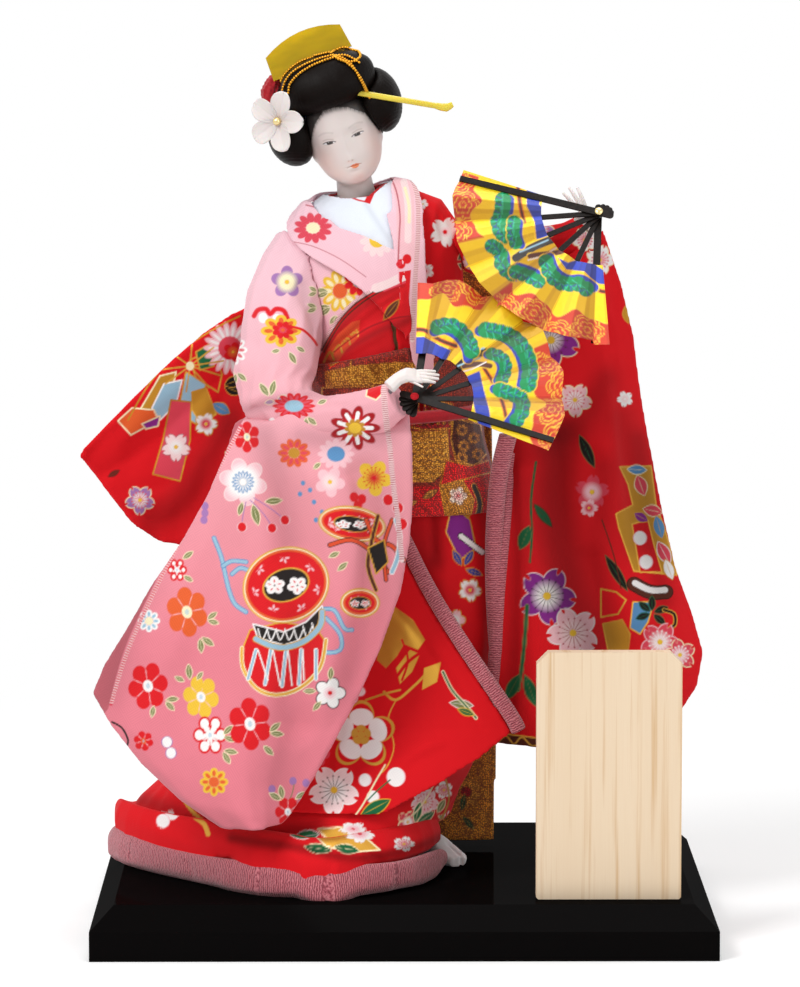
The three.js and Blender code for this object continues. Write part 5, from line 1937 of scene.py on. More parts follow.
SKIRT_PRINT: tuple[Motif, ...] = (
    Plum(168, 819, 9, 10, Ink.WHITE, Ink.PALE_PINK, heart=Ink.RED, notch=0.0),
    Line(((184, 800), (193, 812), (203, 822), (207, 830)), 4, Ink.GOLD, gold=0.8),
    Leaves(290, 838, 26, (8,), Ink.GREEN, Ink.WHITE, slim=0.36),
    Leaves(300, 845, 24, (-6,), Ink.GREEN),
    Field(((318, 829), (352, 826), (372, 836), (382, 850), (356, 848), (330, 843)), Ink.GOLD, Ink.CREAM,
          gold=0.8),
    Plum(353, 829, 14, 20, Ink.WHITE, Ink.PALE_PINK, heart=Ink.ROSE, squash=0.5),
    Plum(404, 843, 10, 0, Ink.WHITE, Ink.PALE_PINK, stamens=Ink.ROSE, squash=0.6),
    Plum(425, 802, 13, 15, Ink.PALE_PINK, Ink.WHITE, Ink.WHITE, stamens=Ink.ROSE),
    Plum(444, 790, 9, 40, Ink.WHITE, Ink.PALE_PINK, stamens=Ink.ROSE),
    Plum(408, 822, 10, 5, Ink.ROSE, Ink.WHITE, Ink.CREAM),
    Leaves(414, 826, 22, (35, 75), Ink.GREEN),
    Leaves(436, 815, 16, (-20, 60)),
    Line(((446, 780), (449, 800), (441, 822), (438, 845)), 1.6, Ink.GOLD, gold=0.8),
    Line(((400, 822), (416, 812), (430, 792), (437, 776)), 1.4, Ink.CREAM, gold=0.4),
    Daisy(452, 818, 8, 0.0, 9, Ink.WHITE, Ink.ORANGE),
    Plum(250, 760, 20, 0, Ink.WHITE, Ink.PALE_PINK, Ink.GOLD, stamens=Ink.ROSE),
    Plum(190, 745, 15, 30, Ink.PALE_PINK, Ink.WHITE, Ink.CREAM),
    Leaves(215, 780, 22, (20, 100, 170), Ink.GREEN),
    Plum(300, 700, 17, 12, Ink.LILAC, Ink.WHITE, Ink.GOLD, stamens=Ink.ROSE),
    Field(((330, 640), (372, 632), (380, 668), (350, 690), (322, 676)), Ink.GOLD, Ink.CREAM, gold=0.8),
    Camellia(280, 640, 18, 10, Ink.WHITE, Ink.YELLOW),
    Leaves(262, 668, 22, (-60, 10, 80), Ink.GREEN),
    Plum(345, 560, 18, 40, Ink.WHITE, Ink.PALE_PINK, Ink.GOLD),
    Plum(400, 505, 12, 10, Ink.WHITE, Ink.PALE_PINK, Ink.GOLD),
    Field(((446, 452), (470, 455), (482, 500), (466, 520), (448, 500)), Ink.OCHRE, Ink.GOLD, gold=0.5),
    Plum(469, 482, 8, 0, Ink.WHITE, Ink.PALE_PINK, heart=Ink.ROSE, notch=0.0),
    Plum(470, 500, 7, 20, Ink.WHITE, Ink.PALE_PINK, heart=Ink.ROSE, notch=0.0),
    Field(((452, 505), (470, 520), (476, 548), (460, 560), (446, 532)), Ink.PURPLE, Ink.GOLD),
    Line(((461, 536), (474, 546), (482, 552)), 5, Ink.WHITE, Ink.BLACK),
    Leaves(463, 568, 18, (60, -20, 120), Ink.NAVY, Ink.GOLD),
    Plum(470, 590, 11, 10, Ink.WHITE, Ink.ROSE, Ink.GOLD),
    Plum(455, 620, 10, 0, Ink.PALE_PINK, Ink.WHITE, Ink.GOLD),
    Shade(((140, 800), (200, 818), (260, 828), (320, 830)), 10, 45),
    Shade(((412, 520), (430, 600), (470, 680)), 14, 35),
    Shade(((400, 800), (430, 786), (452, 764)), 10, 35),
    Shade(((440, 480), (436, 520), (436, 560)), 10, 40),
)

RED_HEM_PRINT: tuple[Motif, ...] = (
    Dots(((172, 813), (163, 821)), 6.0, Ink.WHITE, Ink.PALE_PINK),
    Line(((186, 806), (194, 816), (204, 824), (208, 834)), 5, Ink.GOLD, gold=0.8),
    Leaves(286, 836, 30, (10,), Ink.GREEN, Ink.WHITE, slim=0.36),
    Leaves(300, 846, 28, (-8,), Ink.GREEN),
    Field(((312, 832), (340, 830), (366, 838), (380, 850), (352, 852), (326, 846)), Ink.GOLD, Ink.CREAM,
          gold=0.8),
    Leaves(330, 846, 26, (-10,), Ink.GREEN),
    Plum(360, 834, 15, 20, Ink.WHITE, Ink.PALE_PINK, heart=Ink.ROSE, squash=0.6),
    Plum(404, 844, 11, 0, Ink.WHITE, Ink.PALE_PINK, stamens=Ink.ROSE, squash=0.7),
    Shade(((232, 838), (300, 848), (350, 858), (400, 852), (440, 838)), 5, 50),
    Shade(((120, 850), (180, 868), (250, 878), (330, 888), (400, 872), (444, 858)), 5, 25),
)

FLAP_PRINT: tuple[Motif, ...] = (
    Field(((391, 604), (402, 612), (413, 620), (425, 640), (418, 650), (404, 644), (397, 656), (386, 668),
          (377, 660), (380, 640), (384, 620)), Ink.GOLD, gold=0.9),
    Field(((424, 668), (441, 662), (437, 682), (422, 690)), Ink.GOLD, gold=0.9),
    Field(((396, 668), (410, 650), (420, 654), (412, 672), (400, 684)), Ink.GOLD, gold=0.9),
    Line(((372, 690), (390, 684), (408, 662), (425, 650)), 3.2, Ink.RED),
    Line(((402, 640), (408, 660), (402, 680)), 2.2, Ink.RED),
    Line(((366, 700), (384, 694), (400, 690)), 2.0, Ink.GOLD, gold=0.9),
    Line(((384, 692), (396, 700), (414, 686), (424, 676)), 2.6, Ink.GOLD, gold=0.9),
    Line(((396, 700), (388, 720), (394, 745), (388, 765), (378, 776)), 1.2, Ink.GOLD, gold=0.8),
    Plum(361, 735, 34, 55, Ink.GOLD, Ink.GOLD, heart=Ink.GOLD, notch=0.0, fade=0.0),
    Plum(361, 735, 31, 55, Ink.RED, Ink.RED, heart=Ink.RED, notch=0.0, fade=0.0),
    Daisy(361, 735, 26, 55, 5, Ink.WHITE, Ink.RED, heart_share=0.28),
    Daisy(361, 735, 10, 55, 5, Ink.GOLD, Ink.GOLD, heart_share=0.4),
    Plum(334, 790, 24, 20, Ink.SHELL_PINK, Ink.WHITE, Ink.WHITE, stamens=Ink.BROWN),
    Plum(352, 690, 13, 10, Ink.SHELL_PINK, Ink.WHITE, Ink.ROSE, notch=0.0, fade=0.6),
    Dots(((396, 777),), 8.5, Ink.WHITE, Ink.PALE_PINK),
    Dots(((365, 780), (373, 797)), 5.5, Ink.WHITE, Ink.PALE_PINK),
    Line(((385, 765), (374, 784), (362, 806), (350, 822)), 1.6, Ink.CREAM),
    Line(((390, 780), (378, 790), (368, 800)), 1.4, Ink.GREEN),
    Leaves(356, 818, 34, (28,), Ink.GREEN, Ink.YELLOW, slim=0.34),
    Leaves(446, 702, 24, (-8,), rim=Ink.WHITE),
    Line(((443, 672), (452, 690), (466, 706), (476, 718)), 1.8, Ink.GREEN, Ink.CREAM),
    Leaves(455, 708, 18, (-20,), Ink.GREEN, Ink.YELLOW),
    Camellia(318, 752, 12, 10, Ink.ROSE),
)


@dataclass
class Skirt:
    """Two padded hem rolls, the skirt, its front flap and the flap's crepe piping."""

    roll_voxel: float = 1.05
    skirt_voxel: float = 1.6
    flap_voxel: float = 0.98

    def make(self, wardrobe: Wardrobe) -> None:
        """Makes the skirt's pieces.

        Args:
            wardrobe: The finishes.
        """
        hem = line_counter([(x, y, 0) for x, y in HEM_LINE])
        Cloth("hem_roll_pink", "old_rose_crepe", Ink.OLD_ROSE, self.roll_voxel, 26, HEM_FOLDS, fill=0.9,
              pulls=HEM_PULLS, puff=0.3,
              along=lambda p: hem(p * np.array([1, 1, 0]))).make(wardrobe.rose)
        Cloth("hem_roll_red", "red_brocade", Ink.RED, self.roll_voxel, 26, RED_HEM_FOLDS, fill=0.8,
              prints=RED_HEM_PRINT, pulls=RED_HEM_PULLS, puff=0.4,
              along=lambda p: hem(p * np.array([1, 1, 0]))).make(wardrobe.red)
        Cloth("skirt", "red_brocade", Ink.RED, self.skirt_voxel, 36, SKIRT_FOLDS, SKIRT_PRINT,
              pulls=SKIRT_PULLS, flat=(0.48, 0.2), held=Hold.DRAPED).make(wardrobe.red)
        Cloth("skirt_flap", "red_brocade", Ink.RED, self.flap_voxel, 40, FLAP_FOLDS, FLAP_PRINT,
              flat=(0.11, 0.14), held=Hold.FOLDED, rests_on=("skirt",)).make(wardrobe.red)
        edge = line_counter([(-2, -41, 197.3), (13, -50, 168.3), (32, -57, 138.3), (53, -60, 107.3),
                             (56, -60, 101)])
        Cloth("flap_piping", "old_rose_crepe", Ink.OLD_ROSE, 0.7, 16, fill=0.9,
              along=edge).make(wardrobe.rose)


HEM_PULLS = (
    Pull(((318, 896), (336, 896)), 24, (0, 7, -2)),
    Pull(((240, 890), (262, 892)), 30, (0, 2, 0)),
    Pull(((366, 890), (400, 890)), 24, (0, -2, 0)),
    Pull(((118, 838), (150, 856), (200, 868), (250, 874), (300, 878), (360, 878), (400, 874), (440, 862)),
         15,
         (0, -11, 3)),
)
RED_HEM_PULLS = (
    Pull(((128, 836), (146, 842), (172, 848), (204, 856)), 15, (0, 13, -2)),
    Pull(((246, 862), (272, 868), (302, 872)), 17, (0, 13, -3)),
    Pull(((112, 806), (150, 820), (200, 829), (250, 835), (300, 838), (350, 838), (400, 836), (446, 824)),
         13,
         (0, -9, 3)),
    Pull(((312, 868), (340, 870)), 34, (0, 14, -3)),
    Pull(((140, 852), (160, 856)), 32, (0, -7, 0)),
    Pull(((236, 866), (250, 866)), 20, (0, -4, 0)),
    Pull(((380, 868), (440, 860)), 24, (0, -3, 0)),
)
SKIRT_PULLS = (
    Pull(((112, 800), (150, 812), (200, 822), (250, 828), (300, 832), (350, 834), (400, 830), (444, 818)),
         16,
         (0, 6, -3)),
)
HEM_FOLDS = (
    Fold(((326, 880), (329, 894), (327, 905)), 1.6, 1.3),
    Fold(((189, 862), (192, 876), (190, 884)), 1.4, 0.5),
    Fold(((252, 880), (256, 890)), 1.5, 0.5),
    Fold(((400, 868), (398, 884), (394, 892)), 1.4, 0.5),
    Fold(((120, 842), (130, 852), (134, 862)), 1.6, 0.5),
)
RED_HEM_FOLDS = (
    Fold(((232, 826), (262, 832), (300, 846)), 2.0, 0.8),
    Fold(((326, 852), (332, 862), (330, 872)), 2.0, 1.2),
    Fold(((360, 850), (378, 858), (384, 866)), 1.8, 0.8),
    Fold(((300, 838), (318, 850), (338, 856)), 2.2, -0.7),
    Fold(((140, 816), (170, 828), (200, 842)), 2.4, 0.8),
)
SKIRT_FOLDS = (
    Fold(((380, 835), (410, 820), (440, 790)), 2.4, 1.4),
    Fold(((395, 850), (425, 836), (450, 812)), 2.2, 1.2),
    Fold(((405, 800), (425, 785), (440, 770)), 2.0, -1.2),
    Fold(((270, 830), (300, 826), (340, 822)), 2.6, 1.2),
    Fold(((180, 815), (215, 822), (250, 826)), 2.6, 1.0),
    Fold(((428, 470), (432, 520), (434, 560)), 2.2, 1.2),
    Fold(((415, 560), (440, 610), (470, 660)), 3.0, 1.4),
)
FLAP_FOLDS = (
    Fold(((391, 605), (420, 640), (455, 690), (482, 728)), 2.2, 0.9),
    Fold(((380, 770), (410, 755), (450, 738)), 3.2, -0.9),
    Fold(((345, 700), (335, 740), (322, 780)), 3.2, 1.0),
    Fold(((400, 640), (385, 700), (372, 760)), 5.0, -0.7),
)


# Bodices and collars

PINK_BODICE_PRINT: tuple[Motif, ...] = (
    Daisy(313, 228, 19, 20, 12, Ink.ROSE, Ink.CREAM, squash=0.8),
    Daisy(340, 291, 20, 0, 10, Ink.YELLOW, Ink.ORANGE, Ink.CREAM, squash=1.05),
    Leaves(330, 292, 12, (170, 200)),
    Leaves(332, 306, 13, (190, 220)),
    Leaves(337, 314, 11, (235, 265)),
    Daisy(358, 282, 14, 0, 9, Ink.RED, Ink.SKY),
    Plum(287, 282, 16, -18, Ink.LILAC, Ink.CREAM, notch=0.0, fade=0.55),
)

COLLAR_PINK_RIGHT_PRINT: tuple[Motif, ...] = (
    Daisy(313, 228, 19, 20, 12, Ink.ROSE, Ink.CREAM, squash=0.8),
    Daisy(377, 240, 17, 10, 11, Ink.SHELL_PINK, Ink.YELLOW, heart_share=0.45),
    Line(((306, 205), (333, 212), (362, 226), (396, 247)), 1.3, Ink.OLD_ROSE),
    Line(((288, 241), (312, 246), (340, 259), (366, 277)), 0.8, Ink.OLD_ROSE),
)

WHITE_COLLAR_PRINT: tuple[Motif, ...] = (
    Field(((376, 172), (382, 176), (376, 190), (370, 204), (364, 202), (372, 186)), Ink.RED, around=True),
    Line(((334, 190), (346, 195), (358, 200), (368, 202)), 1.6, Ink.RED),
    Shade(((366, 204), (376, 220), (388, 238), (394, 248)), 3, 12),
)

RIGHT_COLLAR_PULLS = (
    Pull(((388, 226), (394, 249), (400, 285), (404, 330)), 12, (7, 0, 1)),
    Pull(((306, 210), (318, 214), (332, 220)), 12, (0, -7, 0)),
)
LEFT_COLLAR_PULLS = (
    Pull(((390, 215), (398, 250), (401, 290), (404, 330)), 10, (-3, 0, -0.6)),
)

COLLAR_PINK_LEFT_PRINT: tuple[Motif, ...] = (
    Field(((388, 170), (404, 172), (414, 190), (415, 262), (398, 270), (396, 200)), Ink.PALE_PINK),
    Line(((404, 182), (408, 205), (408, 240)), 7, Ink.SHELL_PINK),
    Line(((405, 188), (409, 206), (409, 222)), 3, Ink.CREAM),
    Line(((388, 173), (396, 190), (400, 215), (399, 240), (398, 266)), 1.5, Ink.OLD_ROSE),
    Stitches(((404, 172), (414, 184), (418, 204), (418, 236), (416, 268), (414, 300), (412, 340)), 4.6,
          1.8),
    Dots(((407, 259), (401, 264)), 4.4, Ink.RED),
    Leaves(404, 262, 8, (200,), Ink.RED, Ink.ROSE),
    Field(((399, 272), (411, 270), (409, 300), (410, 350), (400, 350)), Ink.RED),
)

RED_BODICE_PRINT: tuple[Motif, ...] = (
    Plum(445, 232, 15, 8, Ink.WHITE, Ink.PALE_PINK, heart=Ink.RED, notch=1.2, fade=0.2),
    Plum(426, 271, 8, 30, Ink.WHITE, Ink.PALE_PINK, heart=Ink.RED, notch=1.2),
    Plum(423, 204, 5, 10, Ink.WHITE, Ink.WHITE),
    Leaves(402, 305, 34, (58,), Ink.GREEN, slim=0.22),
    Leaves(396, 318, 20, (40,), slim=0.2),
    Plum(470, 215, 11, 20, Ink.LILAC, Ink.WHITE, Ink.CREAM),
    Leaves(455, 262, 22, (-30, 40), Ink.GREEN),
)

UNDER_FOLD: tuple[Motif, ...] = (
    Field(((312, 372), (322, 352), (331, 334), (342, 317), (356, 303), (372, 292), (386, 284), (398, 279),
          (412, 273), (414, 300), (414, 352), (404, 372)), Ink.RED, around=True),
    # Painted shadow along the seam at the field's upper edge.
    Line(((324, 352), (333, 335), (344, 319), (358, 306), (374, 295), (390, 287)), 1.6, Ink.BROWN,
          around=True),
    Shade(((326, 354), (336, 336), (350, 318), (374, 299), (400, 285)), 4, 35),
    # Painted shadow along the seam at the field's upper edge, wider.
    Line(((322, 350), (331, 333), (342, 317), (356, 303), (374, 291)), 2.2, Ink.BROWN),
    Stitches(((321, 346), (330, 331), (341, 315), (355, 301), (371, 291)), 3.0, 1.7),
    Line(((376, 288), (388, 284), (400, 278), (410, 274)), 9.0, Ink.SHELL_PINK),
    Line(((384, 291), (396, 286), (408, 281)), 1.6, Ink.ROSE),
    Field(((318, 372), (326, 352), (338, 334), (352, 322), (360, 320), (358, 338), (346, 350), (334, 368)),
          Ink.VERMILION, gold=0.3),
    *(Line(((324 + 9 * k, 362 - 9 * k), (330 + 9 * k, 352 - 7 * k), (334 + 8 * k, 360 - 8 * k)), 2.0,
          Ink.GOLD, gold=0.8) for k in range(4)),
    Leaves(381, 323, 26, (52,), Ink.BROWN, Ink.OCHRE, slim=0.26),
    Shade(((332, 362), (356, 344), (386, 328), (412, 318)), 4, 40),
    Line(((334, 352), (352, 338), (372, 326), (396, 318), (412, 316)), 1.6, Ink.DEEP_RED),
)

UNDER_FOLDS = (
    Fold(((330, 352), (352, 332), (376, 312), (408, 292)), 1.8, 1.2),
    Fold(((334, 362), (360, 346), (392, 328), (412, 318)), 2.0, -0.8),
)

BODICE_FOLDS = (
    Fold(((330, 330), (360, 305), (398, 275)), 1.6, 0.9),
    Fold(((338, 348), (372, 322), (408, 300)), 2.0, 1.1),
    Fold(((300, 292), (312, 316), (318, 342)), 2.2, 1.0),
    Fold(((425, 190), (450, 200), (476, 212)), 2.6, 0.5),
)


@dataclass
class Bodice:
    """The pink and the red half of the crossed bodice and the four collars."""

    half_voxel: float = 1.05
    collar_voxel: float = 0.62

    def make(self, wardrobe: Wardrobe) -> None:
        """Makes the bodice's pieces.

        Args:
            wardrobe: The finishes.
        """
        Cloth("bodice_right", "pink_crepe", Ink.PINK, self.half_voxel, 30, BODICE_FOLDS + UNDER_FOLDS,
              PINK_BODICE_PRINT + UNDER_FOLD,
              flat=(0.115, 0.12), held=Hold.STRETCHED).make(wardrobe.pink)
        Cloth("bodice_left", "red_brocade", Ink.RED, self.half_voxel, 30, BODICE_FOLDS, RED_BODICE_PRINT,
              flat=(0.115, 0.12), held=Hold.STRETCHED).make(wardrobe.red)
        Cloth("collar_white", "white_cloth", Ink.SNOW, self.collar_voxel, 16, prints=WHITE_COLLAR_PRINT,
              flat=(0.13, 0.022), held=Hold.FOLDED).make(wardrobe.collar_white)
        Cloth("collar_red", "red_brocade", Ink.RED, 0.35, 6,
              flat=(0.028, 0.01), held=Hold.FOLDED).make(wardrobe.collar_red)
        Cloth("collar_pink_right", "pink_crepe", Ink.PINK, self.collar_voxel, 16, UNDER_FOLDS,
              COLLAR_PINK_RIGHT_PRINT + UNDER_FOLD, pulls=RIGHT_COLLAR_PULLS, flat=(0.11, 0.016),
              held=Hold.FOLDED).make(wardrobe.pink)
        Cloth("collar_pink_left", "pink_crepe", Ink.PINK, self.collar_voxel, 16,
              prints=COLLAR_PINK_LEFT_PRINT, pulls=LEFT_COLLAR_PULLS, flat=(0.11, 0.015),
              held=Hold.FOLDED).make(wardrobe.pink)


# Sash, its tie, knot and tails

OBI_PRINT: tuple[Motif, ...] = (
    Field(((300, 484), (400, 487), (440, 486), (492, 472), (500, 478), (500, 540), (300, 540)), Ink.RED,
          around=True),
    Field(((322, 345), (345, 325), (352, 330), (370, 322), (372, 345), (330, 368)), Ink.GOLD, Ink.RED,
          gold=0.9),
    Field(((352, 352), (372, 342), (400, 338), (432, 338), (432, 358), (380, 372), (350, 372)), Ink.RUST,
          Ink.GOLD, gold=0.3),
    *(Line(((x, 340), (x + 1, 368)), 1.0, Ink.DEEP_RED) for x in range(356, 432, 5)),
    Field(((324, 372), (352, 366), (396, 362), (440, 364), (436, 376), (380, 384), (326, 388)), Ink.GOLD,
          gold=1.0),
    Field(((322, 388), (380, 386), (430, 378), (432, 396), (380, 404), (322, 404)), Ink.RUST, Ink.GOLD,
          gold=0.4),
    Field(((396, 398), (430, 400), (452, 404), (452, 428), (424, 430), (398, 424)), Ink.DEEP_RED, Ink.GOLD),
    Dots(tuple(((400 + 6 * (k % 9) + 2 * (k // 9 % 2), 405 + 6 * (k // 9)) for k in range(36))), 1.7,
          Ink.OCHRE),
    Field(((398, 430), (420, 432), (448, 430), (450, 466), (434, 482), (400, 482)), Ink.GOLD, gold=0.85),
    *(Line(tuple(((398 + 4 * i, 436 + 6 * k + 2.2 * (i % 2)) for i in range(13))), 0.9, Ink.BROWN)
          for k in range(8)),
    Field(((453, 418), (480, 424), (488, 452), (476, 466), (456, 460), (451, 440)), Ink.BROWN, Ink.GOLD,
          gold=0.4),
    *(Daisy(x, y, 6, 20 * x, 7, Ink.OCHRE, Ink.BROWN) for x, y in ((462, 430), (474, 438), (464, 446),
          (478, 454), (462, 458))),
    Field(((446, 460), (470, 466), (490, 460), (492, 472), (440, 486)), Ink.RED, Ink.OCHRE),
    Line(((340, 340), (352, 334), (366, 336)), 1.4, Ink.RED),
    Leaves(420, 500, 18, (30, 200), Ink.GOLD, Ink.BROWN),
    Field(((440, 486), (462, 480), (474, 500), (470, 520), (446, 518)), Ink.OCHRE, Ink.GOLD, gold=0.4),
    Plum(458, 496, 9, 0, Ink.WHITE, Ink.PALE_PINK, heart=Ink.ROSE, notch=0.0),
    Line(((474, 486), (480, 504), (476, 520)), 4.0, Ink.BLACK, Ink.GOLD),
)

PLEATS = tuple(Fold(((x, 340), (x + 1, 352), (x + 1, 364)), 0.55, 0.5) for x in range(370, 436, 5))
OBI_FOLDS = PLEATS + (
    Fold(((326, 366), (380, 352), (440, 344)), 1.6, 1.0),
    Fold(((326, 392), (380, 386), (436, 376)), 1.6, 0.9),
    Fold(((400, 486), (425, 484), (450, 474)), 1.8, 0.9),
    Fold(((450, 425), (454, 450), (450, 480)), 1.6, 1.0),
)

TAIL_PRINT: tuple[Motif, ...] = (
    *(Daisy(430 + 14 * (k % 3) + 22, 470 + 46 * k, 15, 12 * k, 10, Ink.GOLD, Ink.DEEP_RED)
      for k in range(8)),
    *(Leaves(445 + 16 * (k % 2), 492 + 46 * k, 18, (30 + 40 * k, 160 + 40 * k), Ink.GREEN, Ink.GOLD)
      for k in range(8)),
)


@dataclass
class Sash:
    """The wide brocade sash, the twisted tie on it, the knot behind and its two hanging tails."""

    voxel: float = 1.25

    def make(self, wardrobe: Wardrobe) -> None:
        """Makes the sash's pieces.

        Args:
            wardrobe: The finishes.
        """
        Cloth("obi", "gold_brocade", Ink.RUST, self.voxel, 30, OBI_FOLDS, OBI_PRINT,
              flat=(0.28, 0.09), held=Hold.STRETCHED).make(wardrobe.brocade)
        Cloth("obi_sash", "red_brocade", Ink.RED, 0.55, 14, along=self.round_waist, fill=0.9,
              ).make(wardrobe.hair_red)
        Cloth("obi_knot", "gold_brocade", Ink.OCHRE, self.voxel, 26, KNOT_FOLDS, KNOT_PRINT,
              fill=0.6).make(wardrobe.brocade)
        for side, cut in (("left", 0.062), ("right", 0.058)):
            Cloth(f"obi_tail_{side}", "gold_brocade", Ink.OCHRE, self.voxel, 24, (), TAIL_PRINT,
                  flat=(cut, 0.262), held=Hold.HUNG, rests_on=("obi_knot",)).make(wardrobe.brocade)

    @staticmethod
    def round_waist(points: np.ndarray) -> np.ndarray:
        """Counts millimetres round the waist."""
        return np.arctan2(points[:, 1], points[:, 0]) * 42


KNOT_FOLDS = (
    Fold(((270, 320), (340, 322), (420, 318), (470, 322)), 4.0, 1.2),
    Fold(((280, 345), (345, 338), (410, 346), (470, 340)), 3.0, 0.9),
)
KNOT_PRINT: tuple[Motif, ...] = (
    *(Daisy(300 + 46 * (k % 4), 300 + 38 * (k // 4), 17, 9 * k, 10, Ink.GOLD, Ink.DEEP_RED)
      for k in range(8)),
    *(Plum(322 + 46 * (k % 4), 318 + 38 * (k // 4), 10, 9 * k, Ink.DEEP_RED, Ink.GOLD, Ink.CREAM,
           notch=0.0) for k in range(8)),
)


# Sleeves

CUFF_FLOWER: tuple[Motif, ...] = (
    Plum(355, 428, 25, 0, Ink.DEEP_RED, Ink.RED, heart=Ink.RED, notch=0.0, petals=9, squash=0.88),
    *(Line(tuple((355 + far * math.cos(math.radians(40 * k)),
                  428 + far * 0.88 * math.sin(math.radians(40 * k))) for far in (9, 17)),
           4.0, Ink.WHITE) for k in range(9)),
    Daisy(355, 428, 10.5, 10, 9, Ink.OCHRE, Ink.YELLOW, squash=0.85, heart_share=0.6),
)
ARM_PRINT: tuple[Motif, ...] = (
    Plum(287, 282, 16, -18, Ink.LILAC, Ink.CREAM, notch=0.0, fade=0.55),
    Daisy(313, 228, 19, 20, 12, Ink.ROSE, Ink.CREAM, squash=0.8),
    Daisy(340, 291, 20, 0, 10, Ink.YELLOW, Ink.ORANGE, Ink.CREAM, squash=1.05),
    Leaves(318, 292, 9, (150, 200)),
    Leaves(318, 308, 10, (160, 200)),
    Line(((254, 316), (258, 310), (266, 309), (270, 314), (276, 309), (284, 311), (288, 320)), 3.2, Ink.RED,
          Ink.ROSE),
    Dots(((263, 318), (277, 319)), 4.6, Ink.WHITE),
    Daisy(281, 331, 20, 0, 8, Ink.YELLOW, Ink.ROSE, Ink.ORANGE, squash=0.8),
    Daisy(283, 330, 11, 20, 8, Ink.RED, Ink.ORANGE, squash=0.8, heart_share=0.2),
    Line(((293, 327), (303, 330), (312, 338), (317, 345)), 2.6, Ink.RED),
    Leaves(270, 352, 9, (10,)),
    Leaves(288, 350, 14, (-60,)),
    Leaves(295, 346, 10, (-30,)),
    Leaves(270, 398, 16, (125, 75)),
    Leaves(276, 401, 10, (190, 30), Ink.LILAC),
    Daisy(294, 406, 21, 0, 14, Ink.RED, Ink.SKY, Ink.ROSE, squash=0.62, heart_share=0.45),
    Leaves(316, 404, 10, (20,)),
    Leaves(306, 416, 12, (-40, -90)),
    Leaves(293, 420, 11, (-80, -110)),
    *CUFF_FLOWER,
    Leaves(370, 446, 9, (-20, 60)),
    Camellia(247, 437, 13, 30, Ink.RED, Ink.CREAM),
    Daisy(272, 430, 12, 0, 8, Ink.WHITE, Ink.YELLOW),
    Daisy(294, 453, 16, 0, 10, Ink.ORANGE, Ink.OCHRE, Ink.ROSE, squash=0.9),
    Daisy(282, 441, 8, 0, 8, Ink.YELLOW, Ink.OCHRE),
    Daisy(336, 454, 18, 0, 12, Ink.PALE_PINK, Ink.BLUE, squash=0.85, heart_share=0.5),
    Daisy(232, 350, 15, 0, 10, Ink.WHITE, Ink.YELLOW, Ink.ROSE),
    Leaves(236, 372, 12, (200, 260, 320)),
    Field(((368, 384), (382, 380), (384, 392), (376, 400), (366, 396)), Ink.RED, Ink.CREAM, gold_rim=0.0),
    Stitches(((387, 378), (384, 390), (385, 408), (388, 436)), 6.0, 2.0),
    Shade(((302, 286), (314, 316), (322, 350)), 9, 22),
    Shade(((236, 414), (262, 406), (292, 398), (326, 392)), 7, 25),
    Shade(((262, 424), (300, 430), (350, 436)), 10, 16),
)

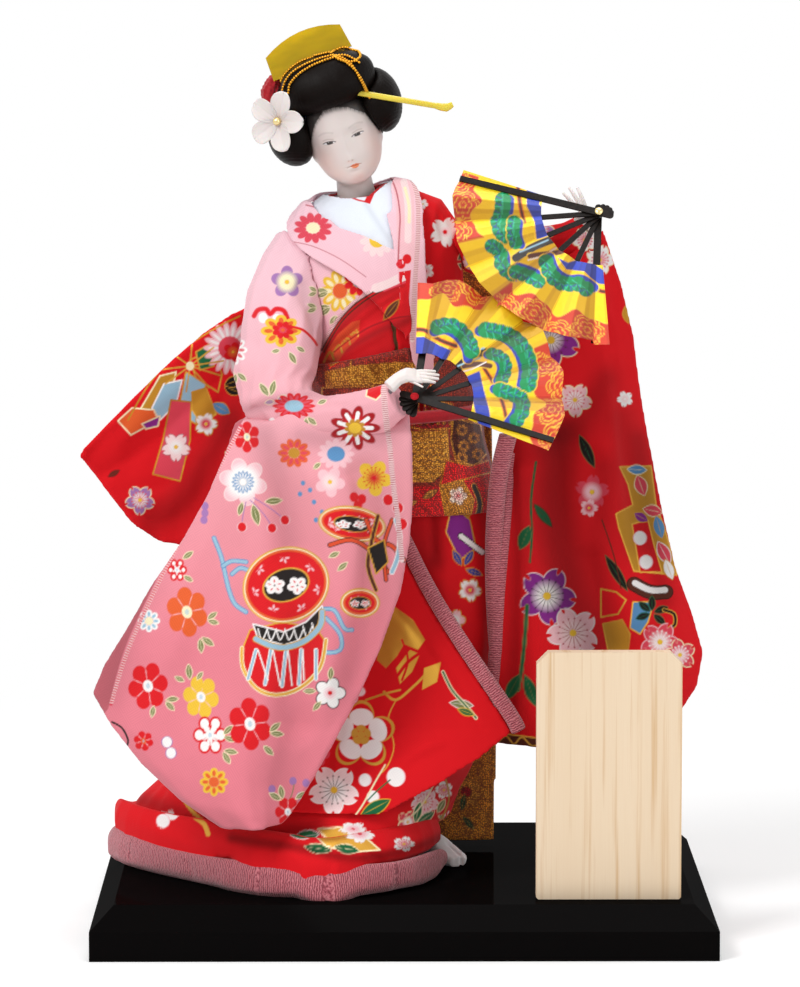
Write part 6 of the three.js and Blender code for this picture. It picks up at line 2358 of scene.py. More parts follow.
HANG_PRINT: tuple[Motif, ...] = (
    *CUFF_FLOWER,
    Camellia(247, 437, 13, 30, Ink.RED, Ink.CREAM),
    Daisy(294, 453, 16, 0, 10, Ink.ORANGE, Ink.OCHRE, Ink.ROSE, squash=0.9),
    Daisy(336, 454, 18, 0, 12, Ink.PALE_PINK, Ink.BLUE, squash=0.85, heart_share=0.5),
    Plum(330, 482, 15, 10, Ink.PALE_PINK, Ink.SHELL_PINK, notch=0.0),
    Plum(374, 478, 18, 10, Ink.YELLOW, Ink.ORANGE, stamens=Ink.RED, heart=Ink.RED, notch=0.0, fade=0.3),
    Plum(243, 482, 23, 15, Ink.PALE_PINK, Ink.WHITE, Ink.SHELL_PINK, notch=0.0, fade=0.7, petals=6),
    Daisy(243, 482, 11, 0, 16, Ink.BLUE, Ink.WHITE, Ink.WHITE, heart_share=0.3),
    Leaves(262, 502, 18, (5,)),
    Leaves(243, 500, 14, (-105,)),
    Leaves(252, 501, 22, (-75,)),
    Line(((250, 500), (262, 512), (272, 526)), 0.9, Ink.LILAC),
    Line(((254, 498), (270, 508), (284, 519)), 0.9, Ink.LILAC),
    Line(((246, 502), (243, 515), (242, 525)), 0.9, Ink.LILAC),
    Dots(((242, 527), (272, 528), (285, 520)), 4.2, Ink.RED, Ink.PALE_PINK),
    Dots(((205, 506), (205, 513), (204, 520)), 3.6, Ink.LILAC),
    Dots(((354, 497), (362, 499), (358, 505)), 4.4, Ink.RED),
    Dots(((303, 483), (310, 490), (314, 502), (300, 494), (322, 512), (316, 520)), 2.2, Ink.BLUE),
    Leaves(312, 470, 10, (40,)),
    Camellia(177, 570, 10, 0, Ink.RED, outlined=True),
    Leaves(181, 560, 13, (35,)),
    Leaves(182, 575, 11, (-30,)),
    Camellia(187, 612, 21, 20, Ink.ORANGE, Ink.CREAM),
    Leaves(206, 620, 12, (35, -15)),
    Leaves(200, 636, 15, (-35, -85)),
    Daisy(149, 621, 11, 0, 8, Ink.WHITE, Ink.CREAM, Ink.SKY),
    Camellia(148, 686, 20, -10, Ink.RED),
    Leaves(164, 700, 13, (5, -45)),
    Leaves(154, 704, 12, (-100,)),
    Camellia(201, 697, 18, 10, Ink.YELLOW),
    Leaves(190, 682, 16, (95,)),
    Leaves(186, 682, 11, (155,)),
    Leaves(196, 681, 10, (55,)),
    Camellia(210, 735, 17, 0, Ink.RED, outlined=True),
    Leaves(222, 736, 13, (45, -20)),
    Leaves(222, 750, 14, (-10, -60)),
    Camellia(250, 724, 22, 25, Ink.RED),
    Leaves(268, 733, 14, (40, -5)),
    Leaves(262, 744, 14, (-45,)),
    Plum(330, 693, 15, 0, Ink.WHITE, Ink.PALE_PINK, Ink.BLACK, heart=Ink.RED, notch=0.0, fade=0.3),
    Leaves(330, 682, 13, (85,)),
    Leaves(318, 691, 13, (180,)),
    Leaves(322, 700, 12, (230,)),
    Camellia(143.5, 741, 10, 15, Ink.RED, Ink.ORANGE, squash=1.0),
    Dots(((167, 742), (171, 753)), 4.8, Ink.WHITE, Ink.LILAC),
    Line(((112, 722), (122, 728), (128, 740), (126, 748)), 2, Ink.BLACK),
    Daisy(214, 782, 14, 0, 8, Ink.YELLOW, Ink.ORANGE, Ink.ORANGE),
    Dots(((272, 789), (293, 781), (306, 783), (300, 796)), 3.6, Ink.LILAC),
    Line(((286, 806), (292, 794), (294, 784)), 0.9, Ink.LEAF),
    Camellia(288, 812, 13, 0, Ink.RED),
    Leaves(283, 801, 14, (100, 150)),
    Leaves(294, 800, 12, (35,)),
    Line(((214, 538), (221, 556), (225, 573), (229, 590), (235, 604), (246, 612)), 3.0, Ink.SKY, Ink.BLUE),
    Line(((223, 566), (232, 561), (246, 562)), 3.0, Ink.SKY, Ink.BLUE),
    Line(((232, 574), (240, 568), (248, 570)), 3.0, Ink.SKY, Ink.BLUE),
    Line(((318, 610), (334, 610), (344, 628), (352, 630)), 2.8, Ink.SKY, Ink.BLUE),
    Line(((326, 618), (340, 634), (340, 650), (322, 652), (316, 642)), 2.8, Ink.SKY, Ink.BLUE),
    Field(((242, 650), (250, 630), (282, 622), (316, 628), (326, 642), (320, 668), (300, 688), (276, 696),
          (254, 686), (242, 668)), Ink.RED, Ink.GOLD, gold_rim=0.8),
    Line(((242, 648), (243, 668), (256, 688), (276, 695), (300, 688), (320, 668), (326, 640)), 2.6,
          Ink.GOLD, Ink.CREAM, gold=0.8),
    *(Line(((256 + 15 * k, 650), (248 + 17 * k, 680 - 1.8 * (k - 2) ** 2 + 6)), 2.2, Ink.SKY, Ink.WHITE)
          for k in range(5)),
    *(Line(((258 + 15 * k, 650), (268 + 12 * k, 686 - 2.6 * (k - 1.5) ** 2)), 1.4, Ink.WHITE)
          for k in range(4)),
    Field(((253, 624), (284, 632), (306, 622), (322, 606), (324, 618), (312, 636), (284, 645), (258, 638)),
          Ink.BLACK, Ink.WHITE, gold_rim=0.0),
    *(Line(((258 + 9 * k, 629 + (k > 4) * (4 - k) * 3), (262 + 9 * k, 640 + (k > 4) * (4 - k) * 3), (267 + 9
          * k, 630 + (k > 4) * (4 - k) * 3.4)), 1.3, Ink.WHITE) for k in range(7)),
    Line(((256, 639), (272, 646), (288, 647), (306, 640), (320, 626), (322, 612)), 5.0, Ink.SKY, Ink.GOLD),
    Drum(286, 585, 44, 18, 38.0),
    Drum(352, 524, 34, -8, 18.0),
    Line(((366, 520), (376, 540), (392, 546), (404, 560)), 3.4, Ink.VERMILION, Ink.BROWN),
    Line(((330, 545), (352, 540), (372, 552), (388, 572)), 3.4, Ink.VERMILION, Ink.BROWN),
    Line(((378, 516), (372, 540), (368, 566), (376, 590)), 3.0, Ink.BROWN, Ink.GOLD),
    Line(((392, 520), (384, 546), (386, 580)), 2.6, Ink.VERMILION, Ink.BROWN),
    Drum(360, 603, 20, 0, 15.0),
    Field(((368, 548), (384, 540), (388, 562), (376, 574)), Ink.BLACK, Ink.GOLD),
    Line(((396, 520), (400, 536), (398, 556), (392, 572)), 3.6, Ink.SKY, Ink.WHITE),
    Dots(((388, 500), (398, 508), (402, 524)), 5.0, Ink.RED, Ink.PALE_PINK),
    Leaves(327, 558, 12, (25,)),
    Leaves(336, 572, 13, (40,)),
    Line(((98, 704), (114, 646), (144, 580), (176, 518), (209, 458), (234, 414)), 22, Ink.OLD_ROSE,
          around=True),
    Stitches(((111, 704), (128, 650), (158, 584), (190, 522), (221, 464), (241, 426)), 3.4, 2.6,
          Ink.SHELL_PINK, ground=Ink.ROSE),
    Stitches(((386, 420), (390, 448), (393, 482), (398, 520), (402, 560)), 5.0, 2.2),
    Shade(((300, 436), (340, 440), (384, 436)), 12, 26),
    Shade(((262, 438), (278, 490), (288, 540)), 16, 24),
    Shade(((372, 480), (384, 540), (376, 620), (350, 690)), 18, 22),
    Shade(((300, 620), (290, 700), (272, 780)), 22, 16),
    Shade(((150, 560), (126, 630), (110, 690)), 18, 20),
)

HANG_PULLS = (
    Pull(((230, 396), (300, 396), (400, 396)), 50, (0, 0, 14)),
    Pull(((232, 402), (248, 400), (266, 402)), 24, (6, 12, 10)),
    Pull(((258, 436), (280, 490), (294, 560), (300, 640), (292, 720)), 34, (0, 0, 9)),
    Pull(((216, 480), (184, 560), (156, 650)), 42, (0, 0, -6)),
    Pull(((326, 480), (338, 540), (336, 620), (316, 700)), 34, (0, 0, -7)),
    Pull(((366, 470), (376, 540), (368, 620), (350, 680)), 22, (0, 0, 7)),
)

ARM_PULLS = (
    Pull(((240, 372), (242, 402)), 34, (-7, 4, -4)),
    Pull(((262, 424), (330, 430), (384, 428)), 20, (0, 3, 0)),
)
ARM_FOLDS = (
    Fold(((300, 290), (311, 312), (318, 334), (319, 346)), 3.0, 2.0),
    Fold(((236, 415), (262, 407), (292, 400), (324, 393)), 2.2, 1.6),
    Fold(((236, 402), (262, 396), (290, 388)), 3.0, -1.0),
    Fold(((246, 330), (262, 350), (284, 372)), 4.0, 0.8),
    Fold(((262, 300), (280, 312), (298, 330)), 3.0, 0.7),
    Fold(((326, 395), (344, 388), (372, 384)), 3.0, -1.0),
    Fold(((262, 420), (290, 440), (330, 462)), 3.6, 0.9),
    Fold(((330, 404), (352, 410), (378, 416)), 2.6, 0.8),
    Fold(((230, 360), (240, 384), (250, 400)), 3.0, 0.7),
)
HANG_FOLDS = (
    Fold(((262, 434), (277, 470), (286, 500), (290, 540)), 4.4, 1.3),
    Fold(((227, 431), (206, 474), (190, 512)), 5.0, -1.2),
    Fold(((300, 460), (318, 500), (330, 550)), 5.0, -1.0),
    Fold(((355, 470), (366, 520), (370, 580), (352, 650)), 4.0, 1.6),
    Fold(((380, 500), (392, 540), (396, 590)), 3.4, -1.4),
    Fold(((240, 500), (215, 600), (190, 700), (180, 760)), 9.0, 1.3),
    Fold(((320, 560), (318, 650), (296, 760)), 8.0, 1.2),
    Fold(((160, 560), (136, 640), (112, 706)), 5.0, -1.0),
    Fold(((290, 640), (270, 720), (262, 790)), 9.0, -1.2),
    Fold(((330, 470), (345, 476), (366, 470)), 3.0, 0.9),
)

RED_HANG_PRINT: tuple[Motif, ...] = (
    Plum(551, 340, 28, 20, Ink.PURPLE, Ink.WHITE, Ink.CREAM, stamens=Ink.BROWN, notch=1.2, fade=0.3),
    Plum(547, 596, 28, 8, Ink.PURPLE, Ink.WHITE, Ink.SHELL_PINK, stamens=Ink.BLACK, notch=1.2, fade=0.42),
    Plum(573, 633, 25, 30, Ink.PALE_PINK, Ink.SHELL_PINK, Ink.WHITE, stamens=Ink.DEEP_RED, notch=1.2),
    Plum(592, 492, 17, 60, Ink.ROSE, Ink.PALE_PINK),
    Plum(589, 508, 9, 0, Ink.PALE_PINK, Ink.ROSE),
    Plum(625, 399, 8, 30, Ink.WHITE, Ink.SHELL_PINK, heart=Ink.WHITE),
    Line(((536, 462), (531, 500), (532, 530), (530, 562)), 2.2, Ink.GREEN),
    Line(((527, 606), (525, 636), (522, 666), (518, 690)), 2.4, Ink.GREEN, Ink.LEAF),
    Leaves(531, 522, 26, (-112,), Ink.GREEN, Ink.LEAF, slim=0.42),
    Leaves(531, 500, 30, (-52,), Ink.GREEN, Ink.BROWN, slim=0.24),
    Leaves(522, 670, 30, (-118,), Ink.GREEN, Ink.LEAF, slim=0.34),
    Leaves(523, 670, 34, (-70,), Ink.GREEN, Ink.LEAF),
    Leaves(577, 430, 36, (-65,), Ink.BLACK, Ink.GREEN, slim=0.24),
    Leaves(602, 550, 42, (-58,), Ink.BLACK, Ink.GREEN, slim=0.18),
    Line(((602, 520), (614, 556), (621, 588)), 1.2, Ink.BROWN),
    Field(((601, 589), (616, 592), (626, 600), (618, 614), (601, 617)), Ink.RED, Ink.GOLD),
    Field(((603, 624), (622, 620), (630, 634), (628, 650), (608, 650)), Ink.OCHRE, Ink.GOLD),
    Field(((620, 467), (651, 466), (656, 505), (664, 527), (674, 560), (677, 575), (634, 571), (619, 528),
          (616, 514), (633, 505), (628, 484)), Ink.OCHRE, Ink.GOLD),
    Field(((632, 524), (648, 520), (654, 545), (662, 572), (640, 572)), Ink.RED, Ink.GOLD),
    Leaves(636, 472, 22, (-70,), Ink.ROSE, slim=0.5),
    Leaves(624, 469, 20, (-3,), Ink.BLUE, slim=0.4),
    Leaves(640, 508, 20, (-12,), Ink.ROSE, slim=0.5),
    Leaves(632, 512, 16, (-30,), Ink.PURPLE, Ink.GOLD, slim=0.5),
    Leaves(655, 512, 24, (-75,), Ink.BLUE, Ink.GOLD, slim=0.4),
    Leaves(656, 538, 26, (-62,), Ink.ROSE, Ink.WHITE, slim=0.4),
    Leaves(664, 556, 22, (-70,), Ink.WHITE, Ink.GOLD, slim=0.4),
    Dots(((640, 538), (646, 562)), 6.0, Ink.WHITE, Ink.PALE_PINK),
    Line(((634, 584), (650, 592), (666, 592)), 13, Ink.BROWN, Ink.BLACK),
    Line(((635, 583), (650, 590), (665, 590)), 6, Ink.WHITE, Ink.BROWN),
    Field(((633, 602), (654, 602), (648, 622), (640, 634), (630, 628)), Ink.BLUE, Ink.GOLD),
    Leaves(652, 613, 15, (90, 140, 200, 320, 20), Ink.BLACK, Ink.GREEN, slim=0.36),
    Line(((664, 610), (674, 614), (675, 624), (670, 628)), 2.4, Ink.BLACK, Ink.GOLD),
    Plum(660, 642, 19, 10, Ink.ROSE, Ink.SHELL_PINK, Ink.PALE_PINK, stamens=Ink.WHITE, notch=1.2),
    Plum(680, 655, 15, 40, Ink.ROSE, Ink.PALE_PINK, Ink.CREAM, stamens=Ink.WHITE, notch=1.2),
    Field(((494, 744), (506, 734), (536, 738), (560, 750), (560, 764), (494, 764)), Ink.BROWN, Ink.GOLD),
    Line(((496, 744), (506, 736), (514, 744), (522, 737), (532, 746), (542, 742)), 1.6, Ink.GOLD, gold=0.7),
    Plum(600, 260, 14, 0, Ink.WHITE, Ink.PALE_PINK, Ink.CREAM, stamens=Ink.ROSE),
    Leaves(625, 303, 18, (-80, -40), Ink.OCHRE, Ink.GOLD, slim=0.4),
    Plum(560, 700, 20, 0, Ink.LILAC, Ink.WHITE, Ink.CREAM, stamens=Ink.ROSE),
    Plum(620, 715, 22, 20, Ink.WHITE, Ink.PALE_PINK, Ink.CREAM, stamens=Ink.ROSE),
    Leaves(596, 735, 26, (20, 120), Ink.GREEN, Ink.LEAF),
    Plum(575, 400, 16, 15, Ink.PALE_PINK, Ink.WHITE, Ink.CREAM, stamens=Ink.ROSE),
    Shade(((560, 440), (556, 500), (570, 580), (592, 660), (600, 740)), 26, 60),
    Shade(((620, 420), (634, 480), (640, 540)), 22, 35),
    Shade(((514, 450), (518, 540), (516, 640), (510, 730)), 14, 40),
    Shade(((604, 470), (600, 560), (610, 640)), 16, 30),
    Shade(((640, 440), (652, 520), (664, 600)), 12, 30),
    Shade(((540, 440), (580, 420), (606, 380)), 16, 35),
)

RED_ARM_PRINT: tuple[Motif, ...] = (
    Plum(492, 235, 12, 0, Ink.WHITE, Ink.PALE_PINK, Ink.CREAM, stamens=Ink.ROSE),
    Plum(470, 262, 9, 20, Ink.PALE_PINK, Ink.WHITE),
    Leaves(505, 262, 24, (-40, 20), Ink.GREEN, Ink.LEAF),
    Plum(540, 230, 14, 10, Ink.LILAC, Ink.WHITE, Ink.CREAM, stamens=Ink.ROSE),
    Plum(585, 240, 12, 30, Ink.WHITE, Ink.PALE_PINK, Ink.CREAM, stamens=Ink.ROSE),
)

RED_HANG_FOLDS = (
    Fold(((560, 440), (556, 500), (566, 580), (580, 660)), 7.0, 2.2),
    Fold(((604, 420), (606, 500), (600, 580), (598, 650)), 7.0, -1.6),
    Fold(((512, 470), (514, 560), (512, 660), (508, 730)), 3.4, 1.4),
    Fold(((520, 460), (522, 560), (520, 670), (516, 735)), 2.6, -1.0),
    Fold(((620, 360), (624, 430), (632, 500), (640, 560)), 5.0, 1.6),
    Fold(((640, 420), (652, 500), (668, 580), (682, 660)), 6.0, -1.2),
    Fold(((560, 430), (584, 446), (606, 470)), 4.0, 1.0),
    Fold(((540, 680), (545, 720), (548, 748)), 5.0, 1.0),
    Fold(((600, 240), (612, 280), (616, 330)), 4.0, 1.0),
)

RED_HANG_PULLS = (
    Pull(((512, 430), (513, 520), (512, 620), (508, 735)), 24, (-7, 0, -3)),
    Pull(((556, 430), (556, 500), (572, 580), (596, 690)), 34, (0, 0, 12)),
    Pull(((612, 400), (618, 500), (632, 620)), 34, (0, 0, -8)),
    Pull(((532, 470), (530, 560), (536, 680)), 20, (0, 0, -6)),
    Pull(((590, 560), (612, 640), (630, 700)), 22, (0, 0, 7)),
)

BEHIND_PRINT: tuple[Motif, ...] = (
    Field(((186, 372), (206, 384), (196, 424), (178, 412)), Ink.SKY, Ink.GOLD),
    Field(((160, 376), (176, 372), (168, 410), (148, 424), (140, 410)), Ink.OCHRE, Ink.CREAM),
    Field(((164, 384), (182, 380), (176, 404), (160, 420), (152, 408)), Ink.SKY, Ink.WHITE),
    Field(((118, 421), (132, 408), (154, 410), (158, 420), (131, 435)), Ink.ORANGE, Ink.CREAM),
    Field(((142, 424), (160, 416), (158, 426), (146, 429)), Ink.PURPLE, Ink.CREAM),
    Field(((171, 400), (191, 402), (190, 440), (180, 481), (153, 474), (163, 440)), Ink.ROSE, Ink.OCHRE),
    Plum(176, 447, 14, 18, Ink.SHELL_PINK, Ink.WHITE, Ink.OLD_ROSE, notch=1.2),
    Field(((190, 360), (212, 350), (222, 374), (218, 392), (196, 378)), Ink.RED, Ink.GOLD),
    Field(((196, 352), (210, 344), (214, 366), (200, 370)), Ink.GREEN, Ink.GOLD),
    Field(((192, 392), (206, 388), (216, 414), (202, 424), (192, 410)), Ink.OCHRE, Ink.GOLD),
    Plum(206, 424, 11, 0, Ink.WHITE, Ink.ROSE, Ink.GOLD),
    Leaves(210, 402, 20, (-30,), Ink.BLUE, Ink.GOLD, slim=0.5),
    Daisy(230, 348, 26, 0, 18, Ink.PALE_PINK, Ink.ROSE, Ink.WHITE, heart_share=0.45),
    Plum(233, 352, 10, 0, Ink.RED, Ink.ORANGE, notch=0.0),
    Leaves(222, 386, 18, (-20, 20), Ink.BLACK, Ink.GOLD, slim=0.5),
    *(Line(((190, 366), (190 + 34 * math.cos(a), 366 - 26 * math.sin(a))), 1.5, Ink.GOLD, gold=0.8)
          for a in (0.2, 0.8, 1.5, 2.4, 3.3, 3.9, 4.6, 5.3, 5.9)),
    Dots(((190, 366),), 4.0, Ink.CREAM),
    Line(((128, 420), (152, 380), (182, 350), (216, 328), (240, 316)), 1.6, Ink.OCHRE, gold=0.5),
    Leaves(106, 478, 14, (30,), Ink.BROWN, Ink.DEEP_RED),
    Plum(240, 460, 16, 0, Ink.WHITE, Ink.PALE_PINK, Ink.CREAM, stamens=Ink.ROSE),
    Plum(140, 500, 14, 20, Ink.LILAC, Ink.WHITE, Ink.CREAM, stamens=Ink.ROSE),
    Plum(270, 400, 18, 0, Ink.WHITE, Ink.PALE_PINK, Ink.CREAM, stamens=Ink.ROSE),
    Plum(310, 440, 14, 20, Ink.PALE_PINK, Ink.WHITE, Ink.CREAM),
    Shade(((150, 520), (180, 500), (206, 460), (226, 420)), 18, 40),
    Shade(((240, 330), (238, 380), (232, 430)), 16, 30),
)
BEHIND_FOLDS = (
    Fold(((112, 480), (150, 490), (186, 470)), 5.0, 1.2),
    Fold(((150, 520), (180, 500), (205, 460)), 5.0, -1.2),
    Fold(((104, 468), (130, 430), (170, 380)), 5.0, -1.0),
    Fold(((196, 440), (216, 410), (226, 380)), 4.0, 1.4),
)


@dataclass
class Sleeves:
    """Arm parts of the sleeves, the parts that hang from them, and the sleeve slipped off behind."""

    arm_voxel: float = 0.95
    hang_voxel: float = 1.1

    def make(self, wardrobe: Wardrobe) -> None:
        """Makes the sleeves.

        Args:
            wardrobe: The finishes.
        """
        Cloth("sleeve_right_arm", "pink_crepe", Ink.PINK, self.arm_voxel, 34, ARM_FOLDS, ARM_PRINT,
              pulls=ARM_PULLS, fill=0.6).make(wardrobe.pink)
        Cloth("sleeve_left_arm", "red_brocade", Ink.RED, self.arm_voxel, 34, (), RED_ARM_PRINT,
              fill=0.6).make(wardrobe.red)
        Cloth("sleeve_right_hang", "pink_crepe", Ink.PINK, self.hang_voxel, 44, HANG_FOLDS, HANG_PRINT,
              slack=0.4, pulls=HANG_PULLS, flat=(0.13, 0.19), held=Hold.HUNG,
              rests_on=("sleeve_right_arm",)).make(wardrobe.pink)
        Cloth("sleeve_left_hang", "red_brocade", Ink.RED, self.hang_voxel, 44, RED_HANG_FOLDS,
              RED_HANG_PRINT, slack=0.4, pulls=RED_HANG_PULLS, flat=(0.1, 0.24), held=Hold.HUNG,
              rests_on=("sleeve_left_arm",)).make(wardrobe.red)
        Cloth("sleeve_right_outer", "red_brocade", Ink.RED, self.hang_voxel, 44, BEHIND_FOLDS, BEHIND_PRINT,
              flat=(0.12, 0.09), held=Hold.HUNG, rests_on=("obi",)).make(wardrobe.red)
        Cloth("sleeve_left_piping", "old_rose_crepe", Ink.OLD_ROSE, 0.6, 16, fill=0.9, puff=0.6,
              along=lambda points: points[:, 2]).make(wardrobe.rose)
        self.inner_roll(wardrobe)

    @staticmethod
    def inner_roll(wardrobe: Wardrobe) -> None:
        """Makes the second crepe roll, that runs beside the left sleeve's piping.

        Args:
            wardrobe: The finishes.
        """
        bm = bmesh.new()
        down = smooth_line(((508, 436), (500, 470), (495, 520), (494, 580), (498, 650), (506, 712)), 12)
        path = [Vector(VIEW.spot(across, height, -33.0 + 6.0 * k / len(down))) * MM
                for k, (across, height) in enumerate(down)]
        tube_along(bm, path, 4.4 * MM, 20)
        roll = new_object("sleeve_left_inner_piping", bm)
        write_number(roll.data, "along", points_of(roll.data)[:, 2])
        enter(roll, wardrobe.rose, "doll")


# Folding fans


@dataclass
class FoldingFan:
    """A folding fan: CAD sticks and rivet, and a pleated leaf of five gores between them.

    A fan's own frame has X across, Y up the fan and Z to the viewer, with the rivet at its origin.
    Lengths are in millimetres and angles in degrees.
    """

    name: str
    rivet: Place
    lean: float
    first: float
    bodies: tuple[str, ...]
    prints: tuple[Motif, ...]
    cap: str
    bands: tuple[Place, ...] = ()
    outer: float = 70.0
    inner: float = 28.0
    step: float = 20.6
    layer: float = 1.05
    lift: float = 0.9
    pleat: float = 4.4
    small: float = 1.1
    zigzag: float = 2.4
    overhang: float = 0.0
    over: float = 1.3
    beyond: float = 6.0
    margin: float = 4.6
    paper: float = 0.3
    cells_across: int = 15
    cells_along: int = 90

    def world(self, local: np.ndarray) -> np.ndarray:
        """Takes points from the fan's own frame to the object's, in millimetres."""
        turn = np.array(Matrix.Rotation(math.radians(90 - self.lean), 3, "X"))
        return local @ turn.T + np.array(self.rivet)

    def own(self, points: np.ndarray) -> np.ndarray:
        """Takes points in millimetres back to the fan's own frame."""
        turn = np.array(Matrix.Rotation(math.radians(90 - self.lean), 3, "X"))
        return (points - np.array(self.rivet)) @ turn

    def spoke(self, k: float, radius: float, height: float = 0.0) -> np.ndarray:
        """Gives a point on a stick, or between sticks, in the fan's own frame."""
        angle = math.radians(self.first + self.step * k)
        return np.array([radius * math.cos(angle), radius * math.sin(angle), height])

    def crests(self, k: int) -> list[Place]:
        """Gives the fold lines of a gore: angle, height and pleat at the outer edge.

        Args:
            k: Number of the gore, counted from the front guard.

        Returns:
            The fold lines from one side of the gore to the other.
        """
        before = -self.lift if k == 1 else -self.layer * (k - 1) + self.lift
        height = -self.layer * k + self.lift
        start = self.first + self.step * (k - 1)
        rows = [(self.first - self.margin, -self.lift, 0.0), (self.first + 2.4, -self.lift, 0.0)] \
            if k == 1 else [(start, before, 0.0)]
        rows += [(self.first + self.step * (k - 0.5), (before + height) / 2, self.pleat)]
        if k < len(self.bodies) - 1:
            return rows + [(self.first + self.step * k, height, 0.0)]
        return rows + [(self.first + self.step * k, height + self.over, 0.0),
                       (self.first + self.step * k + self.beyond, height + self.over, 0.0)]

    def gore(self, k: int) -> bpy.types.Object:
        """Makes one gore of the leaf, between two sticks.

        Args:
            k: Number of the gore, counted from the front guard.

        Returns:
            The gore, with its thickness.
        """
        crests = self.crests(k)
        angles: list[float] = []
        for (low, _, _), (high, _, _) in zip(crests, crests[1:]):
            cells = max(3, round(self.cells_across * 2 * (high - low) / self.step))
            angles += list(np.linspace(low, high, cells, endpoint=False))
        angles.append(crests[-1][0])
        heights = np.interp(angles, [c[0] for c in crests], [c[1] for c in crests])
        pleats = np.interp(angles, [c[0] for c in crests], [c[2] for c in crests])
        phase = (np.array(angles) - self.first - self.step * (k - 1)) / self.step
        ridge = np.clip(1 - np.abs(phase - 0.5) * 2, 0, 1)
        ripple = np.interp(phase, [0.0, 0.25, 0.5, 0.75, 1.0], [0.0, 1.0, 0.0, 1.0, 0.0])
        pleats += self.small * ripple * (phase > 0)
        bm = bmesh.new()
        bmesh.ops.create_grid(bm, x_segments=len(angles) - 1, y_segments=self.cells_along, size=1.0)
        for vert in bm.verts:
            column = round((vert.co.x + 1) / 2 * (len(angles) - 1))
            share = (vert.co.y + 1) / 2
            past = phase[column] > 1.0 - 1e-6
            rim = self.outer + self.zigzag * (ridge[column] - 0.1) + self.overhang * past
            radius = self.inner + share * (rim - self.inner)
            angle = math.radians(angles[column])
            height = heights[column] + pleats[column] * radius / self.outer
            spot = self.world(np.array([radius * math.cos(angle), radius * math.sin(angle), height]))
            vert.co = Vector(spot) * MM
        bmesh.ops.recalc_face_normals(bm, faces=bm.faces)
        obj = new_object(f"fan_{self.name}_gore_{k}", bm, smooth=False)
        solid = obj.modifiers.new("paper", "SOLIDIFY")
        solid.thickness = self.paper * MM
        solid.offset = 0.0
        settle(obj)
        return obj

    def in_band(self, own: np.ndarray) -> np.ndarray:
        """Distance in millimetres to the red rim bands, below zero in them.

        Args:
            own: Points in the fan's own frame.

        Returns:
            One distance for each point.
        """
        radius = np.hypot(own[:, 0], own[:, 1])
        angle = np.degrees(np.arctan2(own[:, 1], own[:, 0])) % 360
        best = np.full(len(own), 99.0)
        for start, end, depth in self.bands:
            middle, half = (start + end) / 2, (end - start) / 2
            turn = (angle - middle + 180) % 360 - 180
            wave = depth + 2.2 * np.sin(np.radians(angle) * 17) + 1.2 * np.sin(np.radians(angle) * 31 + 1)
            edge = np.maximum((self.outer - wave) - radius, (np.abs(turn) - half) * radius * math.pi / 180)
            best = np.minimum(best, edge)
        return best

    @staticmethod
    def cloud(flat: np.ndarray, at: Point, ring: float) -> np.ndarray:
        """Distance in millimetres to a cloud: a disc of a size with lobes round it.

        Args:
            flat: Points across and up the fan.
            at: Middle of the cloud.
            ring: Size of the cloud.

        Returns:
            One distance for each point.
        """
        best = oval(flat, at, ring * 0.9, ring * 0.9)
        for turn in np.arange(0, 6.2, 1.05):
            lobe = (at[0] + ring * 0.8 * math.cos(turn), at[1] + ring * 0.8 * math.sin(turn))
            best = np.minimum(best, oval(flat, lobe, ring * 0.5, ring * 0.5))
        return best

    def print_leaf(self, obj: bpy.types.Object) -> None:
        """Prints a gore: gold foil, red bands with cloud lines at the rim, and the drawn figures, then
        paints light and shade on it pleat by pleat.

        Args:
            obj: The object.
        """
        points = points_of(obj.data)
        sheet = Sheet(points, np.ones(len(points)), Ink.FOIL)
        sheet.dye[:, 3] = 0.3
        every = np.arange(len(points))
        own = self.own(points)
        band = self.in_band(own) / POINT
        sheet.lay(every, band, Ink.CLOUD_RED)
        sheet.lay(every, np.abs(band) - 0.7, Ink.YELLOW, gold=0.5)
        for start, end, depth in self.bands:
            for k in range(int((end - start) / 12)):
                angle = math.radians(start + 6 + 12 * k)
                far = self.outer + 1.2 - 0.5 * depth * (k % 2)
                at = (far * math.cos(angle), far * math.sin(angle))
                for ring in (1.4, 3.4, 5.2, 6.4):
                    cloud = np.abs(self.cloud(own[:, :2], at, ring)) / POINT - 0.45
                    sheet.lay(every, np.maximum(cloud, band + 1.4), Ink.YELLOW, gold=0.4)
        for motif in self.prints:
            motif.draw(sheet)
        # Painted light and shade: each half of a pleat is made paler or darker by its turn in the fold, and
        # the darker ones warmer.
        angle = np.degrees(np.arctan2(own[:, 1], own[:, 0])) % 360
        facet = ((angle - self.first) % 360) / self.step * 2
        light = np.array([1.12, 0.66, 1.16, 0.78, 1.0, 0.6, 1.12, 0.7])[np.floor(facet).astype(int) % 8]
        light = light + 0.08 * np.sign(np.sin(facet * math.pi * 2)) * (facet % 1 < 0.7)
        sheet.dye[:, :3] = np.clip(sheet.dye[:, :3] * light[:, None] ** np.array([0.9, 1.35, 1.6]), 0, 1)
        write_colour(obj.data, "print", sheet.dye)

    def make(self, wardrobe: Wardrobe) -> None:
        """Finishes the sticks and makes the leaf and the rivet's cap.

        Args:
            wardrobe: The finishes.
        """
        for k, body in enumerate(self.bodies):
            label = "guard_front" if k == 0 else "guard_back" if k == 5 else f"rib_{k}"
            refinish(f"fan_{self.name}_{label}", wardrobe.stick)
        for k in range(1, len(self.bodies)):
            obj = self.gore(k)
            self.print_leaf(obj)
            dress(obj, wardrobe.paper)
            start = self.world(self.spoke(k - 1, self.inner)) * MM
            end = self.world(self.spoke(k, self.inner)) * MM
            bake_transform(obj)
            log.info("%s: %d faces", obj.name, len(obj.data.polygons))
        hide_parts(f"fan_{self.name}_leaf")
        self.rivet_cap(wardrobe)

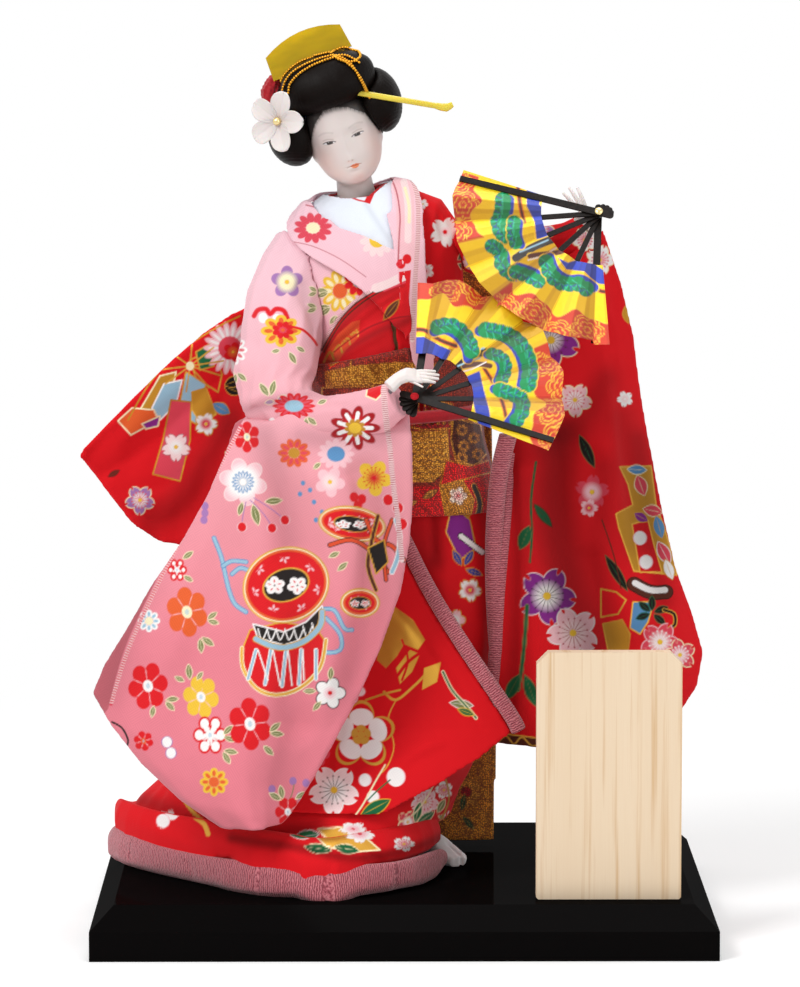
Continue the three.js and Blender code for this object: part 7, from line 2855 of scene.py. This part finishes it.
    def rivet_cap(self, wardrobe: Wardrobe) -> None:
        """Makes the round cap on the rivet's head.

        Args:
            wardrobe: The finishes.
        """
        bm = bmesh.new()
        bmesh.ops.create_uvsphere(bm, u_segments=28, v_segments=16, radius=2.05 * MM)
        turn = Matrix.Rotation(math.radians(90 - self.lean), 4, "X")
        at = Vector(self.world(np.array([0.0, 0.0, 1.15]))) * MM
        bmesh.ops.transform(bm, matrix=Matrix.Translation(at) @ turn @ Matrix.Diagonal((1, 1, 0.5, 1)),
                            verts=bm.verts)
        enter(new_object(f"fan_{self.name}_rivet_cap", bm),
              wardrobe.red_bead if self.cap == "red" else wardrobe.pearl, "doll")


LOW_FAN_PRINT: tuple[Motif, ...] = (
    Field(((408, 337), (424, 336), (440, 345), (452, 350), (446, 362), (430, 358), (408, 354)), Ink.COBALT,
          Ink.YELLOW),
    Field(((466, 376), (480, 370), (484, 388), (490, 410), (493, 440), (480, 436), (472, 400)), Ink.COBALT,
          Ink.YELLOW),
    Line(((408, 331), (424, 330), (440, 340), (456, 346)), 3.0, Ink.BROWN, Ink.ORANGE),
    Line(((484, 368), (494, 384), (503, 404), (508, 428)), 2.4, Ink.BROWN, Ink.ORANGE),
    Line(((454, 372), (464, 362), (474, 354), (486, 352)), 8.0, Ink.BLACK, Ink.YELLOW),
    Line(((464, 366), (478, 364), (490, 366)), 5.0, Ink.BROWN, Ink.YELLOW),
    Line(((458, 366), (468, 362), (480, 358)), 1.6, Ink.SKY),
    Line(((462, 372), (474, 368), (486, 362)), 1.4, Ink.WHITE),
    Line(((470, 358), (476, 352), (484, 348)), 1.4, Ink.SKY),
    Pine(((438, 327), (450, 325), (462, 332), (470, 344), (472, 354)), 8.0, -130),
    Pine(((486, 330), (498, 332), (510, 336), (520, 344), (527, 356), (530, 370), (528, 384)), 8.4, -170),
    Pine(((492, 354), (502, 358), (506, 368), (502, 380)), 6.6, -170),
    Pine(((500, 390), (512, 394), (522, 400), (522, 412), (514, 424)), 7.6, 170),
)

HIGH_FAN_PRINT: tuple[Motif, ...] = (
    Field(((526, 184), (542, 186), (540, 204), (548, 214), (552, 236), (536, 240), (534, 222), (526, 206)),
          Ink.COBALT, Ink.YELLOW),
    Field(((556, 256), (568, 262), (586, 256), (598, 266), (614, 276), (614, 286), (596, 284), (584, 272),
          (566, 270)), Ink.COBALT, Ink.YELLOW),
    Line(((518, 186), (520, 204), (524, 222)), 2.6, Ink.BROWN, Ink.ORANGE),
    Line(((552, 262), (566, 278), (582, 276), (598, 290), (612, 292)), 2.6, Ink.BROWN, Ink.ORANGE),
    Line(((516, 258), (528, 250), (540, 244), (556, 238)), 8.0, Ink.BLACK, Ink.YELLOW),
    Line(((530, 256), (544, 254), (560, 252), (570, 246)), 5.0, Ink.BROWN, Ink.YELLOW),
    Line(((520, 252), (534, 246), (548, 240)), 1.6, Ink.SKY),
    Line(((528, 260), (542, 256), (556, 248)), 1.4, Ink.WHITE),
    Pine(((503, 200), (502, 212), (498, 224), (504, 236)), 8.2, 0),
    Pine(((514, 222), (513, 234), (516, 244)), 6.8, -10),
    Pine(((492, 246), (500, 252), (502, 266), (512, 274)), 7.4, -30),
    Pine(((516, 272), (528, 276), (540, 282)), 7.4, 60),
    Pine(((546, 262), (552, 276), (564, 284), (578, 284), (590, 292)), 7.8, 50),
)

LOW_FAN = FoldingFan("low", (5.0, -88.0, 241.0 + STAND_HEIGHT), 40.0, -20.6,
                     ("doll", "fan_low_rib_1", "fan_low_rib_2", "fan_low_rib_3", "fan_low_rib_4",
                      "fan_low_guard_back"), LOW_FAN_PRINT, "red",
                     bands=((58.0, 90.0, 10.0), (-26.0, 26.0, 11.0)))
HIGH_FAN = FoldingFan("high", (95.0, -30.0, 326.0 + STAND_HEIGHT), 34.0, 164.0,
                      ("fan_high_guard_front", "fan_high_rib_1", "fan_high_rib_2", "fan_high_rib_3",
                       "fan_high_rib_4", "doll"), HIGH_FAN_PRINT, "white",
                      bands=((160.0, 196.0, 10.0), (222.0, 278.0, 12.0)), overhang=2.2, zigzag=1.6)


# Hands


@dataclass
class Hands:
    """The two hands, with softened fingers, in the shell-white coat."""

    voxel: float = 0.3
    rounds: int = 10

    @staticmethod
    def gather(spots: np.ndarray) -> np.ndarray:
        """Brings the right hand's fingers together and bends the thumb in: moves in millimetres.

        Args:
            spots: The points' places in the picture.

        Returns:
            One move for each point, as rows.
        """
        right, up, _ = VIEW.axes()
        x, y = spots.T
        thumb = (x > 407) & (y > 380.3)
        share = np.clip((x - 406) / 12, 0, 1)
        middle = 371 + (x - 408) * 0.12
        move = np.stack([-(x - 408) * 0.16 * share, ((middle - y) * 0.26 + 4.5) * share], axis=-1)
        root = np.array([409.0, 381.0])
        bend = (root + (spots - root) * np.array([0.5, 0.3])) - spots
        move = np.where(thumb[:, None], bend, move) * POINT
        return move[:, :1] * right[None, :] - move[:, 1:] * up[None, :]

    def make(self, wardrobe: Wardrobe) -> None:
        """Makes both hands.

        Args:
            wardrobe: The finishes.
        """
        for side in ("right", "left"):
            hand = form_of(f"hand_{side}", f"hand_{side}_coated", self.voxel, self.rounds)
            if side == "right":
                points = points_of(hand.data)
                place_points(hand.data, points + self.gather(VIEW.project(points)))
                place_points(hand.data, points_of(hand.data) + normals_of(hand.data) * 0.22)
            count = len(hand.data.vertices)
            write_colour(hand.data, "print", np.tile([*srgb("EFE6E2"), 1.0], (count, 1)))
            enter(hand, wardrobe.shell, "doll", f"hand_{side}")


# Head, hair and what is worn in it


HEAD_AT = np.array([-28.5, -2.0, 386.8])
HEAD_TURN = np.array(Matrix.Rotation(math.radians(-18.4), 3, "Y")
                     @ Matrix.Rotation(math.radians(5.0), 3, "X"))


def to_head(points: np.ndarray) -> np.ndarray:
    """Takes points in millimetres to the head's own frame: X across, Y back, Z up."""
    return (points - HEAD_AT) @ HEAD_TURN


def from_head(local: np.ndarray) -> np.ndarray:
    """Takes points from the head's own frame to the object's, in millimetres."""
    return local @ HEAD_TURN.T + HEAD_AT


def swell(x: np.ndarray, z: np.ndarray, at: Point, wide: float, high: float, amount: float) -> np.ndarray:
    """Gives a soft rise of a width and height in the head's front view."""
    return amount * np.exp(-((x - at[0]) / wide) ** 2 - ((z - at[1]) / high) ** 2)


@dataclass
class Face:
    """The head with its sculpted and painted features. Sizes are in millimetres in the head's frame."""

    voxel: float = 0.68
    eye_x: float = 7.1
    eye_z: float = 1.5
    mouth: Point = (0.1, -12.6)
    shift: Point = (-0.7, 1.2)
    lid: Path = ((-3.1, -0.3), (-1.6, 0.3), (0.2, 0.55), (2.0, 0.5), (3.2, 0.2))
    # Rises and hollows: place, half width, half height and amount. Those of a side are mirrored.
    of_a_side: tuple[tuple[Point, float, float, float], ...] = (
        ((6.7, 0.9), 4.4, 2.6, -0.75), ((7.1, -0.1), 3.3, 1.5, 0.4), ((9.5, -8.0), 5.5, 5.0, 0.45),
        ((6.5, 5.2), 5.0, 2.0, 0.3), ((0.95, -10.9), 0.5, 0.35, -0.3))
    in_the_middle: tuple[tuple[Point, float, float, float], ...] = (
        ((0.0, -2.5), 1.9, 5.5, 0.55), ((0.3, -12.9), 1.9, 0.75, 0.4), ((0.6, -14.7), 1.8, 0.85, 0.45),
        ((0.7, -13.8), 3.4, 0.32, -0.35), ((0.4, -16.6), 2.4, 0.8, -0.3), ((0.3, -19.4), 3.2, 2.0, 0.35))

    def make(self, wardrobe: Wardrobe) -> None:
        """Makes the head.

        Args:
            wardrobe: The finishes.
        """
        head = form_of("head", "head_coated", self.voxel, 34, 0.0)
        refine(head, self.in_face(points_of(head.data)), cuts=2)
        relax(head.data, 3)
        self.sculpt(head.data)
        self.paint(head.data)
        enter(head, wardrobe.shell, "head", "head")

    @staticmethod
    def in_face(points: np.ndarray) -> np.ndarray:
        """Says which points lie in the front of the face."""
        local = to_head(points)
        return (local[:, 1] < -5) & (local[:, 2] < 17) & (local[:, 2] > -20)

    def sculpt(self, mesh: bpy.types.Mesh) -> None:
        """Shapes eye sockets, lids, bridge, lips, cheeks and chin.

        Args:
            mesh: The mesh.
        """
        local = to_head(points_of(mesh))
        x, y, z = local[:, 0] - self.shift[0], local[:, 1], local[:, 2] - self.shift[1]
        out = sum(swell(x, z, *rise) for rise in self.in_the_middle)
        for side in (-1, 1):
            out += sum(swell(x * side, z, *rise) for rise in self.of_a_side)
            lid = x * side - self.eye_x
            out -= 0.16 * np.exp(-((z - self.lid_line(lid) - 0.4) / 0.3) ** 2) * (np.abs(lid) < 3.2)
        local[:, 1] -= out * np.clip((-y - 2) / 5, 0, 1)
        place_points(mesh, from_head(local))

    def lid_line(self, across: np.ndarray) -> np.ndarray:
        """Gives the height of the upper lid's edge, from the inner to the outer corner."""
        return np.interp(across, *zip(*self.lid))

    def paint(self, mesh: bpy.types.Mesh) -> None:
        """Paints eyes, brows, mouth, the painted reflection of the pink cloth on cheeks, jaw and chin, the
        painted shade under the nose and the hair's first strands at its edge.

        Args:
            mesh: The mesh.
        """
        points = points_of(mesh)
        local = to_head(points)
        sheet = Sheet(points, np.ones(len(points)), srgb("DDD1CD"))
        sheet.spots = local[:, [0, 2]]
        rows = np.flatnonzero(local[:, 1] < -2)
        q = sheet.spots[rows]
        self.paint_cheeks(sheet, rows, q)
        for side in (-1, 1):
            self.paint_eye(sheet, rows, q, side)
        self.paint_mouth(sheet, rows, q)
        self.paint_hairline(sheet, rows, q)
        write_colour(mesh, "print", sheet.dye)

    def paint_cheeks(self, sheet: Sheet, rows: np.ndarray, q: np.ndarray) -> None:
        """Paints a reflection of the pink cloth on the cheeks, jaw and chin, and a soft shade under the
        nose.

        Args:
            sheet: The sheet to print on.
            rows: Indices of the points.
            q: Places of the points, as rows.
        """
        # Painted reflection of the pink cloth, strongest on the cheeks and chin and warmer at the jaw.
        reflected_pink, reflected_warm = srgb("EFA08A"), srgb("F0B49C")
        for at, wide, high, share in (((-13.5, -8.0), 6.0, 9.0, 0.34), ((14.0, -8.0), 5.5, 9.0, 0.3),
                                      ((0.4, -19.5), 6.0, 3.4, 0.34), ((-8.0, -15.5), 5.0, 3.5, 0.2),
                                      ((8.8, -15.0), 5.0, 3.5, 0.2)):
            glow = swell(q[:, 0], q[:, 1], at, wide, high, share)
            sheet.blend(rows, glow, (reflected_pink if share > 0.25 else reflected_warm))
        # Painted shade under the nose.
        shade = swell(q[:, 0], q[:, 1], (-0.9, -10.1), 2.2, 0.7, 0.3)
        sheet.blend(rows, shade, srgb("D9A89C"))
        for side in (-1, 1):
            sheet.lay(rows, oval(q, (0.95 * side - 0.7, -9.7), 0.34, 0.2), srgb("B57A6C"), soft=0.25,
                      strength=0.7)

    def paint_eye(self, sheet: Sheet, rows: np.ndarray, q: np.ndarray, side: int) -> None:
        """Paints one eye and its brow.

        Args:
            sheet: The sheet to print on.
            rows: Indices of the points.
            q: Places of the points, as rows.
            side: -1 for the right eye and 1 for the left one.
        """
        ex, ez = self.eye_x * side - 0.55, self.eye_z - (0.12 if side > 0 else 0.0)
        across = (q[:, 0] - ex) * side
        up = q[:, 1] - ez
        top = self.lid_line(across)
        low = np.interp(across, [-3.1, -1.2, 0.8, 2.8], [-0.35, -0.75, -0.8, -0.25])
        almond = np.maximum.reduce([up - top, low - up, np.abs(across) - 2.95])
        sheet.lay(rows, almond, srgb("E6E2E4"), soft=0.2)
        iris = np.hypot(q[:, 0] - ex + 0.1 * side, up - 0.05) - 1.6
        sheet.lay(rows, np.maximum(iris, almond), srgb("2A1812"), soft=0.2)
        sheet.lay(rows, np.maximum(iris + 0.5, almond), srgb("0A0605"), soft=0.25)
        glint = np.hypot(q[:, 0] - ex + 0.45, up - 0.4) - 0.22
        sheet.lay(rows, np.maximum(glint, almond), srgb("FFFFFF"), soft=0.15)
        spots = np.stack([across, up], axis=-1)
        lash = ((-3.0, -0.3), *self.lid[1:])
        crease_above = ((-2.2, 1.1), (0.4, 1.8), (2.8, 1.6))
        lower = ((-2.9, -0.4), (-1.2, -0.8), (0.8, -0.85), (2.8, -0.3))
        brow = ((-2.9, 4.2), (-0.5, 5.0), (2.0, 5.1), (4.0, 4.4))
        for line, half, colour, soft, strength in (
                (lash, 0.2, "3A2A24", 0.3, 1.0), (crease_above, 0.12, "8E6A60", 0.7, 0.6),
                (lower, 0.07, "6E4436", 0.2, 0.7), (brow, 0.22, "8A807A", 1.1, 0.36)):
            sheet.lay(rows, stroke(spots, smooth_line(line), half), srgb(colour), soft=soft,
                      strength=strength)

    def paint_mouth(self, sheet: Sheet, rows: np.ndarray, q: np.ndarray) -> None:
        """Paints the small lips and the line between them.

        Args:
            sheet: The sheet to print on.
            rows: Indices of the points.
            q: Places of the points, as rows.
        """
        own = q - np.array(self.mouth)
        upper = patch(own, ((-2.1, 0.05), (-1.1, 0.6), (-0.1, 0.95), (0.5, 0.75), (1.2, 0.98), (2.3, 0.5),
                            (3.4, 0.05), (0.6, -0.2)))
        sheet.lay(rows, upper, srgb("E2703C"), soft=0.4)
        lower = patch(own, ((-1.6, -0.05), (2.8, -0.05), (2.0, -0.95), (0.6, -1.35), (-0.8, -1.0)))
        sheet.lay(rows, lower, srgb("E88048"), soft=0.4)
        line = smooth_line(((-3.6, -0.15), (-1.6, 0.02), (0.4, -0.14), (2.2, 0.02), (3.9, -0.02)))
        sheet.lay(rows, stroke(own, line, 0.1), srgb("8C4028"), soft=0.2, strength=0.85)

    @staticmethod
    def paint_hairline(sheet: Sheet, rows: np.ndarray, q: np.ndarray) -> None:
        """Paints fine strands that leave the forehead at the edge of the hair.

        Args:
            sheet: The sheet to print on.
            rows: Indices of the points.
            q: Places of the points, as rows.
        """
        edge_x = [-18, -13.4, -11.2, -5.8, 0, 6.3, 13.3, 17.2]
        edge_z = [0.0, 8.7, 11.7, 16.3, 16.4, 14.4, 8.6, -2.8]
        above = q[:, 1] - np.interp(q[:, 0], edge_x, edge_z)
        way = np.arctan2(q[:, 0], q[:, 1] + 6)
        streak = 0.5 + 0.5 * np.sin(way * 95) * np.sin(way * 37 + 1)
        share = (np.clip((above + 1.7) / 2.4, 0, 1) ** 1.6 * (0.35 + 0.65 * streak))
        share = np.where(above > 0.8, 1.0, share)
        sheet.blend(rows, share, srgb("17100E"))


@dataclass(frozen=True)
class HairPart:
    """One part of the dressed hair and the way its strands are combed."""

    node: str
    comb: Callable[[np.ndarray], np.ndarray]
    groove: float = 0.12
    pitch: float = 1.5
    voxel: float = 0.75
    rounds: int = 56
    grow: float = 0.55
    pulls: tuple[Pull, ...] = ()

    def make(self, wardrobe: Wardrobe) -> bpy.types.Object:
        """Makes the part with its combed grooves.

        Args:
            wardrobe: The finishes.

        Returns:
            The finished piece.
        """
        hair = form_of(self.node, self.node + "_strands", self.voxel, self.rounds, 0.0)
        place_points(hair.data, points_of(hair.data) + normals_of(hair.data) * self.grow)
        pull(hair.data, self.pulls)
        points = points_of(hair.data)
        across = self.comb(to_head(points))
        phase = across * 2 * math.pi / self.pitch
        wave = np.sin(phase) + 0.6 * np.sin(phase / 0.37 + 1)
        place_points(hair.data, points - normals_of(hair.data) * (self.groove * 0.5 * (wave + 1))[:, None])
        write_number(hair.data, "across", across)
        return enter(hair, wardrobe.hair, "head", self.node)


def swept_back(local: np.ndarray) -> np.ndarray:
    """Counts millimetres round the front roll, whose strands run up and back to the comb."""
    return np.arctan2(local[:, 0], 9 - local[:, 1]) * 26


def swept_side(local: np.ndarray) -> np.ndarray:
    """Counts millimetres down a side wing, whose strands run back round the head."""
    return local[:, 2] - 0.35 * np.abs(local[:, 0]) + 0.25 * local[:, 1]


def swept_up(local: np.ndarray) -> np.ndarray:
    """Counts millimetres across the nape, whose strands run up to the knot."""
    return local[:, 0] + 0.1 * local[:, 2]


def looped(local: np.ndarray) -> np.ndarray:
    """Counts millimetres across the top loops, whose strands run from side to side."""
    return np.hypot(local[:, 1] - 16, local[:, 2] - 32)


FRONT_PULLS = (Pull(((284, 88), (298, 78), (318, 69), (345, 62), (364, 68)), 22, (-1, -9, 0)),)


@dataclass
class HeadDress:
    """Hair, comb, hairpin, flower, gold cords and the red crepe at the topknot."""

    bead: float = 0.72
    pitch: float = 1.36

    def make(self, wardrobe: Wardrobe) -> None:
        """Makes the hair and everything in it.

        Args:
            wardrobe: The finishes.
        """
        hair = [HairPart(f"hair_{name}", comb, pulls=pulls).make(wardrobe) for name, comb, pulls in (
            ("front", swept_back, FRONT_PULLS), ("side_right", swept_side, ()),
            ("side_left", swept_side, ()), ("nape", swept_up, ()), ("knot", looped, ()))]
        refinish("comb", wardrobe.comb)
        refinish("hairpin", wardrobe.pin)
        self.crepe(wardrobe)
        self.flower(wardrobe)
        self.gold_cords(hair, wardrobe)

    def crepe(self, wardrobe: Wardrobe) -> None:
        """Makes the dappled crepe wound at the topknot, with its puffs.

        Args:
            wardrobe: The finishes.
        """
        crepe = form_of("hair_crepe", "hair_crepe_cloth", 0.4, 10)
        points = points_of(crepe.data)
        local = to_head(points)
        puff = 0.3 * np.sin(local[:, 0] * 2.1 + local[:, 1]) * np.sin(local[:, 2] * 1.8) - 0.2
        place_points(crepe.data, points + normals_of(crepe.data) * puff[:, None])
        enter(crepe, wardrobe.hair_red, "head", "hair_crepe")

    def flower(self, wardrobe: Wardrobe) -> None:
        """Makes the five-petal flower on its stem and the gold bead in its middle.

        Args:
            wardrobe: The finishes.
        """
        way = Vector((-0.45, -0.85, 0.2)).normalized()
        turn = Vector((0.0, 0.0, 1.0)).rotation_difference(way).to_matrix()
        place = np.array(turn)
        at = np.array([-27.6, -20.0, 20.0])

        def out(local: np.ndarray) -> np.ndarray:
            """Takes points from the flower's own frame to the object's."""
            return from_head(local @ place.T + at)

        bm = bmesh.new()
        numbers = []
        rows, columns = 26, 22
        for k in range(5):
            made = bmesh.ops.create_grid(bm, x_segments=rows, y_segments=columns, size=1.0)
            angle = math.radians(72 * k + 30)
            for vert in made["verts"]:
                t, v = (vert.co.x + 1) / 2 * 0.985, vert.co.y
                x = (1 - t) ** 3 + 15 * (1 - t) ** 2 * t + 45 * (1 - t) * t * t + 15 * t ** 3
                half = 1.2 * (1 - t) ** 3 + 25.5 * (1 - t) ** 2 * t + 24 * (1 - t) * t * t
                half *= 0.86
                x -= 1.3 * math.exp(-(v / 0.2) ** 2) * t ** 6
                lift = 0.16 * x + 1.7 * v * v * math.sin(math.pi * min(t * 1.1, 1)) \
                    - 0.55 * math.exp(-(v / 0.14) ** 2) * (1 - t) - 0.8 * max(t - 0.75, 0) * 4 * v * v
                local = np.array([x * math.cos(angle) - v * half * math.sin(angle),
                                  x * math.sin(angle) + v * half * math.cos(angle), lift + 0.5 + k * 0.05])
                vert.co = Vector(out(local)) * MM
                numbers.append((v * 9.0, math.exp(-x / 5.0)))
        bmesh.ops.recalc_face_normals(bm, faces=bm.faces)
        petals = new_object("hair_flower_petals", bm)
        write_number(petals.data, "across", np.array([n[0] for n in numbers]))
        write_number(petals.data, "depth", np.array([n[1] for n in numbers]))
        solid = petals.modifiers.new("satin", "SOLIDIFY")
        solid.thickness = 0.45 * MM
        solid.offset = 0.0
        settle(petals)
        enter(petals, wardrobe.petal, "hair_flower", "hair_flower")
        bm = bmesh.new()
        made = bmesh.ops.create_uvsphere(bm, u_segments=26, v_segments=16, radius=2.1 * MM)
        centre = Vector(out(np.array([0.0, 0.0, 1.9]))) * MM
        bmesh.ops.translate(bm, vec=centre, verts=made["verts"])
        enter(new_object("hair_flower_bead", bm), wardrobe.pearl, "hair_flower")
        bm = bmesh.new()
        path = [Vector(out(np.array([0.0, 0.0, z]))) * MM for z in (0.6, -5.0, -10.0, -14.8)]
        tube_along(bm, path, 0.75 * MM, 12)
        enter(new_object("hair_flower_stem", bm), wardrobe.gold, "hair_flower")

    def gold_cords(self, hair: list[bpy.types.Object], wardrobe: Wardrobe) -> None:
        """Lays strings of small gold beads on the hair, where the picture shows them.

        Args:
            hair: The parts of the hair.
            wardrobe: The finishes.
        """
        seen = [BVHTree.FromPolygons([v.co for v in obj.data.vertices],
                                     [p.vertices for p in obj.data.polygons])
                for obj in [*hair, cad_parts["comb"]]]
        strings = (
            ((279, 90), (282, 79), (289, 70), (300, 62), (314, 57), (331, 53)),
            ((283, 92), (286, 82), (293, 73), (304, 66), (318, 60), (333, 56)),
            ((289, 93), (291, 84), (299, 75), (311, 67), (325, 61), (338, 57)),
            ((331, 54), (341, 48), (353, 49), (360, 56), (353, 62), (341, 61), (334, 57)),
            ((334, 57), (345, 56), (354, 60), (360, 64)),
            ((336, 58), (346, 63), (356, 72), (363, 84), (370, 98)),
            ((333, 56), (343, 59), (352, 66), (359, 78), (366, 92), (369, 98)),
        )
        bm = bmesh.new()
        for string in strings:
            self.string_beads(bm, self.on_hair(string, seen))
        enter(new_object("gold_cord_beads", bm), wardrobe.gold, "head", "gold_cord")

    def on_hair(self, string: Path, trees: list[BVHTree]) -> list[Vector]:
        """Finds the points of the hair under a line of the picture, a little proud of it.

        Args:
            string: Points of the picture.
            trees: Search trees of the hair's parts and the comb.

        Returns:
            The points found, in metres.
        """
        found = []
        for across, down in smooth_line(string, 10):
            start, way = VIEW.ray(across, down)
            hits = [hit for tree in trees if (hit := tree.ray_cast(start, way))[0] is not None]
            if not hits:
                continue
            near = min(hits, key=lambda hit: hit[3])
            found.append(near[0] + near[1] * self.bead * 0.8 * MM - way * 0.3 * MM)
        return found

    def string_beads(self, bm: bmesh.types.BMesh, line: list[Vector]) -> None:
        """Sets beads along a line at an even pitch.

        Args:
            bm: The bmesh that takes the beads.
            line: Points of the string, in metres.
        """
        gone = 0.0
        for a, b in zip(line, line[1:]):
            step = (b - a).length / MM
            while gone <= step:
                made = bmesh.ops.create_icosphere(bm, subdivisions=2, radius=self.bead * MM)
                bmesh.ops.translate(bm, vec=a.lerp(b, gone / max(step, 1e-6)), verts=made["verts"])
                gone += self.pitch
            gone -= step


# The studio round the object


@dataclass
class Studio:
    """Camera, pale floor, white background and soft lamps. Lamps have a place, a size and a power."""

    floor: float = 6.0
    white: Colour = (1.0, 1.0, 1.0)
    floor_grey: Colour = (0.9, 0.9, 0.9)
    world_light: float = 0.34
    floor_glow: float = 0.25
    fade_from: float = 0.22
    fade_to: float = 0.75
    aim: Place = (0.0, 0.0, 0.22)
    lamps: tuple[tuple[str, Place, float, float], ...] = (
        ("key", (-1.5, -1.7, 2.1), 1.1, 46.0), ("fill", (1.8, -1.5, 1.0), 1.8, 12.0),
        ("top", (0.2, 0.2, 2.4), 1.5, 20.0))

    def make(self) -> None:
        """Sets up the studio."""
        bpy.context.scene.view_settings.view_transform = "Standard"
        VIEW.camera()
        self.background()
        self.floor_plane()
        for lamp in self.lamps:
            self.light(*lamp)

    def background(self) -> None:
        """Makes the world white where it is seen and even grey where it lights."""
        world = bpy.data.worlds.new("studio")
        world.use_nodes = True
        world.node_tree.nodes.clear()
        bpy.context.scene.world = world
        tree = Tree(world.node_tree)
        light = tree.add("Background", Color=self.white, Strength=self.world_light)
        seen = tree.add("Background", Color=self.white, Strength=1.0)
        tree.add("OutputWorld", Surface=tree.either(self.seen_rays(tree), light, seen))

    @staticmethod
    def seen_rays(tree: Tree) -> Socket:
        """Gives 1 for rays of the camera, of reflections and of clear pieces.

        Args:
            tree: The tree that they are read in.

        Returns:
            The output that says so.
        """
        rays = tree.add("LightPath").outputs
        mirrored = tree.math("MAXIMUM", rays["Is Camera Ray"], rays["Is Glossy Ray"])
        return tree.math("MAXIMUM", mirrored, rays["Is Transmission Ray"])

    def floor_plane(self) -> None:
        """Makes the floor: a pale matt plane that keeps the object's shadow and fades to white."""
        bm = bmesh.new()
        bmesh.ops.create_grid(bm, x_segments=1, y_segments=1, size=self.floor)
        floor = new_object("studio_floor", bm, smooth=False)
        matt = Recipe("studio floor", self.floor_grey, 0.95, Specular_IOR_Level=0.1,
                      Emission_Color=self.white)
        seen = self.seen_rays(matt)
        matt.feed(matt.shader.inputs["Emission Strength"], matt.times(seen, self.floor_glow))
        far = matt.add("VectorMath", "LENGTH", Vector=matt.coords.outputs["Object"])
        fade = matt.add("MapRange", Value=far.outputs["Value"], From_Min=self.fade_from,
                        From_Max=self.fade_to)
        fade.interpolation_type = "SMOOTHSTEP"
        faded = matt.either(matt.times(fade.outputs["Result"], seen), matt.shader, matt.add("Emission"))
        matt.feed(matt.tree.nodes["Material Output"].inputs["Surface"], faded)
        floor.data.materials.append(matt.material)

    def light(self, name: str, place: Place, size: float, power: float) -> None:
        """Adds a square soft lamp that points at the doll.

        Args:
            name: Name of the lamp.
            place: Where it stands, in metres.
            size: Length of its sides, in metres.
            power: Its power, in watts.
        """
        data = bpy.data.lights.new(name, "AREA")
        data.size = size
        data.energy = power
        lamp = link(bpy.data.objects.new(name, data))
        lamp.location = place
        lamp.rotation_euler = (Vector(self.aim) - Vector(place)).to_track_quat("-Z", "Y").to_euler()


def main() -> None:
    """Builds the visual model in order."""
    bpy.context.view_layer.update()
    wardrobe = Wardrobe()
    Stand().make(wardrobe)
    Core().make(wardrobe)
    Skirt().make(wardrobe)
    Bodice().make(wardrobe)
    Sash().make(wardrobe)
    Sleeves().make(wardrobe)
    LOW_FAN.make(wardrobe)
    HIGH_FAN.make(wardrobe)
    Hands().make(wardrobe)
    Face().make(wardrobe)
    HeadDress().make(wardrobe)
    Studio().make()
    bpy.context.view_layer.update()


if __name__ == "__main__":
    main()
